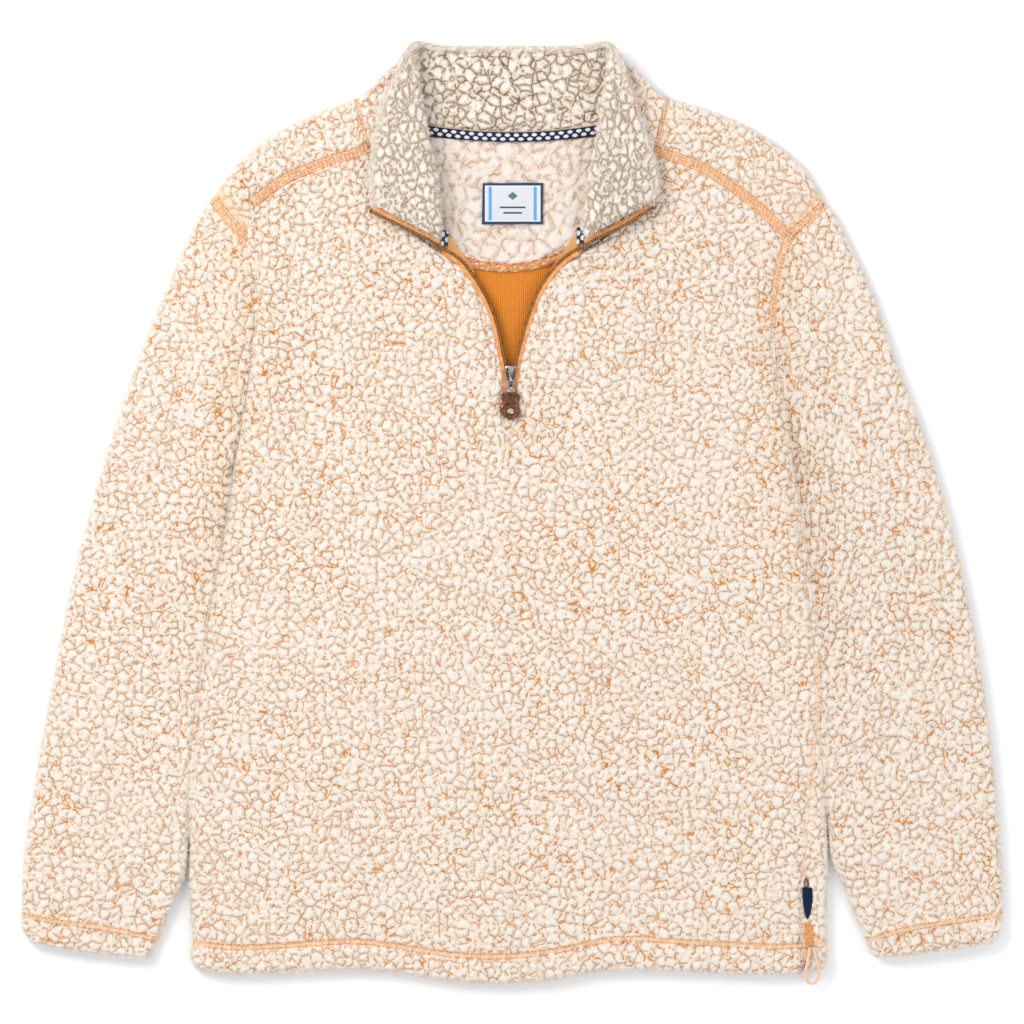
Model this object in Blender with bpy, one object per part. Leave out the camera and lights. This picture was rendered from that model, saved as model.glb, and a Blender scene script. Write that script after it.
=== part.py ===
"""A sherpa fleece pullover with a quarter zip, laid flat on its back.

Every panel is a wall of cloth: an outer face worked out from the garment's outline and heights, an inner
face below it, and a rim round its edge. Lengths in the tables are millimetres; meshes are metres.
+Z is up, +Y runs from the hem to the collar, and the cloth rests on z = 0.
"""
import math

import bmesh
import bpy
import mathutils
import numpy as np

MM = 0.001
GAP = 0.3
SEAM_GAP = 0.6

# ---------------------------------------------------------------- heights and walls
BACK_WALL = 4.8
FRONT_UNDER = 6.0
BODY_TOP = 13.0
SLEEVE_TOP = 12.2
FOLD_MID = 5.4
FOLD_RADIUS = 7.0
FOLD_WALL = 5.6
FOLD_REACH = 26.0
QUARTER = FOLD_RADIUS * math.pi / 2
SHOULDER_START = -(QUARTER + 6.0)
NECK_RISE = 3.1
TOP_RISE_SHARE = 0.5
NECK_CENTRE = (0.0, 250.0)
NECK_RISE_FROM = 190.0
NECK_RISE_TO = 130.0
HEM_BAND = 20.5
HEM_BULGE = 1.4
HEM_ROUND = 5.0
CENTRE_X = -1.0

# Distances of the rows from the hem, up to the underarm and just over it, where the armhole opens.
ROWS_FROM_HEM = [0, 1.2, 3.5, 9, 15, 20.5, 26, 38, 66, 100, 135, 170, 205, 240, 275, 310, 348, 384, 390, 396, 432]

# ---------------------------------------------------------------- outline of the body
# Side of the body and armhole, from the hem up to the end of the shoulder seam: x, y.
SIDE_LEFT = [(-253.6, -365.0), (-257.0, -357.0), (-256.4, -345.0), (-258.7, -295.0), (-257.0, -230.0),
             (-254.1, -181.0), (-244.8, -112.0), (-230.8, -27.0), (-223.7, 19.0), (-213.0, 79.0),
             (-206.4, 129.0), (-204.3, 168.0), (-205.2, 195.0), (-208.0, 213.0), (-207.4, 248.0)]
SIDE_RIGHT = [(250.8, -365.0), (253.6, -357.0), (252.6, -345.0), (253.2, -283.0), (250.8, -216.0),
              (246.9, -156.0), (243.8, -112.0), (232.8, -26.0), (226.0, 19.0), (217.0, 79.0),
              (209.4, 124.0), (207.9, 152.0), (211.4, 184.0), (216.4, 206.0), (222.5, 219.9)]
# Hem edge of the whole body: x, y.
HEM_EDGE = [(-253.6, -365.0), (-238.0, -368.2), (-196.0, -369.4), (-160.0, -367.2), (-122.0, -366.2),
            (-92.0, -368.1), (-57.0, -374.2), (-22.0, -377.1), (6.0, -376.9), (28.0, -375.0),
            (62.0, -368.8), (98.0, -366.6), (142.0, -367.9), (187.0, -370.1), (219.0, -369.4), (250.8, -365.0)]
# Line of the zip teeth, from the bottom stop to the top of the collar: x, y, z.
ZIP_LEFT = [(-2.1, 66.0, 11.0), (-2.1, 80.0, 11.0), (-2.1, 92.0, 11.0), (-2.2, 101.0, 11.0),
            (-4.6, 115.2, 11.0), (-6.4, 124.2, 11.6), (-9.9, 142.0, 11.8), (-14.4, 158.1, 12.0), (-21.6, 174.2, 12.2), (-30.5, 188.4, 12.4),
            (-41.2, 201.8, 13.4), (-53.7, 209.8, 17.0), (-66.2, 217.0, 20.0), (-89.4, 228.6, 20.2),
            (-110.8, 239.4, 20.2)]
ZIP_RIGHT = [(0.1, 66.0, 11.0), (0.1, 80.0, 11.0), (0.1, 92.0, 11.0), (0.2, 101.0, 11.0),
             (2.6, 117.0, 11.0), (4.2, 124.2, 11.4), (8.6, 142.0, 11.8), (13.6, 158.6, 12.0), (20.0, 175.0, 12.2), (30.0, 191.4, 12.4),
             (41.0, 202.8, 13.4), (53.4, 210.8, 17.0), (67.8, 217.8, 20.0), (91.0, 229.5, 20.2),
             (110.6, 242.0, 20.2)]
CLOTH_FROM_TEETH = 4.0
SLIT_BOTTOM = 62.0
SLIT_ROUND = 9.0
# Neck seam of the front, from the zip to the shoulder, and the shoulder edge of the neck: x, y.
NECK_LEFT = [(-56.0, 206.2), (-68.0, 214.5), (-83.0, 227.5), (-96.0, 246.0), (-106.0, 268.0), (-113.4, 290.0)]
NECK_RIGHT = [(55.6, 207.0), (68.0, 214.5), (83.0, 227.5), (96.0, 246.0), (106.0, 268.0), (113.6, 289.0)]
# Forward shoulder seam, from the neck to the armhole, and the top of the shoulder's fold: x, y.
SHOULDER_LEFT = [(-113.4, 290.0), (-150.0, 279.5), (-183.5, 265.3), (-207.4, 248.0)]
SHOULDER_RIGHT = [(113.6, 289.0), (155.0, 274.0), (192.0, 248.1), (222.5, 219.9)]
CREST_LEFT = [(-124.3, 331.4), (-161.6, 317.2), (-193.2, 301.2), (-213.8, 284.6), (-229.0, 268.1), (-240.0, 252.0)]
CREST_RIGHT = [(124.3, 332.2), (157.8, 321.6), (179.2, 313.8), (200.7, 302.3), (219.2, 289.5), (236.4, 273.8),
               (250.7, 248.0)]
# End of the shoulder piece at the armhole, where it meets the side of the front.
ARM_TIP_LEFT = (-208.0, 213.0)
ARM_TIP_RIGHT = (222.5, 219.9)
BACK_NECK = [(0.0, 300.0), (35.0, 301.4), (68.0, 305.0), (95.0, 310.0), (112.0, 315.4), (121.0, 318.8)]
NECK_SHARE = 0.48
SHOULDER_TURN = 0.78
UNDERARM_Y = 19.0
SEAM_OUT_Y = -95.0
SEAM_IN = 19.0

# ---------------------------------------------------------------- outline of the sleeves
OUTER_LEFT = [(-240.8, 251.2), (-246.5, 243.0), (-259.0, 222.0), (-270.4, 194.8), (-300.5, 120.4), (-323.7, 50.8),
              (-349.3, -42.0), (-367.8, -134.8), (-384.1, -228.0), (-392.4, -295.0), (-392.6, -320.0),
              (-392.2, -334.0), (-386.5, -344.0)]
INNER_LEFT = [(-224.3, 18.6), (-231.3, -27.0), (-245.3, -112.0), (-254.6, -181.0), (-257.6, -230.0),
              (-260.4, -284.0), (-273.0, -318.4), (-281.4, -338.0), (-289.5, -356.6)]
OUTER_RIGHT = [(251.6, 247.2), (257.6, 239.6), (268.5, 219.0), (290.7, 170.9), (306.4, 125.2), (334.3, 50.8),
               (357.5, -33.0), (373.8, -111.9), (385.4, -195.4), (391.9, -270.0), (393.4, -320.0),
               (392.4, -334.0), (386.0, -344.4)]
INNER_RIGHT = [(226.5, 18.6), (233.4, -26.0), (244.4, -112.0), (247.5, -156.0), (251.4, -216.0), (254.6, -272.0),
               (267.9, -305.8), (279.0, -334.0), (290.0, -356.4)]
SLEEVE_WALL = 5.0
SLEEVE_FOLD = 6.4
SLEEVE_QUARTER = SLEEVE_FOLD * math.pi / 2
SLEEVE_MID = 5.6
BODY_GAP = 1.0
CUFF_BOW = 2.2
CUFF_BAND = 19.0
BOW_FADE = 0.22

# ---------------------------------------------------------------- collar
COLLAR_WALL = 4.0
COLLAR_SEAM_WALL = 2.0
ROLL_RADIUS = 6.0
ROUND_OFF = 5.0
END_ROUND_OFF = 14.0
# Fractions of the collar's height at its stand, round its roll and along its flap.
PATH_STAND = np.array([0.0, 0.12, 0.4])
PATH_ROLL = np.linspace(0, 1, 7)
PATH_FLAP = np.array([0.4, 0.8, 0.93, 1.0])
# Stations of the opened front half, from the zip to the shoulder. neck, roll and top are x, y on the right;
# The columns after them are the height of the cloth's middle at the neck seam and where it starts to roll,
# the angles at which the roll starts and ends, in degrees, the height of the top edge and the roll's radius.
ROLLED_RIGHT = [
    (57.6, 213.0, 56.2, 217.2, 110.2, 247.6, 12.6, 14.2, 50, 180, 21.6, 6.6),
    (68.0, 216.4, 56.4, 227.2, 117.4, 255.0, 13.0, 14.2, 26, 182, 21.8, 6.6),
    (82.4, 229.4, 57.4, 243.0, 117.6, 270.0, 13.2, 14.2, 8, 182, 22.0, 6.2),
    (95.0, 247.4, 60.8, 266.0, 113.4, 287.0, 13.2, 14.4, 0, 182, 22.6, 6.0),
    (105.0, 268.8, 65.2, 289.0, 107.0, 304.0, 13.2, 14.6, 0, 182, 23.6, 6.0),
    (112.2, 289.6, 68.6, 311.0, 101.2, 322.0, 13.0, 14.8, 0, 181, 24.4, 6.0),
    (117.2, 309.0, 71.4, 333.0, 95.2, 340.6, 12.8, 15.0, 0, 178, 25.0, 5.8),
    (119.6, 319.6, 73.0, 351.0, 88.2, 355.2, 12.4, 14.8, 0, 166, 24.2, 5.0),
    (120.6, 324.0, 74.2, 360.5, 87.0, 362.6, 12.0, 12.6, 0, 147, 20.2, 4.1),
    (121.0, 326.6, 73.6, 365.7, 78.5, 367.5, 13.8, 13.8, 0, 96, 22.3, 3.9),
]
ROLLED_LEFT = [
    (57.8, 213.0, 54.8, 216.4, 110.2, 245.4, 12.6, 14.2, 50, 180, 21.6, 6.6),
    (68.0, 216.4, 54.8, 225.0, 113.8, 254.0, 13.0, 14.2, 26, 182, 21.8, 6.6),
    (82.4, 229.4, 55.6, 242.0, 114.2, 270.0, 13.2, 14.2, 8, 182, 22.0, 6.2),
    (95.0, 247.4, 58.6, 266.0, 112.4, 287.0, 13.2, 14.4, 0, 182, 22.6, 6.0),
    (105.0, 268.8, 63.6, 289.0, 108.8, 304.0, 13.2, 14.6, 0, 182, 23.6, 6.0),
    (112.2, 290.4, 68.0, 311.0, 104.6, 322.0, 13.0, 14.8, 0, 181, 24.4, 6.0),
    (117.4, 309.0, 71.4, 333.0, 98.6, 339.6, 12.8, 15.0, 0, 178, 25.0, 5.8),
    (119.8, 319.6, 73.4, 351.0, 89.2, 354.2, 12.4, 14.8, 0, 166, 24.2, 5.0),
    (120.8, 324.0, 74.8, 360.5, 87.6, 362.4, 12.0, 12.6, 0, 147, 20.2, 4.1),
    (121.2, 326.6, 74.2, 365.7, 79.1, 367.5, 13.8, 13.8, 0, 96, 22.3, 3.9),
]
# Stations that stand straight, from the shoulder's fold to the middle of the back: neck and top, x, y, z.
STRAIGHT = [
    (122.9, 329.1, 10.8, 78.6, 373.7, 11.9),
    (119.5, 327.7, 6.0, 76.5, 371.9, 6.2),
    (107.0, 317.2, 4.8, 66.0, 375.4, 4.8),
    (68.0, 306.0, 4.8, 42.0, 372.6, 4.8),
    (0.0, 301.0, 4.8, 0.0, 370.6, 4.8),
]
# The collar's fold over the shoulder, where its pile is pressed to FOLD_PRESS of its height.
COLLAR_FOLD = [(121.0, 329.0), (77.0, 372.0)]
FOLD_PRESS = 0.39
FOLD_PRESS_WIDTH = 14.0
COLLAR_CORNER = (80.0, 367.0)
CORNER_PRESS = 0.17
CORNER_PRESS_WIDTH = 12.0
CORNER_OPEN = 0.32

# ---------------------------------------------------------------- inside the neck
FACING_UNDER = 5.1
FACING_TOP = 8.4
FACING_LOW = [(-94.0, 286.0), (-84.0, 254.0), (-66.0, 221.0), (-37.6, 203.6), (0.0, 198.3), (37.4, 206.6),
              (66.0, 221.0), (84.0, 254.0), (94.0, 286.0)]
FACING_HIGH = [(-94.0, 303.0), (-68.0, 300.4), (-30.0, 297.4), (0.0, 296.4), (30.0, 297.4), (68.0, 300.4),
               (94.0, 303.0)]
BINDING_WIDTH = 6.0
BINDING_TOP = 8.2
TAPE_WIDTH = 7.0
TAPE_LINE = [(-70.0, 305.6), (-35.0, 301.4), (0.0, 300.0), (35.0, 301.4), (70.0, 305.6)]
TAPE_BASE = 9.2
TAPE_THICK = 0.9
TAPE_END_LEFT = [(-54.6, 214.0), (-53.4, 223.4)]
TAPE_END_RIGHT = [(54.4, 215.6), (54.8, 226.4)]
LABEL = (-23.8, 230.3, 24.9, 263.4)
LABEL_BASE = 8.9
LABEL_THICK = 0.9
PLACKET_LEFT = [(-50.6, 221.6), (-43.6, 211.6), (-36.4, 202.4), (-29.6, 191.4)]
PLACKET_RIGHT = [(51.2, 222.6), (44.0, 212.6), (36.8, 203.6), (29.6, 192.6)]
PLACKET_BASE = 9.1
PLACKET_THICK = 0.8

# ---------------------------------------------------------------- zip
TEETH_WIDTH = 2.4
TEETH_THICK = 2.2
ZIP_TAPE_THICK = 0.8
ZIP_TAPE_FROM = 1.6
ZIP_TAPE_WIDTH = 1.9
TURN_FROM = 51.0
TURN_TO = 59.0
TAPE_DROP = 2.3
CLOSED_TOP_Y = 101.4
CLOSED_BOTTOM_Y = 68.4
CLOSED_WIDTH = 4.0
STOP_SIZE = (3.0, 2.6, 2.8)
SLIDER_Y = (102.0, 116.8)
SLIDER_WIDTH = (5.6, 9.7)
SLIDER_PLATE = 0.9
SLIDER_LOW = 9.0
SLIDER_HIGH = 13.0
WEDGE_Y = (113.6, 116.4)
WEDGE_WIDTH = (0.7, 1.9)
AXIS_Y = 105.0
AXIS_Z = 15.6
BAIL_Y = (102.9, 109.6)
BAIL_WIDTH = 2.0
BAIL_BAR = 1.0
BAIL_TOP = 17.4
TAB_WIDTH = 6.0
TAB_BAR = 1.4
TAB_THICK = 1.0
TAB_WINDOW_Y = 100.0
TAB_END_Y = 89.0
LEATHER_LOW = 14.2
LEATHER_HIGH = 17.6
# Outline of the leather puller: half-width at each y.
LEATHER = [(95.8, 4.4), (94.4, 6.4), (91.6, 7.8), (89.0, 7.6), (86.6, 6.3), (85.2, 6.2), (83.0, 7.6),
           (80.4, 8.4), (78.0, 7.6), (76.2, 5.4), (75.0, 2.6)]
RIVET_CENTRE = (-0.9, 80.6)
RIVET_SIZE = (3.0, 2.3, 0.9)

# ---------------------------------------------------------------- side seam trim and cord
TAG_TOP_Y = -300.2
TAG_LENGTH = 25.4
TAG_X = 236.0
TAG = [(0.0, 3.4), (0.03, 4.5), (0.3, 4.6), (0.6, 3.9), (0.85, 2.3), (0.97, 1.1), (1.0, 0.5)]
TAG_THICK = 2.4
BARTACK = (237.8, -337.4, 4.2, 9.0)
BARTACK_THICK = 1.6
CORD_DIAMETER = 2.2
# Route of the cord loop, from the bar tack out past the hem and back: x, y, z.
CORD_ROUTE = [(238.0, -348.0, 16.2), (237.0, -354.5, 16.4), (235.7, -361.5, 15.9), (234.9, -368.0, 13.6),
              (235.4, -373.6, 10.8), (237.8, -376.9, 9.2), (241.2, -377.3, 9.0), (244.2, -374.6, 10.3),
              (245.4, -369.0, 13.0), (244.4, -362.0, 15.8), (242.6, -355.0, 16.4), (240.8, -348.0, 16.2)]
CORD_POINTS = 16

# ---------------------------------------------------------------- grooves and soft folds
SEAM_GROOVE = 2.4
ARMHOLE_GROOVE = 3.6
SLIT_GROOVE = 2.6
HEM_GROOVE = 1.9
# Soft folds of the body: x, y of one end, x, y of the other, half-width, height (below zero for a valley).
FOLDS = [
    (-172, 245, -150, -20, 24, -2.4),
    (-192, 215, -198, 40, 14, 1.3),
    (70, -60, 170, -150, 34, 1.2),
    (-60, -190, 120, -250, 40, -0.9),
    (110, 235, 128, 120, 26, -1.5),
    (-120, -120, -160, -300, 34, 1.0),
    (185, 150, 205, -40, 20, 0.9),
    (20, 40, 60, -120, 46, 0.8),
]
# Soft folds of the sleeves, in the same columns.
SLEEVE_FOLDS = [
    (-262, 150, -268, 30, 18, -1.6),
    (-300, -20, -330, -170, 26, 1.1),
    (-290, -190, -345, -280, 24, -0.9),
    (262, 150, 266, 20, 18, -1.5),
    (302, -10, 335, -150, 26, 1.0),
    (300, -200, 352, -270, 24, -0.9),
]

# ---------------------------------------------------------------- colours: red, green, blue, roughness, metallic
COLOURS = {
    "sherpa": (0.86, 0.74, 0.62, 0.95, 0.0),
    "collar_sherpa": (0.70, 0.61, 0.51, 0.95, 0.0),
    "orange_knit": (0.80, 0.38, 0.08, 0.9, 0.0),
    "zip_tape": (0.86, 0.45, 0.14, 0.85, 0.0),
    "neck_tape": (0.02, 0.03, 0.10, 0.8, 0.0),
    "label": (0.70, 0.72, 0.78, 0.8, 0.0),
    "antique_brass": (0.16, 0.11, 0.06, 0.45, 0.9),
    "slider_metal": (0.50, 0.49, 0.46, 0.35, 1.0),
    "leather": (0.15, 0.06, 0.025, 0.6, 0.0),
    "cord": (0.90, 0.60, 0.42, 0.8, 0.0),
    "thread": (0.80, 0.36, 0.08, 0.8, 0.0),
}


# ---------------------------------------------------------------- curves and profiles
def along(table, t):
    """Points at the fractions t of a smooth line through the table's rows, by chord length."""
    p = np.array(table, float)
    s = np.concatenate([[0.0], np.cumsum(np.linalg.norm(np.diff(p, axis=0), axis=1))])
    s /= s[-1]
    slope = np.gradient(p, s, axis=0)
    t = np.asarray(t, float)
    k = np.clip(np.searchsorted(s, t, side="right") - 1, 0, len(s) - 2)
    span = (s[k + 1] - s[k])[..., None]
    a = (t - s[k])[..., None] / span
    return ((1 + 2 * a) * (1 - a) ** 2 * p[k] + a * (1 - a) ** 2 * span * slope[k]
            + a * a * (3 - 2 * a) * p[k + 1] + a * a * (a - 1) * span * slope[k + 1])


def at_height(table, y):
    """x of a smooth line x, y at the heights y."""
    dense = along(table, np.linspace(0, 1, 400))
    order = np.argsort(dense[:, 1])
    return np.interp(y, dense[order, 1], dense[order, 0])


def length(table):
    return float(np.linalg.norm(np.diff(along(table, np.linspace(0, 1, 400)), axis=0), axis=1).sum())


def ease(t):
    """0 to 1 and level at both ends."""
    t = np.clip(t, 0, 1)
    return t * t * (3 - 2 * t)


def quarter_round(t):
    """0 to 1 as the height along a quarter of a circle."""
    t = np.clip(t, 0, 1)
    return np.sqrt(t * (2 - t))


def distance_to(x, y, line):
    """Distance in plan from each point to a line given by its points."""
    p = np.stack([np.ravel(x), np.ravel(y)], axis=1)
    a = line[:-1]
    b = line[1:]
    ab = b - a
    t = np.einsum("nkc,kc->nk", p[:, None] - a[None], ab) / np.einsum("kc,kc->k", ab, ab)
    foot = a[None] + np.clip(t, 0, 1)[..., None] * ab[None]
    return np.min(np.linalg.norm(p[:, None] - foot, axis=2), axis=1).reshape(np.shape(x))


def beside(line, distance):
    """The line moved sideways in plan, to its left for a distance above zero. distance may vary along it."""
    step = np.gradient(line[:, :2], axis=0)
    step /= np.linalg.norm(step, axis=1)[:, None]
    moved = line[:, :2].copy()
    moved[:, 0] -= step[:, 1] * distance
    moved[:, 1] += step[:, 0] * distance
    return moved


# ---------------------------------------------------------------- the two sides of the garment
class Side:
    """Tables of one side. sign is -1 on the left and 1 on the right."""

    def __init__(self, sign, edge, zip_line, neck, shoulder, crest, arm_tip, outer, inner):
        self.sign = sign
        self.edge = edge
        self.zip_line = zip_line
        self.neck = neck
        self.shoulder = shoulder
        self.crest = crest
        self.arm_tip = arm_tip
        self.outer = outer
        self.inner = inner
        self.v_side_y = 190.0 if sign < 0 else 172.0
        self.teeth = along(zip_line, np.linspace(0, 1, 200))
        self.slit = self.slit_edge()
        self.armhole = self.armhole_line()

    def slit_edge(self):
        """Edge of the cloth beside the zip, from the bottom of the slit to the neck seam."""
        line = beside(self.teeth, -self.sign * CLOTH_FROM_TEETH)
        end = np.array(self.neck[0])
        last = int(np.argmin(np.linalg.norm(line - end, axis=1)))
        line = line[:last + 1]
        line[-1] = end
        start = np.array([[CENTRE_X, SLIT_BOTTOM]])
        line = np.concatenate([start, line])
        line[:, 0] = CENTRE_X + (line[:, 0] - CENTRE_X) * quarter_round((line[:, 1] - SLIT_BOTTOM) / SLIT_ROUND)
        return line[::6] if (len(line) - 1) % 6 == 0 else np.concatenate([line[::6], line[-1:]])

    def armhole_line(self):
        """Armhole from the underarm up to the crest of the shoulder."""
        y = np.linspace(UNDERARM_Y, self.arm_tip[1], 24)
        low = np.stack([at_height(self.edge, y), y], axis=1)
        share = np.linspace(0, 1, 8)[1:, None]
        high = np.array(self.arm_tip) * (1 - share) + np.array(self.crest[-1]) * share
        return np.concatenate([low, high])


LEFT = Side(-1, SIDE_LEFT, ZIP_LEFT, NECK_LEFT, SHOULDER_LEFT, CREST_LEFT, ARM_TIP_LEFT, OUTER_LEFT, INNER_LEFT)
RIGHT = Side(1, SIDE_RIGHT, ZIP_RIGHT, NECK_RIGHT, SHOULDER_RIGHT, CREST_RIGHT, ARM_TIP_RIGHT, OUTER_RIGHT,
             INNER_RIGHT)


# ---------------------------------------------------------------- relief of the top cloth
def soft_folds(x, y, table):
    """Sum of long soft bumps: each is the bell of the distance to its line, fading over its ends."""
    total = np.zeros(np.shape(x))
    for x0, y0, x1, y1, half, height in table:
        line = np.array([[x0, y0], [(x0 + x1) / 2 + half * 0.2, (y0 + y1) / 2], [x1, y1]], float)
        total += height * np.exp(-(distance_to(x, y, line) / half) ** 2 * 1.6)
    return total


def neck_rise(x, y):
    """How far the front is lifted by the facing and the collar under it."""
    away = np.hypot(x - NECK_CENTRE[0], y - NECK_CENTRE[1])
    return NECK_RISE * ease((NECK_RISE_FROM - away) / (NECK_RISE_FROM - NECK_RISE_TO))


def groove(x, y, line, depth, flat, width):
    """Depth of a sewn groove: level for flat beside the line, then up a quarter round of that width."""
    return depth * (1 - quarter_round((distance_to(x, y, line) - flat) / width))


def body_grooves(x, y):
    """Deepest of the seams' grooves at each point of the body's top cloth."""
    found = [np.zeros(np.shape(x))]
    for side in (LEFT, RIGHT):
        found.append(groove(x, y, along(side.shoulder, np.linspace(0, 1, 12)), SEAM_GROOVE, 3.5, 4.0))
        found.append(groove(x, y, side.armhole, ARMHOLE_GROOVE, 0.0, 7.0))
        found.append(groove(x, y, side.slit, SLIT_GROOVE, 0.0, 5.0))
        found.append(groove(x, y, np.array([side.crest[0], side.neck[-1]]), SEAM_GROOVE, 1.0, 5.0))
        found.append(groove(x, y, along(side.neck, np.linspace(0, 1, 12)), SEAM_GROOVE, 0.0, 5.0))
    return np.maximum.reduce(found)


def hem_profile(away, band):
    """Lift of the doubled hem, from the distance to its edge: a plump band with a stitched groove above it."""
    plump = HEM_BULGE * ease(away / 4) * (1 - ease((away - band + 5) / 5))
    stitched = HEM_GROOVE * np.exp(-((away - band) / 3.2) ** 2)
    return plump - stitched


def body_top(x, y, hem_away):
    return (BODY_TOP + soft_folds(x, y, FOLDS) + TOP_RISE_SHARE * neck_rise(x, y) - body_grooves(x, y)
            + hem_profile(hem_away, HEM_BAND))


def body_under(x, y):
    return FRONT_UNDER + neck_rise(x, y)


def sleeve_top(x, y, side, cuff_away):
    return (SLEEVE_TOP + soft_folds(x, y, SLEEVE_FOLDS) + TOP_RISE_SHARE * neck_rise(x, y)
            - groove(x, y, side.armhole, ARMHOLE_GROOVE, 0.0, 7.0) + hem_profile(cuff_away, CUFF_BAND))


def rounded_end(away, high, low):
    """Heights of the two faces of a wall whose end is rounded over HEM_ROUND."""
    share = 0.22 + 0.78 * quarter_round(away / HEM_ROUND)
    middle = (high + low) / 2
    return middle + (high - middle) * share, middle + (low - middle) * share


def side_fold(way, top, under):
    """Section of the wall round a side fold.

    way is the distance round the fold from its outermost point, over the top above zero and underneath
    below zero. Returns how far in the outer and inner faces lie, and their heights: a quarter ellipse
    up to the top or down to the table, then level.
    """
    turn = np.clip(way / FOLD_RADIUS, -math.pi / 2, math.pi / 2)
    level = np.maximum(np.abs(way) - QUARTER, 0)
    outer_in = FOLD_RADIUS * (1 - np.cos(turn)) + level
    inner_in = FOLD_RADIUS - (FOLD_RADIUS - FOLD_WALL) * np.cos(turn) + level
    rise = np.sin(turn)
    outer_z = FOLD_MID + rise * np.where(way > 0, top - FOLD_MID, FOLD_MID)
    inner_z = FOLD_MID + rise * np.where(way > 0, under - FOLD_MID, FOLD_MID - BACK_WALL)
    return outer_in, inner_in, outer_z, inner_z


def seam_way(side, y):
    """Where the side seam lies round the fold: at its edge on the left, drawn over the top on the right."""
    if side.sign < 0:
        return np.zeros(np.shape(y))
    return (QUARTER + SEAM_IN - FOLD_RADIUS) * ease((SEAM_OUT_Y - y) / 200.0)


# ---------------------------------------------------------------- meshes
def material(name):
    found = bpy.data.materials.get(name)
    if found:
        return found
    red, green, blue, rough, metal = COLOURS[name]
    made = bpy.data.materials.new(name)
    made.use_nodes = True
    shader = made.node_tree.nodes["Principled BSDF"]
    shader.inputs["Base Color"].default_value = (red, green, blue, 1)
    shader.inputs["Roughness"].default_value = rough
    shader.inputs["Metallic"].default_value = metal
    return made


def add_object(name, points, faces, finish, smooth=True):
    """An object from points in millimetres and faces, its doubled points merged."""
    mesh = bpy.data.meshes.new(name)
    mesh.from_pydata((np.asarray(points, float) * MM).tolist(), [], [list(f) for f in faces])
    work = bmesh.new()
    work.from_mesh(mesh)
    bmesh.ops.remove_doubles(work, verts=work.verts, dist=0.000002)
    bmesh.ops.recalc_face_normals(work, faces=work.faces)
    work.to_mesh(mesh)
    work.free()
    if smooth:
        mesh.shade_smooth()
        mesh.set_sharp_from_angle(angle=math.radians(50))
    mesh.materials.append(material(finish))
    made = bpy.data.objects.new(name, mesh)
    bpy.context.scene.collection.objects.link(made)
    return made


def wall(name, patches, finish):
    """A closed wall from patches, each a pair of grids of outer and inner points.

    The patches are joined where their points coincide, and every edge that only one face has gets a rim
    from the outer face to the inner one.
    """
    outer = np.concatenate([o.reshape(-1, 3) for o, i in patches])
    inner = np.concatenate([i.reshape(-1, 3) for o, i in patches])
    keys = {}
    index = []
    for point in np.round(outer, 3).tolist():
        index.append(keys.setdefault(tuple(point), len(keys)))
    first = {}
    for place, number in enumerate(index):
        first.setdefault(number, place)
    order = [first[number] for number in range(len(keys))]
    quads = []
    start = 0
    for o, i in patches:
        rows, columns = o.shape[:2]
        for r in range(rows - 1):
            for c in range(columns - 1):
                corners = [start + r * columns + c, start + r * columns + c + 1,
                           start + (r + 1) * columns + c + 1, start + (r + 1) * columns + c]
                quad = [index[corner] for corner in corners]
                if len(set(quad)) > 2:
                    quads.append([n for k, n in enumerate(quad) if n != quad[k - 1]])
        start += rows * columns
    count = len(order)
    uses = {}
    for quad in quads:
        for a, b in zip(quad, quad[1:] + quad[:1]):
            uses.setdefault((min(a, b), max(a, b)), []).append((a, b))
    rims = [(b, a, a + count, b + count) for (a, b) in (use[0] for use in uses.values() if len(use) == 1)]
    parts = [[quad[0], quad[k], quad[k + 1]] for quad in quads for k in range(1, len(quad) - 1)]
    faces = parts + [[n + count for n in reversed(part)] for part in parts] + rims
    return add_object(name, np.concatenate([outer[order], inner[order]]), faces, finish)


def strip(name, sections, finish, closed_ends=True):
    """A solid bar from sections, each the same number of corners in order round it."""
    sections = np.asarray(sections, float)
    rows, corners = sections.shape[:2]
    faces = []
    for r in range(rows - 1):
        for c in range(corners):
            d = (c + 1) % corners
            faces.append((r * corners + c, r * corners + d, (r + 1) * corners + d, (r + 1) * corners + c))
    if closed_ends:
        faces.append(tuple(range(corners)))
        faces.append(tuple(range((rows - 1) * corners, rows * corners)))
    return add_object(name, sections.reshape(-1, 3), faces, finish)


# ---------------------------------------------------------------- body panels
def hem_y(x):
    """The hem's edge at x."""
    dense = along(HEM_EDGE, np.linspace(0, 1, 300))
    return np.interp(x, dense[:, 0], dense[:, 1])


def hem_wave(side, u, from_hem):
    """How far the hem's edge leaves the straight line from centre to side, fading above the hem."""
    low = hem_y(CENTRE_X)
    corner = side.edge[0]
    x = CENTRE_X + (corner[0] - CENTRE_X) * u
    wave = hem_y(x) - (low + (corner[1] - low) * u)
    return wave * np.exp(-np.maximum(from_hem - HEM_BAND, 0) / 70.0)


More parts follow.
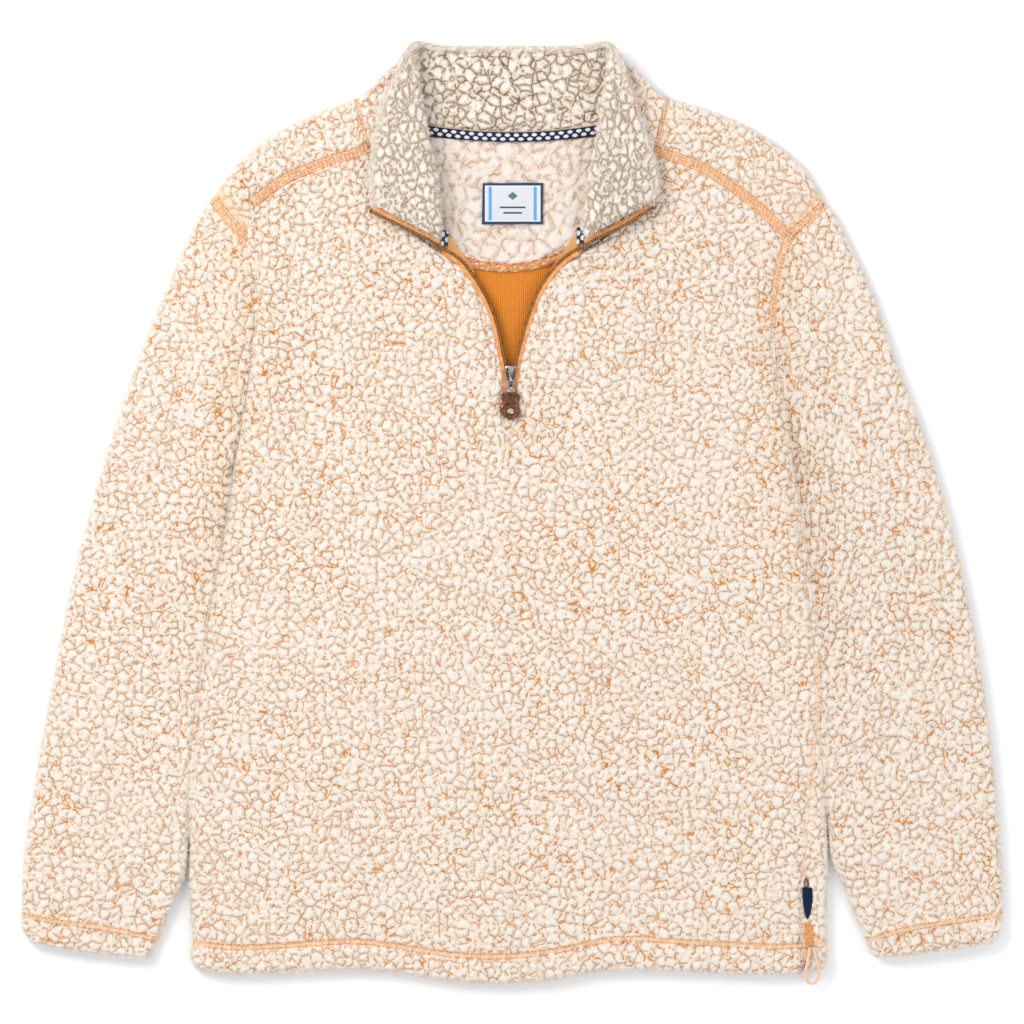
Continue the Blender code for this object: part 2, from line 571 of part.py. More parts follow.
def folded_panel(side, place, width, side_y, from_hem, level, fold, upper):
    """Grids of outer and inner points of a panel from the garment's middle to its side seam.

    place gives the plan of points from their distances to the middle. level holds those distances where
    the cloth lies level, and fold the fractions of the way round the side fold. Along the armhole the
    panel stays level and ends in a cut, so that the sleeve opens into the body.
    """
    start = FOLD_REACH if upper else -(QUARTER + 8.0)
    seam = (seam_way(side, side_y) + (SEAM_GAP / 2 if upper else -SEAM_GAP / 2))[:, None]
    way = start + (seam - start) * np.asarray(fold)[None]
    reach = float(side_fold(np.array(start), BODY_TOP, FRONT_UNDER)[0])
    opening = ease((side_y - UNDERARM_Y) / 12.0)[:, None]
    cut = reach * (1 - np.asarray(fold))[None]
    away = from_hem[:, None]

    def heights(plan):
        x, y = plan[..., 0], plan[..., 1]
        return body_top(x, y, away + np.zeros(x.shape)), body_under(x, y)

    plan = place(level)
    high, low = heights(plan)
    if not upper:
        high, low = np.zeros(high.shape), np.full(low.shape, BACK_WALL)
    level_out, level_in = rounded_end(away + np.zeros(high.shape), high, low)

    outer_in = side_fold(way, BODY_TOP, FRONT_UNDER)[0]
    high, low = heights(place(width[:, None] - outer_in * (1 - opening) - cut * opening))
    if side.sign > 0:
        high = high - 1.2 * np.exp(-((way - seam) / 2.5) ** 2) * ease((SEAM_OUT_Y - side_y) / 60)[:, None]
    outer_in, inner_in, outer_z, inner_z = side_fold(way, high, low)
    outer_plan = place(width[:, None] - outer_in * (1 - opening) - cut * opening)
    inner_plan = place(width[:, None] - inner_in * (1 - opening) - cut * opening)
    outer_z = outer_z * (1 - opening) + (high if upper else 0) * opening
    inner_z = inner_z * (1 - opening) + (low if upper else BACK_WALL) * opening
    outer_z, inner_z = rounded_end(away + np.zeros(way.shape), outer_z, inner_z)
    outer = np.concatenate([np.dstack([plan, level_out]), np.dstack([outer_plan, outer_z])], axis=1)
    inner = np.concatenate([np.dstack([plan, level_in]), np.dstack([inner_plan, inner_z])], axis=1)
    return outer, inner


def front_half(side, near, middle, fold, rows):
    """One half of the front.

    A row h runs from the hem (0) to the bottom of the slit (1), the neck seam (2) and the shoulder seam
    (3). near are distances from the centre line and middle the fractions of the level cloth beyond them.
    """
    h = np.asarray(rows, float)
    lower, slit_share, neck_share = np.clip(h, 0, 1), np.clip(h - 1, 0, 1), np.clip(h - 2, 0, 1)
    low_y = float(hem_y(CENTRE_X))
    side_low, side_high = side.edge[0][1], side.edge[-1][1]
    straight = np.stack([np.full(h.shape, CENTRE_X), low_y + (SLIT_BOTTOM - low_y) * lower], axis=1)
    centre = np.where((h <= 1)[:, None], straight, along(side.slit, slit_share))
    centre = np.where((h > 2)[:, None], along(side.neck, neck_share), centre)
    knee = side_low + SLIT_BOTTOM - low_y
    side_y = (side_low + (knee - side_low) * lower + (side.v_side_y - knee) * slit_share
              + (side_high - side.v_side_y) * neck_share)
    across = np.stack([at_height(side.edge, side_y), side_y], axis=1) - centre
    width = np.linalg.norm(across, axis=1)
    across /= width[:, None]
    from_hem = h * (SLIT_BOTTOM - low_y)

    def place(distance):
        plan = centre[:, None] + across[:, None] * distance[..., None]
        u = np.clip(distance / width[:, None], 0, 1)
        plan[..., 1] += hem_wave(side, u, from_hem[:, None])
        ends = np.array(side.shoulder[0]) * (1 - u[..., None]) + np.array(side.shoulder[-1]) * u[..., None]
        return plan + (along(side.shoulder, u) - ends) * ease(neck_share)[:, None, None]

    reach = FOLD_REACH - QUARTER + FOLD_RADIUS
    spread = near[-1] + (width[:, None] - reach - near[-1]) * np.asarray(middle)[None]
    level = np.concatenate([np.tile(near, (len(h), 1)), spread], axis=1)
    return folded_panel(side, place, width, side_y, from_hem, level, fold, True)


def make_front():
    tall = SLIT_BOTTOM - float(hem_y(CENTRE_X))
    rows = np.concatenate([np.array(ROWS_FROM_HEM) / tall, [1], 1 + np.array([0.015, 0.03, 0.06, 0.11]),
                           1 + np.linspace(0.2, 1, 8), 2 + np.array([0.25, 0.5, 0.75, 0.88, 1.0])])
    near = np.array([0.0, 1.5, 6.0])
    middle = np.array([0.2, 0.42, 0.64, 0.84, 1.0])
    fold = np.array([0.3, 0.55, 0.75, 0.9, 1.0])
    patches = [front_half(side, near, middle, fold, rows) for side in (LEFT, RIGHT)]
    return wall("front", patches, "sherpa")


def forward_seam(side, s):
    """Line the shoulder piece comes down to: the shoulder seam, and on the left the front's edge below it."""
    line = along(side.shoulder, np.linspace(0, 1, 60))
    if side.sign > 0:
        return evenly(line, s)
    y = np.linspace(side.shoulder[-1][1], side.arm_tip[1], 14)
    edge = np.stack([at_height(side.edge, y), y], axis=1)
    upper = evenly(line, np.clip(s / SHOULDER_TURN, 0, 1))
    lower = evenly(edge, np.clip((s - SHOULDER_TURN) / (1 - SHOULDER_TURN), 0, 1))
    return np.where((s < SHOULDER_TURN)[..., None], upper, lower)


def evenly(line, s):
    """Points at the fractions s of a line's length, straight between its own points."""
    reach = np.concatenate([[0.0], np.cumsum(np.linalg.norm(np.diff(line, axis=0), axis=1))])
    return np.stack([np.interp(s, reach / reach[-1], line[:, k]) for k in range(line.shape[1])], axis=-1)


def shoulder_lines(side, s):
    """Crest of the shoulder's fold at s, the unit way from it to the forward seam and how far that is."""
    crest = evenly(along(side.crest, np.linspace(0, 1, 60)), s)
    down = forward_seam(side, s) - crest
    distance = np.linalg.norm(down, axis=-1)
    return crest, down / distance[..., None], distance


def back_top(side, u):
    """Top row of the back's lower sheet: the neckline, then the line where the shoulder's fold starts."""
    s = np.clip((u - NECK_SHARE) / (1 - NECK_SHARE), 0, 1)
    crest, down, _ = shoulder_lines(side, s)
    inset = float(side_fold(np.array(SHOULDER_START), BODY_TOP, FRONT_UNDER)[0])
    shoulder = crest + down * inset
    neck_table = [(x * side.sign, y) for x, y in BACK_NECK]
    neck_table[0] = (CENTRE_X, BACK_NECK[0][1])
    first = shoulder_lines(side, np.array([0.0]))
    neck_table[-1] = tuple((first[0] + first[1] * inset)[0])
    neck = along(neck_table, np.clip(u / NECK_SHARE, 0, 1))
    return np.where((u < NECK_SHARE)[..., None], neck, shoulder)


def back_half(side, middle, fold, rows, wrap):
    """One half of the back: the sheet underneath, and the piece over the shoulder to the forward seam."""
    h = np.asarray(rows, float)
    below, above = np.clip(h, 0, 1), np.clip(h - 1, 0, 1)
    low_y = float(hem_y(CENTRE_X))
    side_low = side.edge[0][1]
    inset = float(side_fold(np.array(SHOULDER_START), BODY_TOP, FRONT_UNDER)[0])
    crest, down, _ = shoulder_lines(side, np.array([1.0]))
    corner = (crest + down * inset)[0]
    hole = np.concatenate([side.armhole[:24], corner[None]])
    under_y = side_low + (UNDERARM_Y - side_low) * below
    edge = np.stack([at_height(side.edge, under_y), under_y], axis=1)
    edge = np.where((h <= 1)[:, None], edge, evenly(hole, above))
    split = low_y + UNDERARM_Y - side_low
    centre_y = low_y + (split - low_y) * below + (BACK_NECK[0][1] - split) * above
    centre = np.stack([np.full(h.shape, CENTRE_X), centre_y], axis=1)
    across = edge - centre
    width = np.linalg.norm(across, axis=1)
    across /= width[:, None]
    from_hem = h * (SLIT_BOTTOM - low_y)

    def place(distance):
        plan = centre[:, None] + across[:, None] * distance[..., None]
        u = np.clip(distance / width[:, None], 0, 1)
        plan[..., 1] += hem_wave(side, u, from_hem[:, None])
        ends = centre[-1] * (1 - u[..., None]) + edge[-1] * u[..., None]
        return plan + (back_top(side, u) - ends) * (ease(above) ** 2)[:, None, None]

    reach = 8.0 + FOLD_RADIUS
    share = NECK_SHARE * width[-1] / (width[-1] - reach)
    turn = SHOULDER_TURN / (1 - reach / (width[-1] * (1 - NECK_SHARE)))
    beyond = np.concatenate([turn * np.asarray(middle[1]), [1.0]])
    columns = np.concatenate([share * np.asarray(middle[0]), share + (1 - share) * beyond])
    level = (width[:, None] - reach) * columns[None]
    outer, inner = folded_panel(side, place, width, edge[:, 1], from_hem, level, fold, False)

    first = len(middle[0]) - 1
    distance = np.concatenate([level[-1], width[-1] - reach * (1 - np.asarray(fold))])[first:]
    s = np.clip((distance / width[-1] - NECK_SHARE) / (1 - NECK_SHARE), 0, 1)
    crest, down, long = shoulder_lines(side, s)
    end = QUARTER + long - FOLD_RADIUS - 1.2
    way = SHOULDER_START + (end - SHOULDER_START)[None] * np.asarray(wrap)[:, None]
    outer_in = side_fold(way, BODY_TOP, FRONT_UNDER)[0]
    guess = crest[None] + down[None] * outer_in[..., None]
    x, y = guess[..., 0], guess[..., 1]
    high, low = body_top(x, y, np.full(x.shape, 400.0)), body_under(x, y)
    outer_in, inner_in, outer_z, inner_z = side_fold(way, high, low)
    over = np.dstack([crest[None] + down[None] * outer_in[..., None], outer_z])
    under = np.dstack([crest[None] + down[None] * inner_in[..., None], inner_z])
    over[0] = outer[-1, first:]
    under[0] = inner[-1, first:]
    return [(outer, inner), (over, under)]


def make_back():
    below = np.array(ROWS_FROM_HEM[:-3]) / (UNDERARM_Y - SIDE_LEFT[0][1])
    rows = np.concatenate([below, 1 + np.array([0.026, 0.052, 0.14, 0.26, 0.38, 0.5, 0.62, 0.74, 0.87, 1.0])])
    middle = (np.array([0.0, 0.3, 0.56, 0.8, 0.92, 1.0]), np.array([0.25, 0.5, 0.75, 1.0]))
    fold = np.array([0.35, 0.6, 0.75, 0.88, 1.0])
    wrap = np.linspace(0, 1, 12)
    patches = back_half(LEFT, middle, fold, rows, wrap) + back_half(RIGHT, middle, fold, rows, wrap)
    return wall("back", patches, "sherpa")


# ---------------------------------------------------------------- sleeves
def inner_line(side):
    """Inner edge of a sleeve: just outside the body down to the crotch, then its own."""
    own = np.array([p for p in side.inner if p[1] < -270], float)
    y = np.linspace(UNDERARM_Y - 1.5, own[0, 1] + 14, 40)
    beside_body = np.stack([at_height(side.edge, y) + side.sign * BODY_GAP, y], axis=1)
    return np.concatenate([beside_body, along([tuple(beside_body[-1])] + [tuple(p) for p in own],
                                              np.linspace(0.06, 1, 30))])


def sleeve_plan(side, t, w):
    """Plan of a sleeve: t from the armhole to the cuff, w from the outer edge to the inner one."""
    outer = evenly(along(side.outer, np.linspace(0, 1, 200)), t)
    inner = evenly(inner_line(side), t)
    hole = side.armhole[::-1]
    bow = evenly(hole, w) - (hole[0] * (1 - w[..., None]) + hole[-1] * w[..., None])
    fade = np.exp(-(t / BOW_FADE) ** 2)[..., None]
    plan = outer * (1 - w[..., None]) + inner * w[..., None] + bow * fade
    plan[..., 1] -= CUFF_BOW * 4 * w * (1 - w) * ease((t - 0.9) / 0.1)
    plan[..., 0] += side.sign * BODY_GAP * np.sqrt(np.clip(4 * w * (1 - w), 0, 1)) * fade[..., 0]
    return plan


def sleeve_section(way, top, wall_thick):
    """Inset from the edge and heights of the outer and inner faces round a sleeve's folded edge."""
    turn = np.clip(way / SLEEVE_FOLD, -math.pi / 2, math.pi / 2)
    level = np.maximum(np.abs(way) - SLEEVE_QUARTER, 0)
    outer_in = SLEEVE_FOLD * (1 - np.cos(turn)) + level
    inner_in = SLEEVE_FOLD - (SLEEVE_FOLD - wall_thick) * np.cos(turn) + level
    rise = np.sin(turn)
    outer_z = SLEEVE_MID + rise * np.where(way > 0, top - SLEEVE_MID, SLEEVE_MID)
    inner_z = SLEEVE_MID + rise * np.where(way > 0, top - wall_thick - SLEEVE_MID, SLEEVE_MID - wall_thick)
    return outer_in, inner_in, outer_z, inner_z


def make_sleeve(name, side):
    """A tube of cloth: rings of outer and inner points from the armhole to the cuff."""
    long = length(side.outer)
    from_end = np.array([48, 27, 19, 13, 5, 1.4, 0]) / long
    t = np.concatenate([[0, 0.018], np.linspace(0.06, 0.86, 9), 1 - from_end])
    half_top = np.array([0.0, 0.3, 0.6, 0.82, 1.0])
    fold_ways = np.array([1.0, 0.62, 0.3, 0.0, -0.4, -1.0]) * SLEEVE_QUARTER
    half_low = np.array([0.5])
    outer_rings, inner_rings = [], []
    for station in t:
        at = np.array([station])
        edges = sleeve_plan(side, at, np.array([0.0])) - sleeve_plan(side, at, np.array([1.0]))
        span = float(np.linalg.norm(edges))
        flat = span / 2 - SLEEVE_FOLD
        top_ways = SLEEVE_QUARTER + flat * (1 - half_top[:-1])
        ways = np.concatenate([top_ways, fold_ways, -(SLEEVE_QUARTER + flat * half_low)])
        from_edge = sleeve_section(ways, SLEEVE_TOP, SLEEVE_WALL)[0]
        ring = []
        for flip in (False, True):
            w = (1 - from_edge / span) if flip else from_edge / span
            plan = sleeve_plan(side, np.full(w.shape, station), w)
            away = np.full(w.shape, (1 - station) * long)
            top = sleeve_top(plan[:, 0], plan[:, 1], side, away)
            outer_in, inner_in, outer_z, inner_z = sleeve_section(ways, top, SLEEVE_WALL)
            place = np.array([outer_in, inner_in]) / span
            place = 1 - place if flip else place
            outer = sleeve_plan(side, np.full(w.shape, station), place[0])
            inner = sleeve_plan(side, np.full(w.shape, station), place[1])
            share = 0.3 + 0.7 * quarter_round(away / HEM_ROUND)
            middle = (outer + inner) / 2
            mid_z = (outer_z + inner_z) / 2
            outer = middle + (outer - middle) * share[:, None]
            inner = middle + (inner - middle) * share[:, None]
            outer_z = mid_z + (outer_z - mid_z) * share
            inner_z = mid_z + (inner_z - mid_z) * share
            ring.append((np.column_stack([outer, outer_z]), np.column_stack([inner, inner_z])))
        order = [np.concatenate([ring[0][k][::-1], ring[1][k][1:], ring[0][k][-1:]]) for k in (0, 1)]
        outer_rings.append(order[0])
        inner_rings.append(order[1])
    outer_grid = np.array(outer_rings)
    inner_grid = np.array(inner_rings)
    return wall(name, [(outer_grid, inner_grid)], "sherpa")


# ---------------------------------------------------------------- collar
def rolled_path(row, sign):
    """Middle of the collar from the neck seam, round the roll, to the top edge."""
    nx, ny, rx, ry, tx, ty, seam, rise, start, stop, fall, radius = row
    neck = np.array([sign * nx, ny])
    roll = np.array([sign * rx, ry])
    top = np.array([sign * tx, ty])
    away = (top - roll) / np.linalg.norm(top - roll)
    start, stop = math.radians(start), math.radians(stop)
    centre = roll + away * ((COLLAR_WALL + GAP / 2) * radius / ROLL_RADIUS + radius)
    centre_z = rise + radius * math.cos(start)
    turn = start + (stop - start) * PATH_ROLL
    arc = np.column_stack([centre[None] - away[None] * (radius * np.sin(turn))[:, None],
                           centre_z - radius * np.cos(turn)])
    foot = np.array([neck[0], neck[1], seam])
    tip = np.array([top[0], top[1], fall])
    stand = foot + (arc[0] - foot) * PATH_STAND[:, None]
    flap = arc[-1] + (tip - arc[-1]) * PATH_FLAP[:, None]
    sag = np.sin(PATH_FLAP * math.pi)
    flap[:, 2] += 0.6 * sag
    return np.concatenate([stand, arc, flap])


def straight_path(row, sign):
    """Middle of the collar where it stands straight, with its points spread as on the rolled part."""
    nx, ny, nz, tx, ty, tz = row
    share = np.concatenate([PATH_STAND * 0.88, 0.88 + PATH_ROLL * 0.09, 0.97 + 0.03 * PATH_FLAP])
    foot = np.array([sign * nx, ny, nz])
    tip = np.array([sign * tx, ty, tz])
    return foot + (tip - foot) * share[:, None]


def smooth_rows(grid, where):
    """Rows of a grid at these places between its own rows, on a smooth curve."""
    slope = np.gradient(grid, axis=0)
    k = np.clip(where.astype(int), 0, len(grid) - 2)
    a = (where - k)[:, None, None]
    return ((1 + 2 * a) * (1 - a) ** 2 * grid[k] + a * (1 - a) ** 2 * slope[k]
            + a * a * (3 - 2 * a) * grid[k + 1] + a * a * (a - 1) * slope[k + 1])


def collar_middle(parts):
    """Grid of the collar's middle: parts rows for each station of the rolled halves, one for the straight."""
    rows = [rolled_path(row, -1) for row in ROLLED_LEFT]
    rows += [straight_path(row, -1) for row in STRAIGHT]
    rows += [straight_path(row, 1) for row in STRAIGHT[-2::-1]]
    rows += [rolled_path(row, 1) for row in ROLLED_RIGHT[::-1]]
    last = len(rows) - 1
    rolled = len(ROLLED_LEFT)
    turned = rolled + 1
    where = np.concatenate([np.arange(0, turned * parts) / parts, np.arange(turned, last - turned),
                            last - np.arange(turned * parts, -1, -1) / parts])
    return smooth_rows(np.array(rows), where)


def grid_normals(grid):
    """Unit normals of a grid of points, towards the collar's inner layer."""
    across = np.gradient(grid, axis=0)
    along_path = np.gradient(grid, axis=1)
    normal = np.cross(across, along_path)
    return normal / np.linalg.norm(normal, axis=2)[..., None]


def corner_nearness(grid):
    """1 at the collar's upper corners, fading to 0 round them."""
    away = np.hypot(np.abs(grid[..., 0]) - COLLAR_CORNER[0], grid[..., 1] - COLLAR_CORNER[1])
    return np.exp(-(away / CORNER_PRESS_WIDTH) ** 2)


def collar_shares(grid):
    """Part of the full wall left at each point: thinner towards the seams, the top edge and both ends."""
    step = np.linalg.norm(np.diff(grid, axis=1), axis=2)
    reach = np.concatenate([np.zeros((len(grid), 1)), np.cumsum(step, axis=1)], axis=1)
    edge = np.minimum(reach, reach[:, -1:] - reach)
    step = np.linalg.norm(np.diff(grid, axis=0), axis=2)
    travel = np.concatenate([np.zeros((1, grid.shape[1])), np.cumsum(step, axis=0)], axis=0)
    end = np.minimum(travel, travel[-1:] - travel)
    low = COLLAR_SEAM_WALL / COLLAR_WALL
    share = low + (1 - low) * np.minimum(quarter_round(edge / ROUND_OFF), quarter_round(end / END_ROUND_OFF))
    x, y = np.abs(grid[..., 0]), grid[..., 1]
    near_fold = np.exp(-(distance_to(x, y, np.array(COLLAR_FOLD)) / FOLD_PRESS_WIDTH) ** 2)
    near_corner = corner_nearness(grid)
    share = np.minimum(share, 1 - (1 - FOLD_PRESS) * near_fold)
    return np.minimum(share, 1 - (1 - CORNER_PRESS) * near_corner)


def make_collar():
    grid = collar_middle(2)
    normal = grid_normals(grid)
    shares = collar_shares(grid)[..., None]
    near = GAP / 2 + 0.05 + CORNER_OPEN * corner_nearness(grid)[..., None]
    far = near + COLLAR_WALL * shares
    wall("collar_outer", [(grid - normal * far, grid - normal * near)], "sherpa")
    wall("collar_inner", [(grid + normal * far, grid + normal * near)], "collar_sherpa")


# ---------------------------------------------------------------- flat trims
def plate(name, upper_line, lower_line, low, high, finish):
    """A flat plate between two lines in plan that have as many points as each other."""
    a = np.asarray(upper_line, float)
    b = np.asarray(lower_line, float)
    low = np.broadcast_to(low, (len(a),))
    high = np.broadcast_to(high, (len(a),))
    sections = np.stack([np.column_stack([a, high]), np.column_stack([b, high]), np.column_stack([b, low]),
                         np.column_stack([a, low])], axis=1)
    return strip(name, sections, finish)


def ribbon(name, line, width, low, thick, finish, count):
    points = along(line, np.linspace(0, 1, count))
    return plate(name, beside(points, width / 2), beside(points, -width / 2), low, np.asarray(low) + thick, finish)


def make_facing():
    s = np.linspace(0, 1, 25)
    high = along(FACING_HIGH, s)
    low = along(FACING_LOW, s)
    step = high - low
    step /= np.linalg.norm(step, axis=1)[:, None]
    plate("neck_facing", high, low + step * 0.4, FACING_UNDER, FACING_TOP, "sherpa")
    band = np.linspace(0.28, 0.72, 15)
    edge = along(FACING_LOW, band)
    plate("facing_binding", beside(edge, 0.0), beside(edge, -BINDING_WIDTH), FACING_UNDER, BINDING_TOP, "thread")


def make_inner_trims():
    ribbon("neck_tape", TAPE_LINE, TAPE_WIDTH, TAPE_BASE, TAPE_THICK, "neck_tape", 13)
    for name, line, sign in (("neck_tape_end_left", TAPE_END_LEFT, -1), ("neck_tape_end_right", TAPE_END_RIGHT, 1)):
        sections = []
        for x, y in line:
            sections.append([(x + sign * 1.5, y, 18.2), (x - sign * 2.0, y, 12.8), (x - sign * 2.4, y, 13.6),
                             (x + sign * 0.9, y, 19.0)])
        strip(name, sections, "neck_tape")
    x0, y0, x1, y1 = LABEL
    plate("neck_label", [(x0, y1), (x1, y1)], [(x0, y0), (x1, y0)], LABEL_BASE, LABEL_BASE + LABEL_THICK, "label")
    for word, line, side in (("left", PLACKET_LEFT, LEFT), ("right", PLACKET_RIGHT, RIGHT)):
        s = np.linspace(0, 1, 7)
        near = along(line, s)
        zone = side.teeth[(side.teeth[:, 1] > 190.6) & (side.teeth[:, 1] < 211.0)][:, :2]
        far = evenly(zone[::-1], s)
        plate("placket_facing_" + word, near, far, PLACKET_BASE, PLACKET_BASE + PLACKET_THICK, "orange_knit")


# ---------------------------------------------------------------- zip
def zip_sections(line, inner, outer, thick, drop=0.0):
    """Sections of a bar beside the line of teeth, from inner to outer."""
    a = beside(line, inner)
    b = beside(line, outer)
    z = line[:, 2] - drop
    return np.stack([np.column_stack([a, z + thick / 2]), np.column_stack([b, z + thick / 2]),
                     np.column_stack([b, z - thick / 2]), np.column_stack([a, z - thick / 2])], axis=1)


def turn_over(line):
    """1 where the tape lies outside the teeth, -1 where the collar has turned it over, and the way between."""
    reach = np.abs(line[:, 0])
    return 1 - 2 * ease((reach - TURN_FROM) / (TURN_TO - TURN_FROM))


def make_zip():
    for word, side in (("left", LEFT), ("right", RIGHT)):
        line = along(side.zip_line, np.linspace(0, 1, 120))
        chain = line[line[:, 1] > 103.9][::4]
        tape = line[line[:, 1] > 76.0]
        straight = np.abs(np.abs(tape[:, 0]) - (TURN_FROM + TURN_TO) / 2) > 8.0
        tape = tape[~straight | (np.arange(len(tape)) % 4 == 0)]
        end = line[-1]
        way = line[-1, :2] - line[-3, :2]
        way /= np.linalg.norm(way)
        reach, wide, tall = STOP_SIZE
        tape = np.concatenate([tape, [[*(end[:2] + way * (GAP + reach)), end[2]]]])
        sections = zip_sections(chain, -TEETH_WIDTH / 2, TEETH_WIDTH / 2, TEETH_THICK)
        strip("zip_chain_" + word, sections, "antique_brass")
        out = turn_over(tape)
        drop = TAPE_DROP * np.clip((1 - out ** 2) * 4, 0, 1)
        middle = -side.sign * out * (ZIP_TAPE_FROM + ZIP_TAPE_WIDTH / 2)
        half = ZIP_TAPE_WIDTH / 2
        sections = zip_sections(tape, middle - half, middle + half, ZIP_TAPE_THICK, drop)
        strip("zip_tape_" + word, sections, "zip_tape")
        cross = np.array([-way[1], way[0]])
        sections = []
        for step in (GAP, GAP + reach):
            middle = end[:2] + way * step
            a, b = middle + cross * wide / 2, middle - cross * wide / 2
            sections.append([(*a, end[2] + tall / 2), (*b, end[2] + tall / 2), (*b, end[2] - tall / 2),
                             (*a, end[2] - tall / 2)])
        strip("zip_stop_" + word, sections, "antique_brass")
    x0, x1 = CENTRE_X - CLOSED_WIDTH / 2, CENTRE_X + CLOSED_WIDTH / 2
    z = ZIP_LEFT[0][2]
    left = [(x0, CLOSED_BOTTOM_Y), (x0, CLOSED_TOP_Y)]
    right = [(x1, CLOSED_BOTTOM_Y), (x1, CLOSED_TOP_Y)]
    plate("zip_chain_closed", left, right, z - TEETH_THICK / 2, z + TEETH_THICK / 2, "antique_brass")


def box(name, low, high, finish):
    (x0, y0, z0), (x1, y1, z1) = low, high
    return strip(name, [[(x0, y0, z0), (x1, y0, z0), (x1, y0, z1), (x0, y0, z1)],
                        [(x0, y1, z0), (x1, y1, z0), (x1, y1, z1), (x0, y1, z1)]], finish, True)


def join(target, other, how):
    """Applies a boolean to target and removes the other object."""
    change = target.modifiers.new("join", "BOOLEAN")
    change.operation = how
    change.solver = "EXACT"
    change.object = other
    bpy.context.view_layer.update()
    graph = bpy.context.evaluated_depsgraph_get()
    made = bpy.data.meshes.new_from_object(target.evaluated_get(graph))
    target.modifiers.clear()
    target.data = made
    bpy.data.objects.remove(other, do_unlink=True)


def make_slider():
    """Two plates joined by a wedge between the rows of teeth, and a loop on top that holds the pull."""
    outline = [(SLIDER_Y[0], SLIDER_WIDTH[0] / 2 * 0.8), (SLIDER_Y[0] + 1.0, SLIDER_WIDTH[0] / 2),
               (SLIDER_Y[0] + 5.0, SLIDER_WIDTH[0] / 2 + 0.2), (SLIDER_Y[0] + 10.0, SLIDER_WIDTH[1] / 2 - 0.3),
               (SLIDER_Y[1] - 1.4, SLIDER_WIDTH[1] / 2), (SLIDER_Y[1], SLIDER_WIDTH[1] / 2 * 0.75)]
    left = [(CENTRE_X - half, y) for y, half in outline]
    right = [(CENTRE_X + half, y) for y, half in outline]
    slider = plate("zip_slider", left, right, SLIDER_HIGH, SLIDER_HIGH + SLIDER_PLATE, "slider_metal")
    join(slider, plate("low", left, right, SLIDER_LOW - SLIDER_PLATE, SLIDER_LOW, "slider_metal"), "UNION")
    wedge = plate("wedge", [(CENTRE_X - WEDGE_WIDTH[0], WEDGE_Y[0]), (CENTRE_X - WEDGE_WIDTH[1], WEDGE_Y[1])],
                  [(CENTRE_X + WEDGE_WIDTH[0], WEDGE_Y[0]), (CENTRE_X + WEDGE_WIDTH[1], WEDGE_Y[1])],
                  SLIDER_LOW - 0.3, SLIDER_HIGH + 0.3, "slider_metal")
    join(slider, wedge, "UNION")
    x0, x1 = CENTRE_X - BAIL_WIDTH / 2, CENTRE_X + BAIL_WIDTH / 2
    bail = box("bail", (x0, BAIL_Y[0], SLIDER_HIGH + 0.4), (x1, BAIL_Y[1], BAIL_TOP), "slider_metal")
    join(bail, box("eye", (x0 - 1, BAIL_Y[0] + BAIL_BAR, SLIDER_HIGH - 1),
                   (x1 + 1, BAIL_Y[1] - BAIL_BAR, BAIL_TOP - BAIL_BAR), "slider_metal"), "DIFFERENCE")
    join(slider, bail, "UNION")
    return slider


def make_pull():
    """The metal tab that hangs on the slider's loop, the leather puller on it and the puller's rivet."""
    half = TAB_WIDTH / 2
    low, high = AXIS_Z - TAB_THICK / 2, AXIS_Z + TAB_THICK / 2
    tab = box("pull_tab", (CENTRE_X - half, TAB_END_Y, low), (CENTRE_X + half, AXIS_Y + TAB_BAR / 2, high),
              "slider_metal")
    eye = BAIL_WIDTH / 2 + 0.6
    join(tab, box("window", (CENTRE_X - eye, TAB_WINDOW_Y, low - 1), (CENTRE_X + eye, AXIS_Y - TAB_BAR / 2, high + 1),
                  "slider_metal"), "DIFFERENCE")
    outline = along(LEATHER, np.linspace(0, 1, 26))
    middle = CENTRE_X - 0.3
    leather = plate("pull_leather", [(middle - w, y) for y, w in outline], [(middle + w, y) for y, w in outline],
                    LEATHER_LOW, LEATHER_HIGH, "leather")
    join(leather, box("slot", (CENTRE_X - half - 0.4, TAB_END_Y - 0.4, low - 0.35),
                      (CENTRE_X + half + 0.4, 99, high + 0.35), "leather"), "DIFFERENCE")
    wide, deep, thick = RIVET_SIZE
    x, y = RIVET_CENTRE
    turn = np.linspace(0, 2 * math.pi, 25)[:-1]
    ring = lambda share, z: [(x + wide * share * math.cos(a), y + deep * share * math.sin(a), z) for a in turn]
    base = LEATHER_HIGH + 0.1
    rivet = strip("pull_rivet", [ring(1, base), ring(1, base + thick * 0.4), ring(0.8, base + thick * 0.85),
                                 ring(0.5, base + thick)], "slider_metal")
    for item in (tab, leather, rivet):
        item.data.transform(shift(-CENTRE_X, -AXIS_Y, -AXIS_Z))
        item.location = (CENTRE_X * MM, AXIS_Y * MM, AXIS_Z * MM)


def shift(x, y, z):
    return mathutils.Matrix.Translation((x * MM, y * MM, z * MM))


# ---------------------------------------------------------------- side seam trims and cord
def top_at(x, y):
    """Height of the body's top cloth at a point."""
    x, y = np.asarray(x, float), np.asarray(y, float)
    return body_top(x, y, y - hem_y(x))


def draped(name, outline, lift, thick, finish):
    """A flat piece lying on the body: outline rows are y, left x and right x."""
    rows = []
    for y, left, right in outline:
        x = np.array([left, (left + right) / 2, right])
        base = top_at(x, np.full(3, y)) + lift
        top = base + thick
        rows.append([(x[0], y, top[0] - thick * 0.25), (x[1], y, top[1]), (x[2], y, top[2] - thick * 0.25),
                     (x[2], y, base[2]), (x[1], y, base[1]), (x[0], y, base[0])])
    return strip(name, rows, finish)


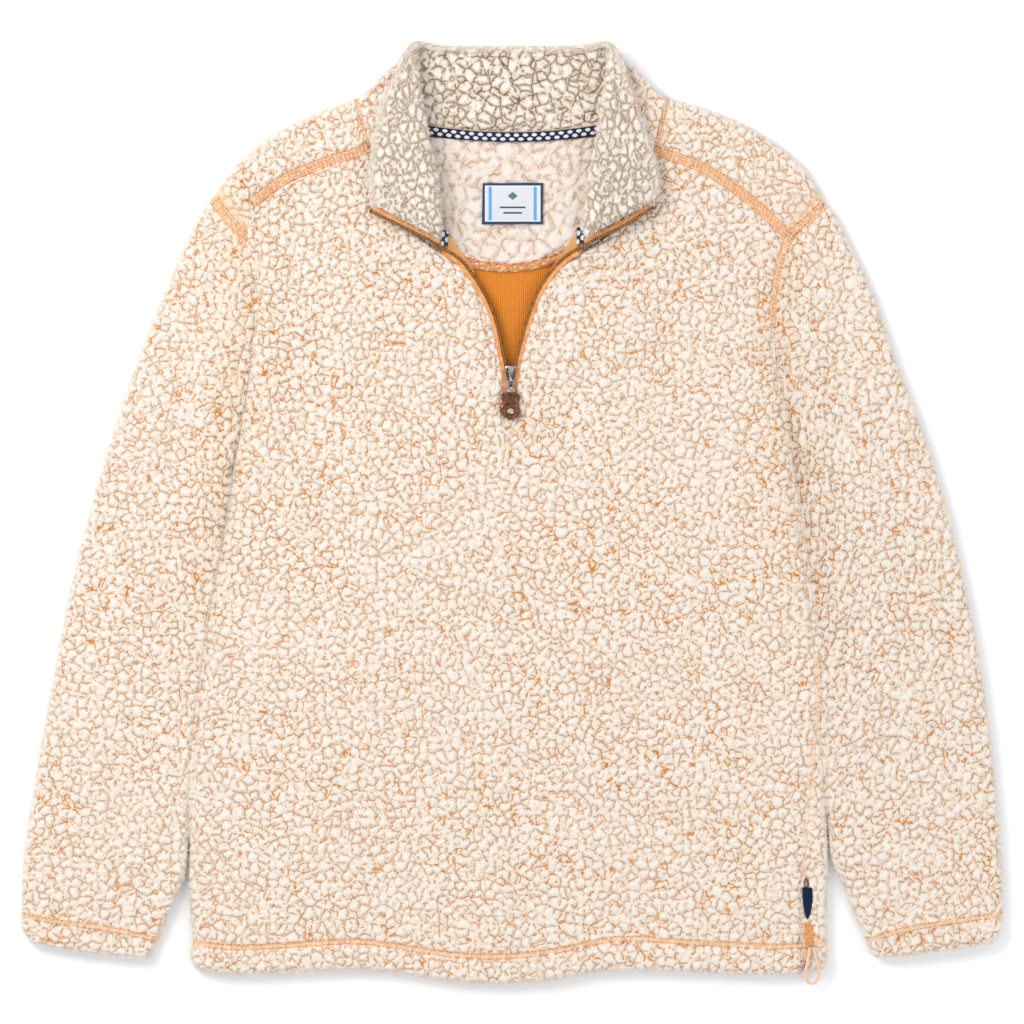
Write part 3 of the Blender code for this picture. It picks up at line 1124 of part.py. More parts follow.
def make_side_trims():
    tag = [(TAG_TOP_Y - TAG_LENGTH * s, TAG_X - half, TAG_X + half + 0.4) for s, half in TAG]
    draped("side_tag", tag, 0.35, TAG_THICK, "neck_tape")
    x, y, wide, deep = BARTACK
    oval = [(y + deep * math.sin(a), x - wide * max(math.cos(a), 0.12), x + wide * max(math.cos(a), 0.12))
            for a in np.linspace(math.pi / 2, -math.pi / 2, 13)]
    draped("cord_bartack", oval, 1.4, BARTACK_THICK, "thread")


def make_cord():
    curve = bpy.data.curves.new("hem_cord", "CURVE")
    curve.dimensions = "3D"
    curve.bevel_depth = CORD_DIAMETER / 2 * MM
    curve.bevel_resolution = 2
    curve.use_fill_caps = True
    line = curve.splines.new("POLY")
    points = evenly(along(CORD_ROUTE, np.linspace(0, 1, 200)), np.linspace(0, 1, CORD_POINTS))
    line.points.add(CORD_POINTS - 1)
    for place, point in zip(line.points, points):
        place.co = (*(point * MM), 1)
    curve.materials.append(material("cord"))
    made = bpy.data.objects.new("hem_cord", curve)
    bpy.context.scene.collection.objects.link(made)


def remove_all():
    for item in list(bpy.data.objects):
        bpy.data.objects.remove(item, do_unlink=True)


def main():
    remove_all()
    make_front()
    make_back()
    make_sleeve("sleeve_left", LEFT)
    make_sleeve("sleeve_right", RIGHT)
    make_collar()
    make_facing()
    make_inner_trims()
    make_zip()
    make_slider()
    make_pull()
    make_side_trims()
    make_cord()


main()
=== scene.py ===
# %% [markdown]
# # A sherpa fleece pullover, laid flat with its collar open
#
# The garment is a quarter-zip pullover of curly fleece. It lies on its back, the sleeves beside the body and the
# two halves of the stand collar rolled outwards. The frame has every panel as a plain closed wall. This lesson
# replaces each wall by a finer shell of the same form whose surface is broken into tufts, and makes the sewing,
# the zip and the small trims as real pieces.
#
# Left and right are the viewer's. +X is right, +Y runs from the hem to the collar and +Z comes up out of the
# cloth. Sizes are in millimetres in the tables and turn into metres when a mesh is made.

# %% Load the frame
import math

import bpy
import numpy as np
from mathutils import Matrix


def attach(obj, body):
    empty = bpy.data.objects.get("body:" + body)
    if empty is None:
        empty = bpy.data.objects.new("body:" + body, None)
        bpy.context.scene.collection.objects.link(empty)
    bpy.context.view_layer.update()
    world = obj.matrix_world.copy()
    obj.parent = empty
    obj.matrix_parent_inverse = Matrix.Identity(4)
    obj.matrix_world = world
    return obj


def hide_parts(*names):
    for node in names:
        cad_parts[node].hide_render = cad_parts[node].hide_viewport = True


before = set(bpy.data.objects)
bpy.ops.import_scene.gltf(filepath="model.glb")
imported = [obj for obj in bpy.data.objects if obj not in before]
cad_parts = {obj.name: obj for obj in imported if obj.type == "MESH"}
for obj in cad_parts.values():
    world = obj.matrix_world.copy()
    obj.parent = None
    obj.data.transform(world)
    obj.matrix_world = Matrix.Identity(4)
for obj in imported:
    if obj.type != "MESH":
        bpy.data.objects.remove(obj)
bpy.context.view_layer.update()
MM = 0.001

# %% [markdown]
# ## The camera and the light
#
# A garment laid flat is best seen from straight above. A long lens far away keeps its outline true, because
# the collar is only two centimetres nearer to it than the hem. The light is soft, from a big panel up on the
# left and a pale sky, so that each tuft has a gentle shadow side.

# %% Camera straight above
VIEW_ACROSS = 819.2
LENS = 200.0
SENSOR = 36.0
CLOTH_LEVEL = 12.0


def add_camera():
    """A camera whose distance is the width of the view times the lens over the sensor."""
    data = bpy.data.cameras.new("camera")
    data.lens = LENS
    data.sensor_width = SENSOR
    camera = bpy.data.objects.new("camera", data)
    bpy.context.scene.collection.objects.link(camera)
    camera.location = (0, 0, (CLOTH_LEVEL + VIEW_ACROSS * LENS / SENSOR) * MM)
    bpy.context.scene.camera = camera
    return camera


print("camera height in m:", round(add_camera().location.z, 3))

# %% Soft studio light and a pale floor
SKY = (0.94, 0.965, 1)
SKY_STRENGTH = 0.8
PANELS = {
    # name: place in metres, side of the square in metres, power in watts, colour
    "key": ((-1.5, 1.3, 1.9), 1.3, 42.5, (1.0, 0.975, 0.95)),
    "fill": ((1.9, -1.0, 2.2), 1.8, 20.0, (0.97, 0.985, 1.0)),
}
FLOOR_WHITE = 0.93


def add_panel(name, place, side, power, colour):
    light = bpy.data.lights.new(name, "AREA")
    light.size = side
    light.energy = power
    light.color = colour
    lamp = bpy.data.objects.new(name, light)
    bpy.context.scene.collection.objects.link(lamp)
    lamp.location = place
    lamp.rotation_mode = "QUATERNION"
    lamp.rotation_quaternion = (-lamp.location).to_track_quat("-Z", "Y")


def add_sky():
    world = bpy.data.worlds.new("studio")
    bpy.context.scene.world = world
    world.use_nodes = True
    world.node_tree.nodes["Background"].inputs["Color"].default_value = (*SKY, 1)
    world.node_tree.nodes["Background"].inputs["Strength"].default_value = SKY_STRENGTH


def add_floor():
    mesh = bpy.data.meshes.new("floor")
    half, level = 6.0, -0.0004
    mesh.from_pydata([(-half, -half, level), (half, -half, level), (half, half, level), (-half, half, level)],
                     [], [(0, 1, 2, 3)])
    paper = bpy.data.materials.new("paper")
    paper.use_nodes = True
    shader = paper.node_tree.nodes["Principled BSDF"]
    shader.inputs["Base Color"].default_value = (FLOOR_WHITE, FLOOR_WHITE, FLOOR_WHITE, 1)
    shader.inputs["Roughness"].default_value = 0.9
    mesh.materials.append(paper)
    floor = bpy.data.objects.new("floor", mesh)
    bpy.context.scene.collection.objects.link(floor)


for panel_name, settings in PANELS.items():
    add_panel(panel_name, *settings)
add_sky()
add_floor()
bpy.context.scene.view_settings.view_transform = "Standard"
print("light panels:", len(PANELS))

# %% [markdown]
# ## The cut of the body
#
# A pattern maker keeps each edge of a panel as a short list of points and draws a smooth line through them.
# The same lists serve the frame and this lesson, so the cloth lands exactly on its walls. Heights come next:
# the back lies on the table, the front on the back, and the collar and its facing lift the cloth round the neck.

# %% Heights and walls of the cloth
# GAP lies between the collar's two layers, and SEAM_GAP between the front and the back at the side seam.
GAP = 0.3
SEAM_GAP = 0.6
BACK_WALL = 4.8
FRONT_UNDER = 6.0
BODY_TOP = 13.0
SLEEVE_TOP = 12.2
FOLD_MID = 5.4
FOLD_RADIUS = 7.0
FOLD_WALL = 5.6
FOLD_REACH = 26.0
QUARTER = FOLD_RADIUS * math.pi / 2
SHOULDER_START = -(QUARTER + 6.0)
NECK_RISE = 3.1
TOP_RISE_SHARE = 0.5
NECK_CENTRE = (0, 250)
NECK_RISE_FROM = 190.0
NECK_RISE_TO = 130.0
HEM_BAND = 20.5
HEM_BULGE = 1.4
HEM_ROUND = 5.0
CENTRE_X = -1.0

# %% Edges of the body
# Side of the body and armhole, from the hem up to the end of the shoulder seam: x, y.
SIDE_LEFT = [(-253.6, -365), (-257, -357), (-256.4, -345), (-258.7, -295), (-257, -230),
             (-254.1, -181), (-244.8, -112), (-230.8, -27), (-223.7, 19), (-213, 79),
             (-206.4, 129), (-204.3, 168), (-205.2, 195), (-208, 213), (-207.4, 248)]
SIDE_RIGHT = [(250.8, -365), (253.6, -357), (252.6, -345), (253.2, -283), (250.8, -216),
              (246.9, -156), (243.8, -112), (232.8, -26), (226, 19), (217, 79),
              (209.4, 124), (207.9, 152), (211.4, 184), (216.4, 206), (222.5, 219.9)]
# Hem edge of the whole body: x, y.
HEM_EDGE = [(-253.6, -365), (-238, -368.2), (-196, -369.4), (-160, -367.2), (-122, -366.2),
            (-92, -368.1), (-57, -374.2), (-22, -377.1), (6, -376.9), (28, -375),
            (62, -368.8), (98, -366.6), (142, -367.9), (187, -370.1), (219, -369.4), (250.8, -365)]
# Line of the zip teeth, from the bottom stop to the top of the collar: x, y, z.
ZIP_LEFT = [(-2.1, 66, 11), (-2.1, 80, 11), (-2.1, 92, 11), (-2.2, 101, 11),
            (-4.6, 115.2, 11), (-6.4, 124.2, 11.6), (-9.9, 142, 11.8), (-14.4, 158.1, 12),
            (-21.6, 174.2, 12.2), (-30.5, 188.4, 12.4),
            (-41.2, 201.8, 13.4), (-53.7, 209.8, 17), (-66.2, 217, 20), (-89.4, 228.6, 20.2),
            (-110.8, 239.4, 20.2)]
ZIP_RIGHT = [(0.1, 66, 11), (0.1, 80, 11), (0.1, 92, 11), (0.2, 101, 11),
             (2.6, 117, 11), (4.2, 124.2, 11.4), (8.6, 142, 11.8), (13.6, 158.6, 12),
             (20, 175, 12.2), (30, 191.4, 12.4),
             (41, 202.8, 13.4), (53.4, 210.8, 17), (67.8, 217.8, 20), (91, 229.5, 20.2),
             (110.6, 242, 20.2)]
CLOTH_FROM_TEETH = 4.0
SLIT_BOTTOM = 62.0
SLIT_ROUND = 9.0
# Neck seam of the front, from the zip to the shoulder, and the shoulder edge of the neck: x, y.
NECK_LEFT = [(-56, 206.2), (-68, 214.5), (-83, 227.5), (-96, 246), (-106, 268), (-113.4, 290)]
NECK_RIGHT = [(55.6, 207), (68, 214.5), (83, 227.5), (96, 246), (106, 268), (113.6, 289)]
# Forward shoulder seam, from the neck to the armhole, and the top of the shoulder's fold: x, y.
SHOULDER_LEFT = [(-113.4, 290), (-150, 279.5), (-183.5, 265.3), (-207.4, 248)]
SHOULDER_RIGHT = [(113.6, 289), (155, 274), (192, 248.1), (222.5, 219.9)]
CREST_LEFT = [(-124.3, 331.4), (-161.6, 317.2), (-193.2, 301.2), (-213.8, 284.6), (-229, 268.1), (-240, 252)]
CREST_RIGHT = [(124.3, 332.2), (157.8, 321.6), (179.2, 313.8), (200.7, 302.3), (219.2, 289.5), (236.4, 273.8),
               (250.7, 248)]
# End of the shoulder piece at the armhole, where it meets the side of the front.
ARM_TIP_LEFT = (-208, 213)
ARM_TIP_RIGHT = (222.5, 219.9)
BACK_NECK = [(0, 300), (35, 301.4), (68, 305), (95, 310), (112, 315.4), (121, 318.8)]
NECK_SHARE = 0.48
SHOULDER_TURN = 0.78
UNDERARM_Y = 19.0
SEAM_OUT_Y = -95.0
SEAM_IN = 19.0

# %% Edges of the sleeves
OUTER_LEFT = [(-240.8, 251.2), (-246.5, 243), (-259, 222), (-270.4, 194.8), (-300.5, 120.4), (-323.7, 50.8),
              (-349.3, -42), (-367.8, -134.8), (-384.1, -228), (-392.4, -295), (-392.6, -320),
              (-392.2, -334), (-386.5, -344)]
INNER_LEFT = [(-224.3, 18.6), (-231.3, -27), (-245.3, -112), (-254.6, -181), (-257.6, -230),
              (-260.4, -284), (-273, -318.4), (-281.4, -338), (-289.5, -356.6)]
OUTER_RIGHT = [(251.6, 247.2), (257.6, 239.6), (268.5, 219), (290.7, 170.9), (306.4, 125.2), (334.3, 50.8),
               (357.5, -33), (373.8, -111.9), (385.4, -195.4), (391.9, -270), (393.4, -320),
               (392.4, -334), (386, -344.4)]
INNER_RIGHT = [(226.5, 18.6), (233.4, -26), (244.4, -112), (247.5, -156), (251.4, -216), (254.6, -272),
               (267.9, -305.8), (279, -334), (290, -356.4)]
SLEEVE_WALL = 5.0
SLEEVE_FOLD = 6.4
SLEEVE_QUARTER = SLEEVE_FOLD * math.pi / 2
SLEEVE_MID = 5.6
BODY_GAP = 1.0
CUFF_BOW = 2.2
CUFF_BAND = 19.0
BOW_FADE = 0.22

# %% Stations of the collar
COLLAR_WALL = 4.0
COLLAR_SEAM_WALL = 2.0
ROLL_RADIUS = 6.0
ROUND_OFF = 5.0
END_ROUND_OFF = 14.0
# Stations of the opened front half, from the zip to the shoulder. The columns are x and y of the neck seam, of the
# roll and of the top edge, with x outwards on both sides, then the height of the cloth's middle at the neck seam and
# where it starts to roll, the angles in degrees from which and to which it rolls, the height of the top edge and the
# roll's radius.
ROLLED_RIGHT = [
    (57.6, 213, 56.2, 217.2, 110.2, 247.6, 12.6, 14.2, 50, 180, 21.6, 6.6),
    (68, 216.4, 56.4, 227.2, 117.4, 255, 13, 14.2, 26, 182, 21.8, 6.6),
    (82.4, 229.4, 57.4, 243, 117.6, 270, 13.2, 14.2, 8, 182, 22, 6.2),
    (95, 247.4, 60.8, 266, 113.4, 287, 13.2, 14.4, 0, 182, 22.6, 6),
    (105, 268.8, 65.2, 289, 107, 304, 13.2, 14.6, 0, 182, 23.6, 6),
    (112.2, 289.6, 68.6, 311, 101.2, 322, 13, 14.8, 0, 181, 24.4, 6),
    (117.2, 309, 71.4, 333, 95.2, 340.6, 12.8, 15, 0, 178, 25, 5.8),
    (119.6, 319.6, 73, 351, 88.2, 355.2, 12.4, 14.8, 0, 166, 24.2, 5),
    (120.6, 324, 74.2, 360.5, 87, 362.6, 12, 12.6, 0, 147, 20.2, 4.1),
    (121, 326.6, 73.6, 365.7, 78.5, 367.5, 13.8, 13.8, 0, 96, 22.3, 3.9),
]
ROLLED_LEFT = [
    (57.8, 213, 54.8, 216.4, 110.2, 245.4, 12.6, 14.2, 50, 180, 21.6, 6.6),
    (68, 216.4, 54.8, 225, 113.8, 254, 13, 14.2, 26, 182, 21.8, 6.6),
    (82.4, 229.4, 55.6, 242, 114.2, 270, 13.2, 14.2, 8, 182, 22, 6.2),
    (95, 247.4, 58.6, 266, 112.4, 287, 13.2, 14.4, 0, 182, 22.6, 6),
    (105, 268.8, 63.6, 289, 108.8, 304, 13.2, 14.6, 0, 182, 23.6, 6),
    (112.2, 290.4, 68, 311, 104.6, 322, 13, 14.8, 0, 181, 24.4, 6),
    (117.4, 309, 71.4, 333, 98.6, 339.6, 12.8, 15, 0, 178, 25, 5.8),
    (119.8, 319.6, 73.4, 351, 89.2, 354.2, 12.4, 14.8, 0, 166, 24.2, 5),
    (120.8, 324, 74.8, 360.5, 87.6, 362.4, 12, 12.6, 0, 147, 20.2, 4.1),
    (121.2, 326.6, 74.2, 365.7, 79.1, 367.5, 13.8, 13.8, 0, 96, 22.3, 3.9),
]
# Stations that stand straight, from the shoulder's fold to the middle of the back: neck and top, x, y, z.
STRAIGHT = [
    (122.9, 329.1, 10.8, 78.6, 373.7, 11.9),
    (119.5, 327.7, 6, 76.5, 371.9, 6.2),
    (107, 317.2, 4.8, 66, 375.4, 4.8),
    (68, 306, 4.8, 42, 372.6, 4.8),
    (0, 301, 4.8, 0, 370.6, 4.8),
]
# The collar's fold over the shoulder, where its pile is pressed to FOLD_PRESS of its height.
COLLAR_FOLD = [(121, 329), (77, 372)]
FOLD_PRESS = 0.39
FOLD_PRESS_WIDTH = 14.0
COLLAR_CORNER = (80, 367)
CORNER_PRESS = 0.17
CORNER_PRESS_WIDTH = 12.0
CORNER_OPEN = 0.32

# %% Grooves and soft folds
SEAM_GROOVE = 2.4
ARMHOLE_GROOVE = 3.6
SLIT_GROOVE = 2.6
HEM_GROOVE = 1.9
# Soft folds of the body: x, y of one end, x, y of the other, half-width, height (below zero for a valley).
FOLDS = [
    (-172, 245, -150, -20, 24, -2.4),
    (-192, 215, -198, 40, 14, 1.3),
    (70, -60, 170, -150, 34, 1.2),
    (-60, -190, 120, -250, 40, -0.9),
    (110, 235, 128, 120, 26, -1.5),
    (-120, -120, -160, -300, 34, 1),
    (185, 150, 205, -40, 20, 0.9),
    (20, 40, 60, -120, 46, 0.8),
]
# Soft folds of the sleeves, in the same columns.
SLEEVE_FOLDS = [
    (-262, 150, -268, 30, 18, -1.6),
    (-300, -20, -330, -170, 26, 1.1),
    (-290, -190, -345, -280, 24, -0.9),
    (262, 150, 266, 20, 18, -1.5),
    (302, -10, 335, -150, 26, 1),
    (300, -200, 352, -270, 24, -0.9),
]

# %% [markdown]
# ## Lines and profiles
#
# A few small tools draw everything, such as a smooth line through a table, an even walk along a line, the distance
# to a line, a soft step that starts and ends level, and a quarter round for edges that turn over.

# %% Curve helpers
def ramp(count):
    """Numbers from 0 to 1, evenly spaced."""
    return np.linspace(0, 1, count)


def walked(line):
    """Length walked along a line up to each of its points."""
    return np.concatenate([[0.0], np.cumsum(np.linalg.norm(np.diff(line, axis=0), axis=1))])


def xyz(x, y, z):
    """Rows of x, y, z, each of them a list or one number for all rows."""
    return np.column_stack(np.broadcast_arrays(x, y, z))


def raised(plan, z):
    """The points of a plan at the height z."""
    return xyz(plan[:, 0], plan[:, 1], z)


def smooth_between(p, slope, k, a, span=1.0):
    """The cubic between p[k] and p[k + 1] at the share a that has the given slopes at both ends."""
    return ((1 + 2 * a) * (1 - a) ** 2 * p[k] + a * (1 - a) ** 2 * span * slope[k]
            + a * a * (3 - 2 * a) * p[k + 1] + a * a * (a - 1) * span * slope[k + 1])


def along(table, t):
    """Points at the fractions t of a smooth line through the table's rows, by chord length."""
    p = np.array(table, float)
    s = walked(p)
    s /= s[-1]
    t = np.asarray(t, float)
    k = np.clip(np.searchsorted(s, t, side="right") - 1, 0, len(s) - 2)
    span = (s[k + 1] - s[k])[..., None]
    return smooth_between(p, np.gradient(p, s, axis=0), k, (t - s[k])[..., None] / span, span)


def at_height(table, y):
    """x of a smooth line x, y at the heights y."""
    dense = along(table, ramp(400))
    order = np.argsort(dense[:, 1])
    return np.interp(y, dense[order, 1], dense[order, 0])


def length(table):
    """Length of the smooth line through a table's rows."""
    return float(walked(along(table, ramp(400)))[-1])


def ease(t):
    """0 to 1 and level at both ends."""
    t = np.clip(t, 0, 1)
    return t * t * (3 - 2 * t)


def quarter_round(t):
    """0 to 1 as the height along a quarter of a circle."""
    t = np.clip(t, 0, 1)
    return np.sqrt(t * (2 - t))


def distance_to(x, y, line):
    """Distance in plan from each point to a line given by its points."""
    p = np.stack([np.ravel(x), np.ravel(y)], axis=1)
    a = line[:-1]
    b = line[1:]
    ab = b - a
    t = np.einsum("nkc,kc->nk", p[:, None] - a[None], ab) / np.einsum("kc,kc->k", ab, ab)
    foot = a[None] + np.clip(t, 0, 1)[..., None] * ab[None]
    return np.min(np.linalg.norm(p[:, None] - foot, axis=2), axis=1).reshape(np.shape(x))


def beside(line, distance):
    """The line moved sideways in plan, to its left for a distance above zero. distance may vary along it."""
    step = np.gradient(line[:, :2], axis=0)
    step /= np.linalg.norm(step, axis=1)[:, None]
    moved = line[:, :2].copy()
    moved[:, 0] -= step[:, 1] * distance
    moved[:, 1] += step[:, 0] * distance
    return moved

# %% Walk along a line
def evenly(line, s):
    """Points at the fractions s of a line's length, straight between its own points."""
    reach = walked(line)
    return np.stack([np.interp(s, reach / reach[-1], line[:, k]) for k in range(line.shape[1])], axis=-1)


def smoothed(values, half):
    """Each value as the mean of itself and half as many neighbours on either side."""
    return np.convolve(np.pad(values, half, mode="edge"), np.ones(2 * half + 1) / (2 * half + 1), "valid")

# %% Left and right side of the garment
class Side:
    """Tables of one side. sign is -1 on the left and 1 on the right."""

    def __init__(self, word, sign, **tables):
        self.word, self.sign = word, sign
        vars(self).update(tables)
        self.v_side_y = 190.0 if sign < 0 else 172.0
        self.teeth = along(self.zip_line, ramp(200))
        self.slit = self.slit_edge()
        self.armhole = self.armhole_line()

    def slit_edge(self):
        """Edge of the cloth beside the zip, from the bottom of the slit to the neck seam."""
        line = beside(self.teeth, -self.sign * CLOTH_FROM_TEETH)
        end = np.array(self.neck[0])
        last = int(np.argmin(np.linalg.norm(line - end, axis=1)))
        line = line[:last + 1]
        line[-1] = end
        start = np.array([[CENTRE_X, SLIT_BOTTOM]])
        line = np.concatenate([start, line])
        line[:, 0] = CENTRE_X + (line[:, 0] - CENTRE_X) * quarter_round((line[:, 1] - SLIT_BOTTOM) / SLIT_ROUND)
        return line[::6] if (len(line) - 1) % 6 == 0 else np.concatenate([line[::6], line[-1:]])

    def armhole_line(self):
        """Armhole from the underarm up to the crest of the shoulder."""
        y = np.linspace(UNDERARM_Y, self.arm_tip[1], 24)
        low = np.stack([at_height(self.edge, y), y], axis=1)
        share = ramp(8)[1:, None]
        high = np.array(self.arm_tip) * (1 - share) + np.array(self.crest[-1]) * share
        return np.concatenate([low, high])


LEFT = Side("left", -1, edge=SIDE_LEFT, zip_line=ZIP_LEFT, neck=NECK_LEFT, shoulder=SHOULDER_LEFT, crest=CREST_LEFT,
            arm_tip=ARM_TIP_LEFT, outer=OUTER_LEFT, inner=INNER_LEFT)
RIGHT = Side("right", 1, edge=SIDE_RIGHT, zip_line=ZIP_RIGHT, neck=NECK_RIGHT, shoulder=SHOULDER_RIGHT,
             crest=CREST_RIGHT, arm_tip=ARM_TIP_RIGHT, outer=OUTER_RIGHT, inner=INNER_RIGHT)

# %% [markdown]
# ## The lie of the cloth
#
# Laid cloth is never flat. Long soft folds cross it, each seam pulls a groove into it, and the doubled hem is
# plump. Each of these is a height worked out from the distance to a line, and the heights are added up.
# At the sides the cloth turns over a fold: its section is a quarter of an ellipse up to the top.

# %% Height of the top cloth
def soft_folds(x, y, table):
    """Sum of long soft bumps: each is the bell of the distance to its line, fading over its ends."""
    total = np.zeros(np.shape(x))
    for x0, y0, x1, y1, half, height in table:
        line = np.array([[x0, y0], [(x0 + x1) / 2 + half * 0.2, (y0 + y1) / 2], [x1, y1]], float)
        total += height * np.exp(-(distance_to(x, y, line) / half) ** 2 * 1.6)
    return total


def neck_rise(x, y):
    """How far the front is lifted by the facing and the collar under it."""
    away = np.hypot(x - NECK_CENTRE[0], y - NECK_CENTRE[1])
    return NECK_RISE * ease((NECK_RISE_FROM - away) / (NECK_RISE_FROM - NECK_RISE_TO))


def groove(x, y, line, depth, flat, width):
    """Depth of a sewn groove: level for flat beside the line, then up a quarter round of that width."""
    return depth * (1 - quarter_round((distance_to(x, y, line) - flat) / width))


def body_grooves(x, y):
    """Deepest of the seams' grooves at each point of the body's top cloth."""
    found = [np.zeros(np.shape(x))]
    for side in (LEFT, RIGHT):
        found.append(groove(x, y, along(side.shoulder, ramp(12)), SEAM_GROOVE, 3.5, 4.0))
        found.append(groove(x, y, side.armhole, ARMHOLE_GROOVE, 0.0, 7.0))
        found.append(groove(x, y, side.slit, SLIT_GROOVE, 0.0, 5.0))
        found.append(groove(x, y, np.array([side.crest[0], side.neck[-1]]), SEAM_GROOVE, 1.0, 5.0))
        found.append(groove(x, y, along(side.neck, ramp(12)), SEAM_GROOVE, 0.0, 5.0))
    return np.maximum.reduce(found)


def hem_profile(away, band):
    """Lift of the doubled hem, from the distance to its edge: a plump band with a stitched groove above it."""
    plump = HEM_BULGE * ease(away / 4) * (1 - ease((away - band + 5) / 5))
    stitched = HEM_GROOVE * np.exp(-((away - band) / 3.2) ** 2)
    return plump - stitched


def body_top(x, y, hem_away):
    """Top of the front: its level, plus folds, the rise round the neck and the plump hem, less the grooves."""
    return (BODY_TOP + soft_folds(x, y, FOLDS) + TOP_RISE_SHARE * neck_rise(x, y) - body_grooves(x, y)
            + hem_profile(hem_away, HEM_BAND))


def body_under(x, y):
    """Underside of the front, which lies on the back and rises over the facing and the collar."""
    return FRONT_UNDER + neck_rise(x, y)


def sleeve_top(x, y, side, cuff_away):
    """Top of a sleeve: its level, plus folds and the plump cuff, less the groove of the armhole."""
    return (SLEEVE_TOP + soft_folds(x, y, SLEEVE_FOLDS) + TOP_RISE_SHARE * neck_rise(x, y)
            - groove(x, y, side.armhole, ARMHOLE_GROOVE, 0.0, 7.0) + hem_profile(cuff_away, CUFF_BAND))


def rounded_end(away, high, low):
    """Heights of the two faces of a wall whose end is rounded over HEM_ROUND."""
    share = 0.22 + 0.78 * quarter_round(away / HEM_ROUND)
    middle = (high + low) / 2
    return middle + (high - middle) * share, middle + (low - middle) * share


def side_fold(way, top, under):
    """Section of the wall round a side fold.

    way is the distance round the fold from its outermost point, over the top above zero and underneath
    below zero. Returns how far in the outer and inner faces lie, and their heights: a quarter ellipse
    up to the top or down to the table, then level.
    """
    turn = np.clip(way / FOLD_RADIUS, -math.pi / 2, math.pi / 2)
    level = np.maximum(np.abs(way) - QUARTER, 0)
    outer_in = FOLD_RADIUS * (1 - np.cos(turn)) + level
    inner_in = FOLD_RADIUS - (FOLD_RADIUS - FOLD_WALL) * np.cos(turn) + level
    rise = np.sin(turn)
    outer_z = FOLD_MID + rise * np.where(way > 0, top - FOLD_MID, FOLD_MID)
    inner_z = FOLD_MID + rise * np.where(way > 0, under - FOLD_MID, FOLD_MID - BACK_WALL)
    return outer_in, inner_in, outer_z, inner_z


def seam_way(side, y):
    """Where the side seam lies round the fold: at its edge on the left, drawn over the top on the right."""
    if side.sign < 0:
        return np.zeros(np.shape(y))
    return (QUARTER + SEAM_IN - FOLD_RADIUS) * ease((SEAM_OUT_Y - y) / 200.0)

# %% [markdown]
# ## Where each panel lies
#
# A panel is a grid. One number runs up the garment and one runs from its middle to its side seam. For each
# crossing the functions give a point of the outer face and one of the inner face of the cloth.

# %% Grid of the front
def hem_y(x):
    """The hem's edge at x."""
    dense = along(HEM_EDGE, ramp(300))
    return np.interp(x, dense[:, 0], dense[:, 1])


def hem_wave(side, u, from_hem):
    """How far the hem's edge leaves the straight line from centre to side, fading above the hem."""
    low = hem_y(CENTRE_X)
    corner = side.edge[0]
    x = CENTRE_X + (corner[0] - CENTRE_X) * u
    wave = hem_y(x) - (low + (corner[1] - low) * u)
    return wave * np.exp(-np.maximum(from_hem - HEM_BAND, 0) / 70.0)


def placer(side, centre, across, width, from_hem, top, corners, share):
    """Gives the function from distances to places in plan.

    A row is straight from centre along across. The hem's wave is added low down, and a share of the line top
    high up, where top leaves the straight line between its two corners.
    """
    def place(distance):
        plan = centre[:, None] + across[:, None] * distance[..., None]
        u = np.clip(distance / width[:, None], 0, 1)
        plan[..., 1] += hem_wave(side, u, from_hem[:, None])
        ends = corners[0] * (1 - u[..., None]) + corners[1] * u[..., None]
        return plan + (top(u) - ends) * share[:, None, None]

    return place


def folded_panel(side, place, width, side_y, from_hem, level, fold, upper):
    """Grids of outer and inner points of a panel from the garment's middle to its side seam.

    place gives the plan of points from their distances to the middle. level holds those distances where
    the cloth lies level, and fold the fractions of the way round the side fold. Along the armhole the
    panel stays level and ends in a cut, so that the sleeve opens into the body.
    """
    start = FOLD_REACH if upper else -(QUARTER + 8.0)
    seam = (seam_way(side, side_y) + (SEAM_GAP / 2 if upper else -SEAM_GAP / 2))[:, None]
    way = start + (seam - start) * np.asarray(fold)[None]
    reach = float(side_fold(np.array(start), BODY_TOP, FRONT_UNDER)[0])
    opening = ease((side_y - UNDERARM_Y) / 12.0)[:, None]
    cut = reach * (1 - np.asarray(fold))[None]
    away = from_hem[:, None]

    def heights(plan):
        x, y = plan[..., 0], plan[..., 1]
        return body_top(x, y, away + np.zeros(x.shape)), body_under(x, y)

    plan = place(level)
    high, low = heights(plan)
    if not upper:
        high, low = np.zeros(high.shape), np.full(low.shape, BACK_WALL)
    level_out, level_in = rounded_end(away + np.zeros(high.shape), high, low)

    outer_in = side_fold(way, BODY_TOP, FRONT_UNDER)[0]
    high, low = heights(place(width[:, None] - outer_in * (1 - opening) - cut * opening))
    if side.sign > 0:
        high = high - 1.2 * np.exp(-((way - seam) / 2.5) ** 2) * ease((SEAM_OUT_Y - side_y) / 60)[:, None]
    outer_in, inner_in, outer_z, inner_z = side_fold(way, high, low)
    outer_plan = place(width[:, None] - outer_in * (1 - opening) - cut * opening)
    inner_plan = place(width[:, None] - inner_in * (1 - opening) - cut * opening)
    outer_z = outer_z * (1 - opening) + (high if upper else 0) * opening
    inner_z = inner_z * (1 - opening) + (low if upper else BACK_WALL) * opening
    outer_z, inner_z = rounded_end(away + np.zeros(way.shape), outer_z, inner_z)
    outer = np.concatenate([np.dstack([plan, level_out]), np.dstack([outer_plan, outer_z])], axis=1)
    inner = np.concatenate([np.dstack([plan, level_in]), np.dstack([inner_plan, inner_z])], axis=1)
    return outer, inner


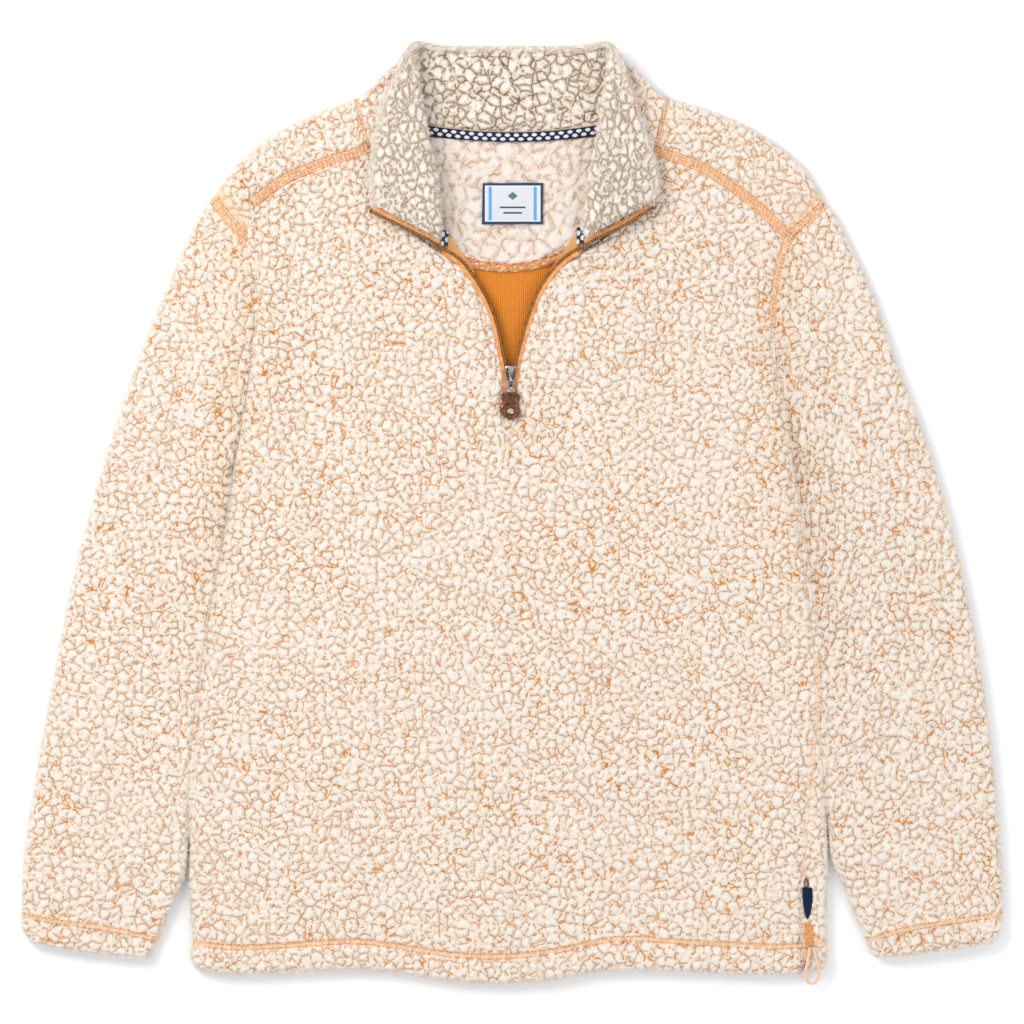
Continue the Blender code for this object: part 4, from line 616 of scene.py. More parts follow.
def front_half(side, near, middle, fold, rows):
    """One half of the front.

    A row h runs from the hem (0) to the bottom of the slit (1), the neck seam (2) and the shoulder seam
    (3). near are distances from the centre line and middle the fractions of the level cloth beyond them.
    """
    h = np.asarray(rows, float)
    lower, slit_share, neck_share = np.clip(h, 0, 1), np.clip(h - 1, 0, 1), np.clip(h - 2, 0, 1)
    low_y = float(hem_y(CENTRE_X))
    side_low, side_high = side.edge[0][1], side.edge[-1][1]
    straight = np.stack([np.full(h.shape, CENTRE_X), low_y + (SLIT_BOTTOM - low_y) * lower], axis=1)
    centre = np.where((h <= 1)[:, None], straight, along(side.slit, slit_share))
    centre = np.where((h > 2)[:, None], along(side.neck, neck_share), centre)
    knee = side_low + SLIT_BOTTOM - low_y
    side_y = (side_low + (knee - side_low) * lower + (side.v_side_y - knee) * slit_share
              + (side_high - side.v_side_y) * neck_share)
    across = np.stack([at_height(side.edge, side_y), side_y], axis=1) - centre
    width = np.linalg.norm(across, axis=1)
    across /= width[:, None]
    from_hem = h * (SLIT_BOTTOM - low_y)
    corners = np.array(side.shoulder[0]), np.array(side.shoulder[-1])
    place = placer(side, centre, across, width, from_hem, lambda u: along(side.shoulder, u), corners, ease(neck_share))
    reach = FOLD_REACH - QUARTER + FOLD_RADIUS
    spread = near[-1] + (width[:, None] - reach - near[-1]) * np.asarray(middle)[None]
    level = np.concatenate([np.tile(near, (len(h), 1)), spread], axis=1)
    return folded_panel(side, place, width, side_y, from_hem, level, fold, True)

# %% Grid of the back and the shoulders
def forward_seam(side, s):
    """Line the shoulder piece comes down to: the shoulder seam, and on the left the front's edge below it."""
    line = along(side.shoulder, ramp(60))
    if side.sign > 0:
        return evenly(line, s)
    y = np.linspace(side.shoulder[-1][1], side.arm_tip[1], 14)
    edge = np.stack([at_height(side.edge, y), y], axis=1)
    upper = evenly(line, np.clip(s / SHOULDER_TURN, 0, 1))
    lower = evenly(edge, np.clip((s - SHOULDER_TURN) / (1 - SHOULDER_TURN), 0, 1))
    return np.where((s < SHOULDER_TURN)[..., None], upper, lower)


def shoulder_lines(side, s):
    """Crest of the shoulder's fold at s, the unit way from it to the forward seam and how far that is."""
    crest = evenly(along(side.crest, ramp(60)), s)
    down = forward_seam(side, s) - crest
    distance = np.linalg.norm(down, axis=-1)
    return crest, down / distance[..., None], distance


def back_top(side, u):
    """Top row of the back's lower sheet: the neckline, then the line where the shoulder's fold starts."""
    s = np.clip((u - NECK_SHARE) / (1 - NECK_SHARE), 0, 1)
    crest, down, _ = shoulder_lines(side, s)
    inset = float(side_fold(np.array(SHOULDER_START), BODY_TOP, FRONT_UNDER)[0])
    shoulder = crest + down * inset
    neck_table = [(x * side.sign, y) for x, y in BACK_NECK]
    neck_table[0] = (CENTRE_X, BACK_NECK[0][1])
    first = shoulder_lines(side, np.array([0.0]))
    neck_table[-1] = tuple((first[0] + first[1] * inset)[0])
    neck = along(neck_table, np.clip(u / NECK_SHARE, 0, 1))
    return np.where((u < NECK_SHARE)[..., None], neck, shoulder)


def back_half(side, middle, fold, rows, wrap):
    """One half of the back: the sheet underneath, and the piece over the shoulder to the forward seam."""
    h = np.asarray(rows, float)
    below, above = np.clip(h, 0, 1), np.clip(h - 1, 0, 1)
    low_y = float(hem_y(CENTRE_X))
    side_low = side.edge[0][1]
    inset = float(side_fold(np.array(SHOULDER_START), BODY_TOP, FRONT_UNDER)[0])
    crest, down, _ = shoulder_lines(side, np.array([1.0]))
    corner = (crest + down * inset)[0]
    hole = np.concatenate([side.armhole[:24], corner[None]])
    under_y = side_low + (UNDERARM_Y - side_low) * below
    edge = np.stack([at_height(side.edge, under_y), under_y], axis=1)
    edge = np.where((h <= 1)[:, None], edge, evenly(hole, above))
    split = low_y + UNDERARM_Y - side_low
    centre_y = low_y + (split - low_y) * below + (BACK_NECK[0][1] - split) * above
    centre = np.stack([np.full(h.shape, CENTRE_X), centre_y], axis=1)
    across = edge - centre
    width = np.linalg.norm(across, axis=1)
    across /= width[:, None]
    from_hem = h * (SLIT_BOTTOM - low_y)
    corners = centre[-1], edge[-1]
    place = placer(side, centre, across, width, from_hem, lambda u: back_top(side, u), corners, ease(above) ** 2)
    reach = 8.0 + FOLD_RADIUS
    share = NECK_SHARE * width[-1] / (width[-1] - reach)
    turn = SHOULDER_TURN / (1 - reach / (width[-1] * (1 - NECK_SHARE)))
    beyond = np.concatenate([turn * np.asarray(middle[1]), [1.0]])
    columns = np.concatenate([share * np.asarray(middle[0]), share + (1 - share) * beyond])
    level = (width[:, None] - reach) * columns[None]
    outer, inner = folded_panel(side, place, width, edge[:, 1], from_hem, level, fold, False)

    first = len(middle[0]) - 1
    distance = np.concatenate([level[-1], width[-1] - reach * (1 - np.asarray(fold))])[first:]
    s = np.clip((distance / width[-1] - NECK_SHARE) / (1 - NECK_SHARE), 0, 1)
    crest, down, long = shoulder_lines(side, s)
    end = QUARTER + long - FOLD_RADIUS - 1.2
    way = SHOULDER_START + (end - SHOULDER_START)[None] * np.asarray(wrap)[:, None]
    outer_in = side_fold(way, BODY_TOP, FRONT_UNDER)[0]
    guess = crest[None] + down[None] * outer_in[..., None]
    x, y = guess[..., 0], guess[..., 1]
    high, low = body_top(x, y, np.full(x.shape, 400.0)), body_under(x, y)
    outer_in, inner_in, outer_z, inner_z = side_fold(way, high, low)
    over = np.dstack([crest[None] + down[None] * outer_in[..., None], outer_z])
    under = np.dstack([crest[None] + down[None] * inner_in[..., None], inner_z])
    over[0] = outer[-1, first:]
    under[0] = inner[-1, first:]
    return [(outer, inner), (over, under)]

# %% Plan of a sleeve
def inner_line(side):
    """Inner edge of a sleeve: just outside the body down to the crotch, then its own."""
    own = np.array([p for p in side.inner if p[1] < -270], float)
    y = np.linspace(UNDERARM_Y - 1.5, own[0, 1] + 14, 40)
    beside_body = np.stack([at_height(side.edge, y) + side.sign * BODY_GAP, y], axis=1)
    return np.concatenate([beside_body, along([tuple(beside_body[-1])] + [tuple(p) for p in own],
                                              np.linspace(0.06, 1, 30))])


def sleeve_plan(side, t, w):
    """Plan of a sleeve: t from the armhole to the cuff, w from the outer edge to the inner one."""
    outer = evenly(along(side.outer, ramp(200)), t)
    inner = evenly(inner_line(side), t)
    hole = side.armhole[::-1]
    bow = evenly(hole, w) - (hole[0] * (1 - w[..., None]) + hole[-1] * w[..., None])
    fade = np.exp(-(t / BOW_FADE) ** 2)[..., None]
    plan = outer * (1 - w[..., None]) + inner * w[..., None] + bow * fade
    plan[..., 1] -= CUFF_BOW * 4 * w * (1 - w) * ease((t - 0.9) / 0.1)
    plan[..., 0] += side.sign * BODY_GAP * np.sqrt(np.clip(4 * w * (1 - w), 0, 1)) * fade[..., 0]
    return plan


def sleeve_section(way, top, wall_thick):
    """Inset from the edge and heights of the outer and inner faces round a sleeve's folded edge."""
    turn = np.clip(way / SLEEVE_FOLD, -math.pi / 2, math.pi / 2)
    level = np.maximum(np.abs(way) - SLEEVE_QUARTER, 0)
    outer_in = SLEEVE_FOLD * (1 - np.cos(turn)) + level
    inner_in = SLEEVE_FOLD - (SLEEVE_FOLD - wall_thick) * np.cos(turn) + level
    rise = np.sin(turn)
    outer_z = SLEEVE_MID + rise * np.where(way > 0, top - SLEEVE_MID, SLEEVE_MID)
    inner_z = SLEEVE_MID + rise * np.where(way > 0, top - wall_thick - SLEEVE_MID, SLEEVE_MID - wall_thick)
    return outer_in, inner_in, outer_z, inner_z

# %% Path of the collar
# Points of the standing part, the roll and the flap.
PATH_STAND = ramp(25)[:-1]
PATH_ROLL = ramp(14)
PATH_FLAP = ramp(26)[1:]


def rolled_path(row, sign):
    """Middle of the collar from the neck seam, round the roll, to the top edge."""
    nx, ny, rx, ry, tx, ty, seam, rise, start, stop, fall, radius = row
    neck = np.array([sign * nx, ny])
    roll = np.array([sign * rx, ry])
    top = np.array([sign * tx, ty])
    away = (top - roll) / np.linalg.norm(top - roll)
    start, stop = math.radians(start), math.radians(stop)
    centre = roll + away * ((COLLAR_WALL + GAP / 2) * radius / ROLL_RADIUS + radius)
    centre_z = rise + radius * math.cos(start)
    turn = start + (stop - start) * PATH_ROLL
    arc = np.column_stack([centre[None] - away[None] * (radius * np.sin(turn))[:, None],
                           centre_z - radius * np.cos(turn)])
    foot = np.array([neck[0], neck[1], seam])
    tip = np.array([top[0], top[1], fall])
    stand = foot + (arc[0] - foot) * PATH_STAND[:, None]
    flap = arc[-1] + (tip - arc[-1]) * PATH_FLAP[:, None]
    sag = np.sin(PATH_FLAP * math.pi)
    flap[:, 2] += 0.6 * sag
    return np.concatenate([stand, arc, flap])


def straight_path(row, sign):
    """Middle of the collar where it stands straight, with its points spread as on the rolled part."""
    nx, ny, nz, tx, ty, tz = row
    share = np.concatenate([PATH_STAND * 0.88, 0.88 + PATH_ROLL * 0.09, 0.97 + 0.03 * PATH_FLAP])
    foot = np.array([sign * nx, ny, nz])
    tip = np.array([sign * tx, ty, tz])
    return foot + (tip - foot) * share[:, None]


def smooth_rows(grid, where):
    """Rows of a grid at these places between its own rows, on a smooth curve."""
    k = np.clip(where.astype(int), 0, len(grid) - 2)
    return smooth_between(grid, np.gradient(grid, axis=0), k, (where - k)[:, None, None])


def collar_middle(parts):
    """Grid of the collar's middle: parts rows for each station of the rolled halves, one for the straight."""
    rows = [rolled_path(row, -1) for row in ROLLED_LEFT]
    rows += [straight_path(row, -1) for row in STRAIGHT]
    rows += [straight_path(row, 1) for row in STRAIGHT[-2::-1]]
    rows += [rolled_path(row, 1) for row in ROLLED_RIGHT[::-1]]
    last = len(rows) - 1
    rolled = len(ROLLED_LEFT)
    turned = rolled + 1
    where = np.concatenate([np.arange(0, turned * parts) / parts, np.arange(turned, last - turned),
                            last - np.arange(turned * parts, -1, -1) / parts])
    return smooth_rows(np.array(rows), where)


def corner_nearness(grid):
    """1 at the collar's upper corners, fading to 0 round them."""
    away = np.hypot(np.abs(grid[..., 0]) - COLLAR_CORNER[0], grid[..., 1] - COLLAR_CORNER[1])
    return np.exp(-(away / CORNER_PRESS_WIDTH) ** 2)


def collar_shares(grid):
    """Part of the full wall left at each point: thinner towards the seams, the top edge and both ends."""
    step = np.linalg.norm(np.diff(grid, axis=1), axis=2)
    reach = np.concatenate([np.zeros((len(grid), 1)), np.cumsum(step, axis=1)], axis=1)
    edge = np.minimum(reach, reach[:, -1:] - reach)
    step = np.linalg.norm(np.diff(grid, axis=0), axis=2)
    travel = np.concatenate([np.zeros((1, grid.shape[1])), np.cumsum(step, axis=0)], axis=0)
    end = np.minimum(travel, travel[-1:] - travel)
    low = COLLAR_SEAM_WALL / COLLAR_WALL
    share = low + (1 - low) * np.minimum(quarter_round(edge / ROUND_OFF), quarter_round(end / END_ROUND_OFF))
    x, y = np.abs(grid[..., 0]), grid[..., 1]
    near_fold = np.exp(-(distance_to(x, y, np.array(COLLAR_FOLD)) / FOLD_PRESS_WIDTH) ** 2)
    near_corner = corner_nearness(grid)
    share = np.minimum(share, 1 - (1 - FOLD_PRESS) * near_fold)
    return np.minimum(share, 1 - (1 - CORNER_PRESS) * near_corner)

# %% [markdown]
# ## Meshes from grids
#
# A surface is two or more grids of points. Neighbouring points of a grid make a four-sided face, and the whole
# list of faces is worked out at once from the point numbers. The points go into the mesh with foreach_set,
# which takes a flat list and is many times faster than adding points one by one.

# %% Mesh tools
def grid_faces(rows, columns, start=0, wrap=False):
    """Corner numbers of a grid's faces: each face takes a point, the next in its row and the two below them."""
    number = np.arange(rows * columns).reshape(rows, columns) + start
    if wrap:
        number = np.concatenate([number, number[:, :1]], axis=1)
    return np.stack([number[:-1, :-1], number[:-1, 1:], number[1:, 1:], number[1:, :-1]], axis=-1).reshape(-1, 4)


def new_mesh(name, points, faces, finish, smooth=True):
    """A mesh object from points in millimetres and four-cornered faces."""
    mesh = bpy.data.meshes.new(name)
    faces = np.asarray(faces, np.int32)
    mesh.vertices.add(len(points))
    mesh.vertices.foreach_set("co", (np.asarray(points, float) * MM).astype(np.float32).ravel())
    mesh.loops.add(faces.size)
    mesh.loops.foreach_set("vertex_index", faces.ravel())
    mesh.polygons.add(len(faces))
    mesh.polygons.foreach_set("loop_start", np.arange(0, faces.size, faces.shape[1], dtype=np.int32))
    mesh.update(calc_edges=True)
    mesh.validate()
    mesh.polygons.foreach_set("use_smooth", np.full(len(mesh.polygons), smooth))
    mesh.materials.append(finish)
    made = bpy.data.objects.new(name, mesh)
    bpy.context.scene.collection.objects.link(made)
    return made


def keep_value(piece, name, values):
    """Stores one number, or three, at every point of a piece, for its material to read."""
    values = np.asarray(values, np.float32)
    kind, field = ("FLOAT", "value") if values.ndim == 1 else ("FLOAT_VECTOR", "vector")
    piece.data.attributes.new(name, kind, "POINT").data.foreach_set(field, values.ravel())


def dress(piece, slot_name, *nodes, body="garment"):
    """Says what a piece rides on and which nodes of the frame it stands for. slot_name is not used."""
    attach(piece, body)
    if nodes:
        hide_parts(*nodes)
    return piece


def unit(v):
    """Vectors divided by their lengths."""
    return v / np.maximum(np.linalg.norm(v, axis=-1, keepdims=True), 1e-9)


def grid_normal(grid):
    """Unit normals of a grid: the way along its columns crossed with the way along its rows."""
    return unit(np.cross(np.gradient(grid, axis=1), np.gradient(grid, axis=0)))

# %% [markdown]
# ## Sherpa fleece
#
# Sherpa is a knit whose pile is brushed and curled into small clumps. The clumps are cream and the ground they
# grow from is orange, so the thin gaps between them show as orange lines, strong in some places and closed in
# others. A cell pattern gives such gaps: each point belongs to its nearest seed, and the height falls towards
# the border between two cells. Two sizes of cell are mixed, and noise bends the borders and decides how far
# they open. Geometry nodes measure the pattern at the points of the mesh, which are pushed down between the
# tufts, and the material reads the very same pattern, so colour and relief always agree.

# %% The tuft pattern
TUFT = 0.0072
COLLAR_TUFT = 0.0082
FACING_TUFT = 0.0108


def linear(red, green, blue):
    """A colour picked as 0 to 255 turned into the linear numbers that a shader works in."""
    c = np.array([red, green, blue]) / 255
    return tuple(np.where(c <= 0.04045, c / 12.92, ((c + 0.055) / 1.055) ** 2.4))


class Nodes:
    """The nodes of one tree. Every method adds a node and returns its output; colours are given as 0 to 255."""

    def __init__(self, tree):
        self.tree = tree

    def add(self, kind, inputs, out=0, **settings):
        """A node with these properties, its inputs filled or linked by name or number."""
        made = self.tree.nodes.new(kind)
        for key, value in settings.items():
            setattr(made, key, value)
        for key, value in inputs.items():
            if isinstance(value, bpy.types.NodeSocket):
                self.tree.links.new(value, made.inputs[key])
            else:
                made.inputs[key].default_value = value
        return made.outputs[out]

    def maths(self, operation, a, b=0.0, c=0.0):
        return self.add("ShaderNodeMath", {0: a, 1: b, 2: c}, operation=operation)

    def times(self, a, b):
        return self.maths("MULTIPLY", a, b)

    def line(self, a, factor, start):
        """a * factor + start."""
        return self.maths("MULTIPLY_ADD", a, factor, start)

    def away(self, a, b):
        """How far a is from b."""
        return self.maths("ABSOLUTE", self.maths("SUBTRACT", a, b))

    def swing(self, angle, kind="SINE"):
        """0 to 1 and back as the angle goes round."""
        return self.line(self.maths(kind, angle), 0.5, 0.5)

    def step(self, value, low, high, to_low=0.0, to_high=1.0):
        """to_low below low, to_high above high, and a smooth way between them."""
        inputs = {"Value": value, "From Min": low, "From Max": high, "To Min": to_low, "To Max": to_high}
        return self.add("ShaderNodeMapRange", inputs, "Result", interpolation_type="SMOOTHSTEP")

    def vector(self, operation, a, b):
        return self.add("ShaderNodeVectorMath", {0: a, 1: b}, operation=operation)

    def noise(self, place, scale, detail=2.0, out="Fac", **more):
        inputs = {"Vector": place, "Scale": scale, "Detail": detail, **more}
        return self.add("ShaderNodeTexNoise", inputs, out)

    def stripes(self, place, scale, distortion, way="DIAGONAL", **more):
        inputs = {"Vector": place, "Scale": scale, "Distortion": distortion, **more}
        return self.add("ShaderNodeTexWave", inputs, "Fac", bands_direction=way)

    def place(self):
        return self.add("ShaderNodeTexCoord", {}, "Object")

    def kept(self, name, out="Fac"):
        """A value that keep_value stored at the points of the piece."""
        return self.add("ShaderNodeAttribute", {}, out, attribute_name=name)

    def axes(self, place):
        return self.add("ShaderNodeSeparateXYZ", {0: place}).node.outputs

    def mix(self, share, a, b):
        """Colour a where share is 0 and b where it is 1."""
        a, b = (value if isinstance(value, bpy.types.NodeSocket) else (*linear(*value), 1) for value in (a, b))
        return self.add("ShaderNodeMix", {0: share, 6: a, 7: b}, 2, data_type="RGBA")

    def bump(self, height, distance, strength=1.0, before=None):
        inputs = {"Height": height, "Distance": distance, "Strength": strength}
        return self.add("ShaderNodeBump", inputs if before is None else {**inputs, "Normal": before})

    def moved_by_noise(self, place, scale, distance):
        """The place moved by up to half the distance each way, as a noise of that scale says."""
        centred = self.vector("SUBTRACT", self.noise(place, scale, 1.0, "Color"), (0.5, 0.5, 0.5))
        sized = self.add("ShaderNodeVectorMath", {0: centred, "Scale": distance}, operation="SCALE")
        return self.vector("ADD", place, sized)

    def cell_border(self, place, per_metre):
        """Distance to the nearest border between cells, in cells."""
        inputs = {"Vector": place, "Scale": per_metre}
        return self.add("ShaderNodeTexVoronoi", inputs, "Distance", feature="DISTANCE_TO_EDGE")


def tufts(nodes, place, big):
    """Height of the pile from 0 to 1, how open the gap is from 0 to 1, and the height of the large cells alone.

    big is the size of the larger cells in metres. The height is the product of a dome over each large cell and
    a shallower one over each small cell. Noise closes some stretches of the gaps, fewer in large tufts. The
    cells are three times as tall as wide, or a border level with the cloth would show as a filled patch.
    """
    collar, facing = big == COLLAR_TUFT, big == FACING_TUFT
    place = nodes.vector("MULTIPLY", place, (1.0, 1.0, 0.3))
    bent = nodes.moved_by_noise(place, 0.55 / big, 0.6 * big)
    bent = nodes.moved_by_noise(bent, 1.7 / big, 0.36 * big)
    large, small = nodes.cell_border(bent, 1.0 / big), nodes.cell_border(bent, 1.95 / big)
    slow, quick = nodes.noise(place, 0.33 / big, 1.0), nodes.noise(place, 1.9 / big, 1.0)
    other = nodes.line(nodes.noise(place, 16.0, 0.0), 0.1, nodes.times(nodes.noise(bent, 2.7 / big, 1.0), 0.9))
    first = nodes.line(slow, 0.2, nodes.times(quick, 0.8))
    open_large = nodes.step(first, *((0.36, 0.52, 0.3) if collar else (0.38, 0.57, 0.22)), 1.0)
    open_small = nodes.step(other, *((0.6, 0.68) if facing else (0.53, 0.64)), 0.0, 0.65)
    low_large = nodes.times(open_large, nodes.step(large, 0.0, 0.28, 1.0, 0.0))
    low_small = nodes.times(open_small, nodes.step(small, 0.0, 0.34, 1.0, 0.0))
    dome = nodes.line(low_large, -0.9, 1.0)
    height = nodes.times(dome, nodes.line(low_small, -0.45, 1.0))
    thin = (0.0006 if collar else 0.00055) / big
    gap_large = nodes.times(open_large, nodes.step(large, 0.2 * thin, thin, 1.0, 0.0))
    gap_small = nodes.times(open_small, nodes.step(small, 0.3 * thin, 1.7 * thin, 0.85, 0.0))
    return height, nodes.maths("MAXIMUM", gap_large, gap_small), dome


def pile_height(points, big):
    """Height of the tuft pattern at points in millimetres, measured by geometry nodes on a loose cloud of them."""
    mesh = bpy.data.meshes.new("probe")
    mesh.vertices.add(len(points))
    mesh.vertices.foreach_set("co", (points * MM).astype(np.float32).ravel())
    probe = bpy.data.objects.new("probe", mesh)
    bpy.context.scene.collection.objects.link(probe)
    tree = bpy.data.node_groups.new("measure", "GeometryNodeTree")
    for way in ("INPUT", "OUTPUT"):
        tree.interface.new_socket("Geometry", in_out=way, socket_type="NodeSocketGeometry")
    nodes = Nodes(tree)
    cloud = nodes.add("NodeGroupInput", {})
    height = tufts(nodes, nodes.add("GeometryNodeInputPosition", {}), big)[0]
    inputs = {"Geometry": cloud, "Name": "height", "Value": height}
    stored = nodes.add("GeometryNodeStoreNamedAttribute", inputs, data_type="FLOAT")
    tree.links.new(stored, tree.nodes.new("NodeGroupOutput").inputs[0])
    probe.modifiers.new("measure", "NODES").node_group = tree
    shown = probe.evaluated_get(bpy.context.evaluated_depsgraph_get())
    height = np.zeros(len(points), np.float32)
    shown.data.attributes["height"].data.foreach_get("value", height)
    bpy.data.objects.remove(probe)
    bpy.data.node_groups.remove(tree)
    return height.astype(float)


sample = np.random.default_rng(3).uniform(-100, 100, (4000, 3))
height_found = np.percentile(pile_height(sample, TUFT), [10, 50, 90]).round(2)
print("tuft height, lowest 10%, middle, highest 10%:", height_found)

# %% [markdown]
# ## The sherpa material
#
# Cream tufts over an orange ground. The gap value of the pattern mixes the orange in, and where a gap is widest
# the orange darkens to a deeper tone, which is painted shade in the crevice. The height lightens the tops of the
# tufts a little and darkens them towards their feet, which is painted light and painted shade. Noise varies the
# cream. Curled fibres are far too fine to model, so a fine noise gives them as bump, and a sheen lights the fuzz at
# the edges of each fold. Where the cloth is pressed under a row of stitches the pattern fades into flat peach.

# %% Sherpa material
class Finish(Nodes):
    """A Principled material. constant sets inputs that are the same all over."""

    def __init__(self, name, roughness, metallic=0.0, **constant):
        self.material = bpy.data.materials.new(name)
        self.material.use_nodes = True
        super().__init__(self.material.node_tree)
        self.shader = self.tree.nodes["Principled BSDF"]
        for key, value in {"Roughness": roughness, "Metallic": metallic, **constant}.items():
            self.shader.inputs[key.replace("_", " ")].default_value = value

    def close(self, **inputs):
        """Links outputs to the shader's inputs and returns the material."""
        for key, value in inputs.items():
            self.tree.links.new(value, self.shader.inputs[key.replace("_", " ")])
        return self.material


def sherpa(name, tip, cream, foot, ground, deep, pressed, big):
    """tip, cream and foot are the tuft from its top down (painted light at the tip, painted shade at the foot), ground
    and deep the gap (deep is painted shade), pressed the sewn bands.
    """
    made = Finish(name, 0.95, Sheen_Weight=0.25, Sheen_Roughness=0.6, Specular_IOR_Level=0.12)
    collar = big == COLLAR_TUFT
    place, flat, closed_and_crease_shade = made.kept("spread", "Vector"), made.kept("pressed"), made.kept("closed_and_crease_shade")
    height, gap, dome = tufts(made, place, big)
    patches, grain = made.noise(place, 14.0), made.noise(place, 6.5 / big)
    fibre = made.noise(place, 900.0, Roughness=0.65)
    # The tuft's colour follows its height: foot low down and tip on top, painted shade at the feet and painted light on
    # the tops.
    tuft = made.mix(made.step(height, 0.08, 0.62 if collar else 0.5), foot, cream)
    tuft = made.mix(made.step(height, 0.7, 1.0), tuft, tip)
    tuft = made.mix(made.step(fibre, 0.38, 0.68, 0.16, 0.0), tuft, foot)
    tuft = made.mix(made.step(grain, 0.55, 0.7, 0.0, 0.3), tuft, foot)
    tuft = made.mix(made.step(grain, 0.67, 0.78, 0.0, 0.4), tuft, ground)
    # A kept value below zero marks the creases beside the sleeves: there the tufts are darkened towards foot and the
    # gaps strengthened, which is painted crease shade. Above zero, on steep folds, the gaps fade.
    tuft = made.mix(made.times(closed_and_crease_shade, -0.9), tuft, foot)
    strength = made.times(made.step(patches, 0.36, 0.64, 0.8, 1.0), made.line(closed_and_crease_shade, -0.85, 1.0))
    # The gap shows the real orange ground, darkened to deep at its widest: painted shade in the crevice.
    gap_ground_and_shade = made.mix(made.step(gap, 0.55, 1.0), ground, deep)
    shade = made.mix(made.times(made.step(gap, 0.05, 0.8), strength), tuft, gap_ground_and_shade)
    band = made.mix(made.step(fibre, 0.44, 0.66), pressed, cream)
    relief = made.bump(dome, *((0.0016, 1.0) if collar else (0.0014, 0.8)))
    return made.close(Base_Color=made.mix(made.times(flat, 0.92), shade, band),
                      Normal=made.bump(fibre, 0.00035, 0.8, relief))


BODY_SHERPA = sherpa("body_sherpa", (231, 223, 213), (232, 220, 206), (225, 207, 185),
                     (218, 158, 94), (196, 122, 52), (236, 186, 130), TUFT)
COLLAR_SHERPA = sherpa("collar_sherpa_fleece", (238, 228, 217), (230, 216, 200), (202, 183, 160),
                       (168, 141, 113), (110, 84, 60), (218, 204, 188), COLLAR_TUFT)
FACING_SHERPA = sherpa("facing_sherpa", (230, 220, 211), (226, 212, 199), (218, 199, 181),
                       (214, 176, 142), (190, 142, 104), (240, 178, 122), FACING_TUFT)
print("sherpa materials:", BODY_SHERPA.name, COLLAR_SHERPA.name, FACING_SHERPA.name)

# %% [markdown]
# ## From a grid of cloth to a shell of fleece
#
# Each panel comes as a pair of grids, the outer face and the inner one. The tips of the pile reach the outer
# face. The shell starts there and is pushed inwards along its normal by the depth of the pile times how far the
# pattern lies below its tips, or by a fixed part of it under a row of stitches. Where an edge of the panel shows,
# the shell turns in round it and runs back along the inner face, so that the cloth has its real thickness.

# %% Creases beside the sleeves
# Pile that closes the crease between the body and each sleeve: x, y, z.
CREASE_LEFT = [(-207.8, 246, 10.2), (-208.8, 213, 9.4), (-205.8, 190, 6.8), (-205.2, 160, 6.6), (-207.4, 129, 6.6),
               (-214, 79, 6.6), (-224.4, 19, 6.6), (-231.4, -27, 6.6), (-245.4, -112, 6.4),
               (-254.8, -181, 6.2), (-257.8, -230, 5.6), (-260.4, -272, 4.4)]
CREASE_RIGHT = [(217.8, 206, 8.4), (212.4, 184, 6.8), (208.8, 152, 6.6), (210.4, 124, 6.6), (218, 79, 6.6),
                (226.6, 19, 6.6), (233.4, -26, 6.6), (244.4, -112, 6.4), (247.5, -156, 6.2),
                (251.4, -216, 5.4), (254, -256, 4.4)]


# The crease lines, the left one moved 9 mm outwards, also mark where painted crease shade goes into the fleece's
# colour.
def crease_shade_share(points):
    """1 in the crease beside a sleeve, falling off over about two centimetres; it sets where crease shade is painted
    into the fleece.
    """
    x, y = points[..., 0].ravel(), points[..., 1].ravel()
    left, right = np.array(CREASE_LEFT)[:, :2] - (9, 0), np.array(CREASE_RIGHT)[:, :2]
    away = np.minimum(distance_to(x, y, left), distance_to(x, y, right)).reshape(points.shape[:2])
    return np.exp(-(away / 19.0) ** 2) * ease((points[..., 1] + 190) / 220)

# %% Fleece shell
PILE = 2.1


def edges_of(grid):
    """The four borders of a grid and the second line in from each, all walked with the cloth on their left."""
    return {"first_row": (grid[0], grid[3]), "last_row": (grid[-1], grid[-4]),
            "first_column": (grid[:, 0], grid[:, 3]), "last_column": (grid[:, -1], grid[:, -4])}


def unpressed(points):
    """0 everywhere, for a piece without sewn bands."""
    return np.zeros(points.shape[:2])


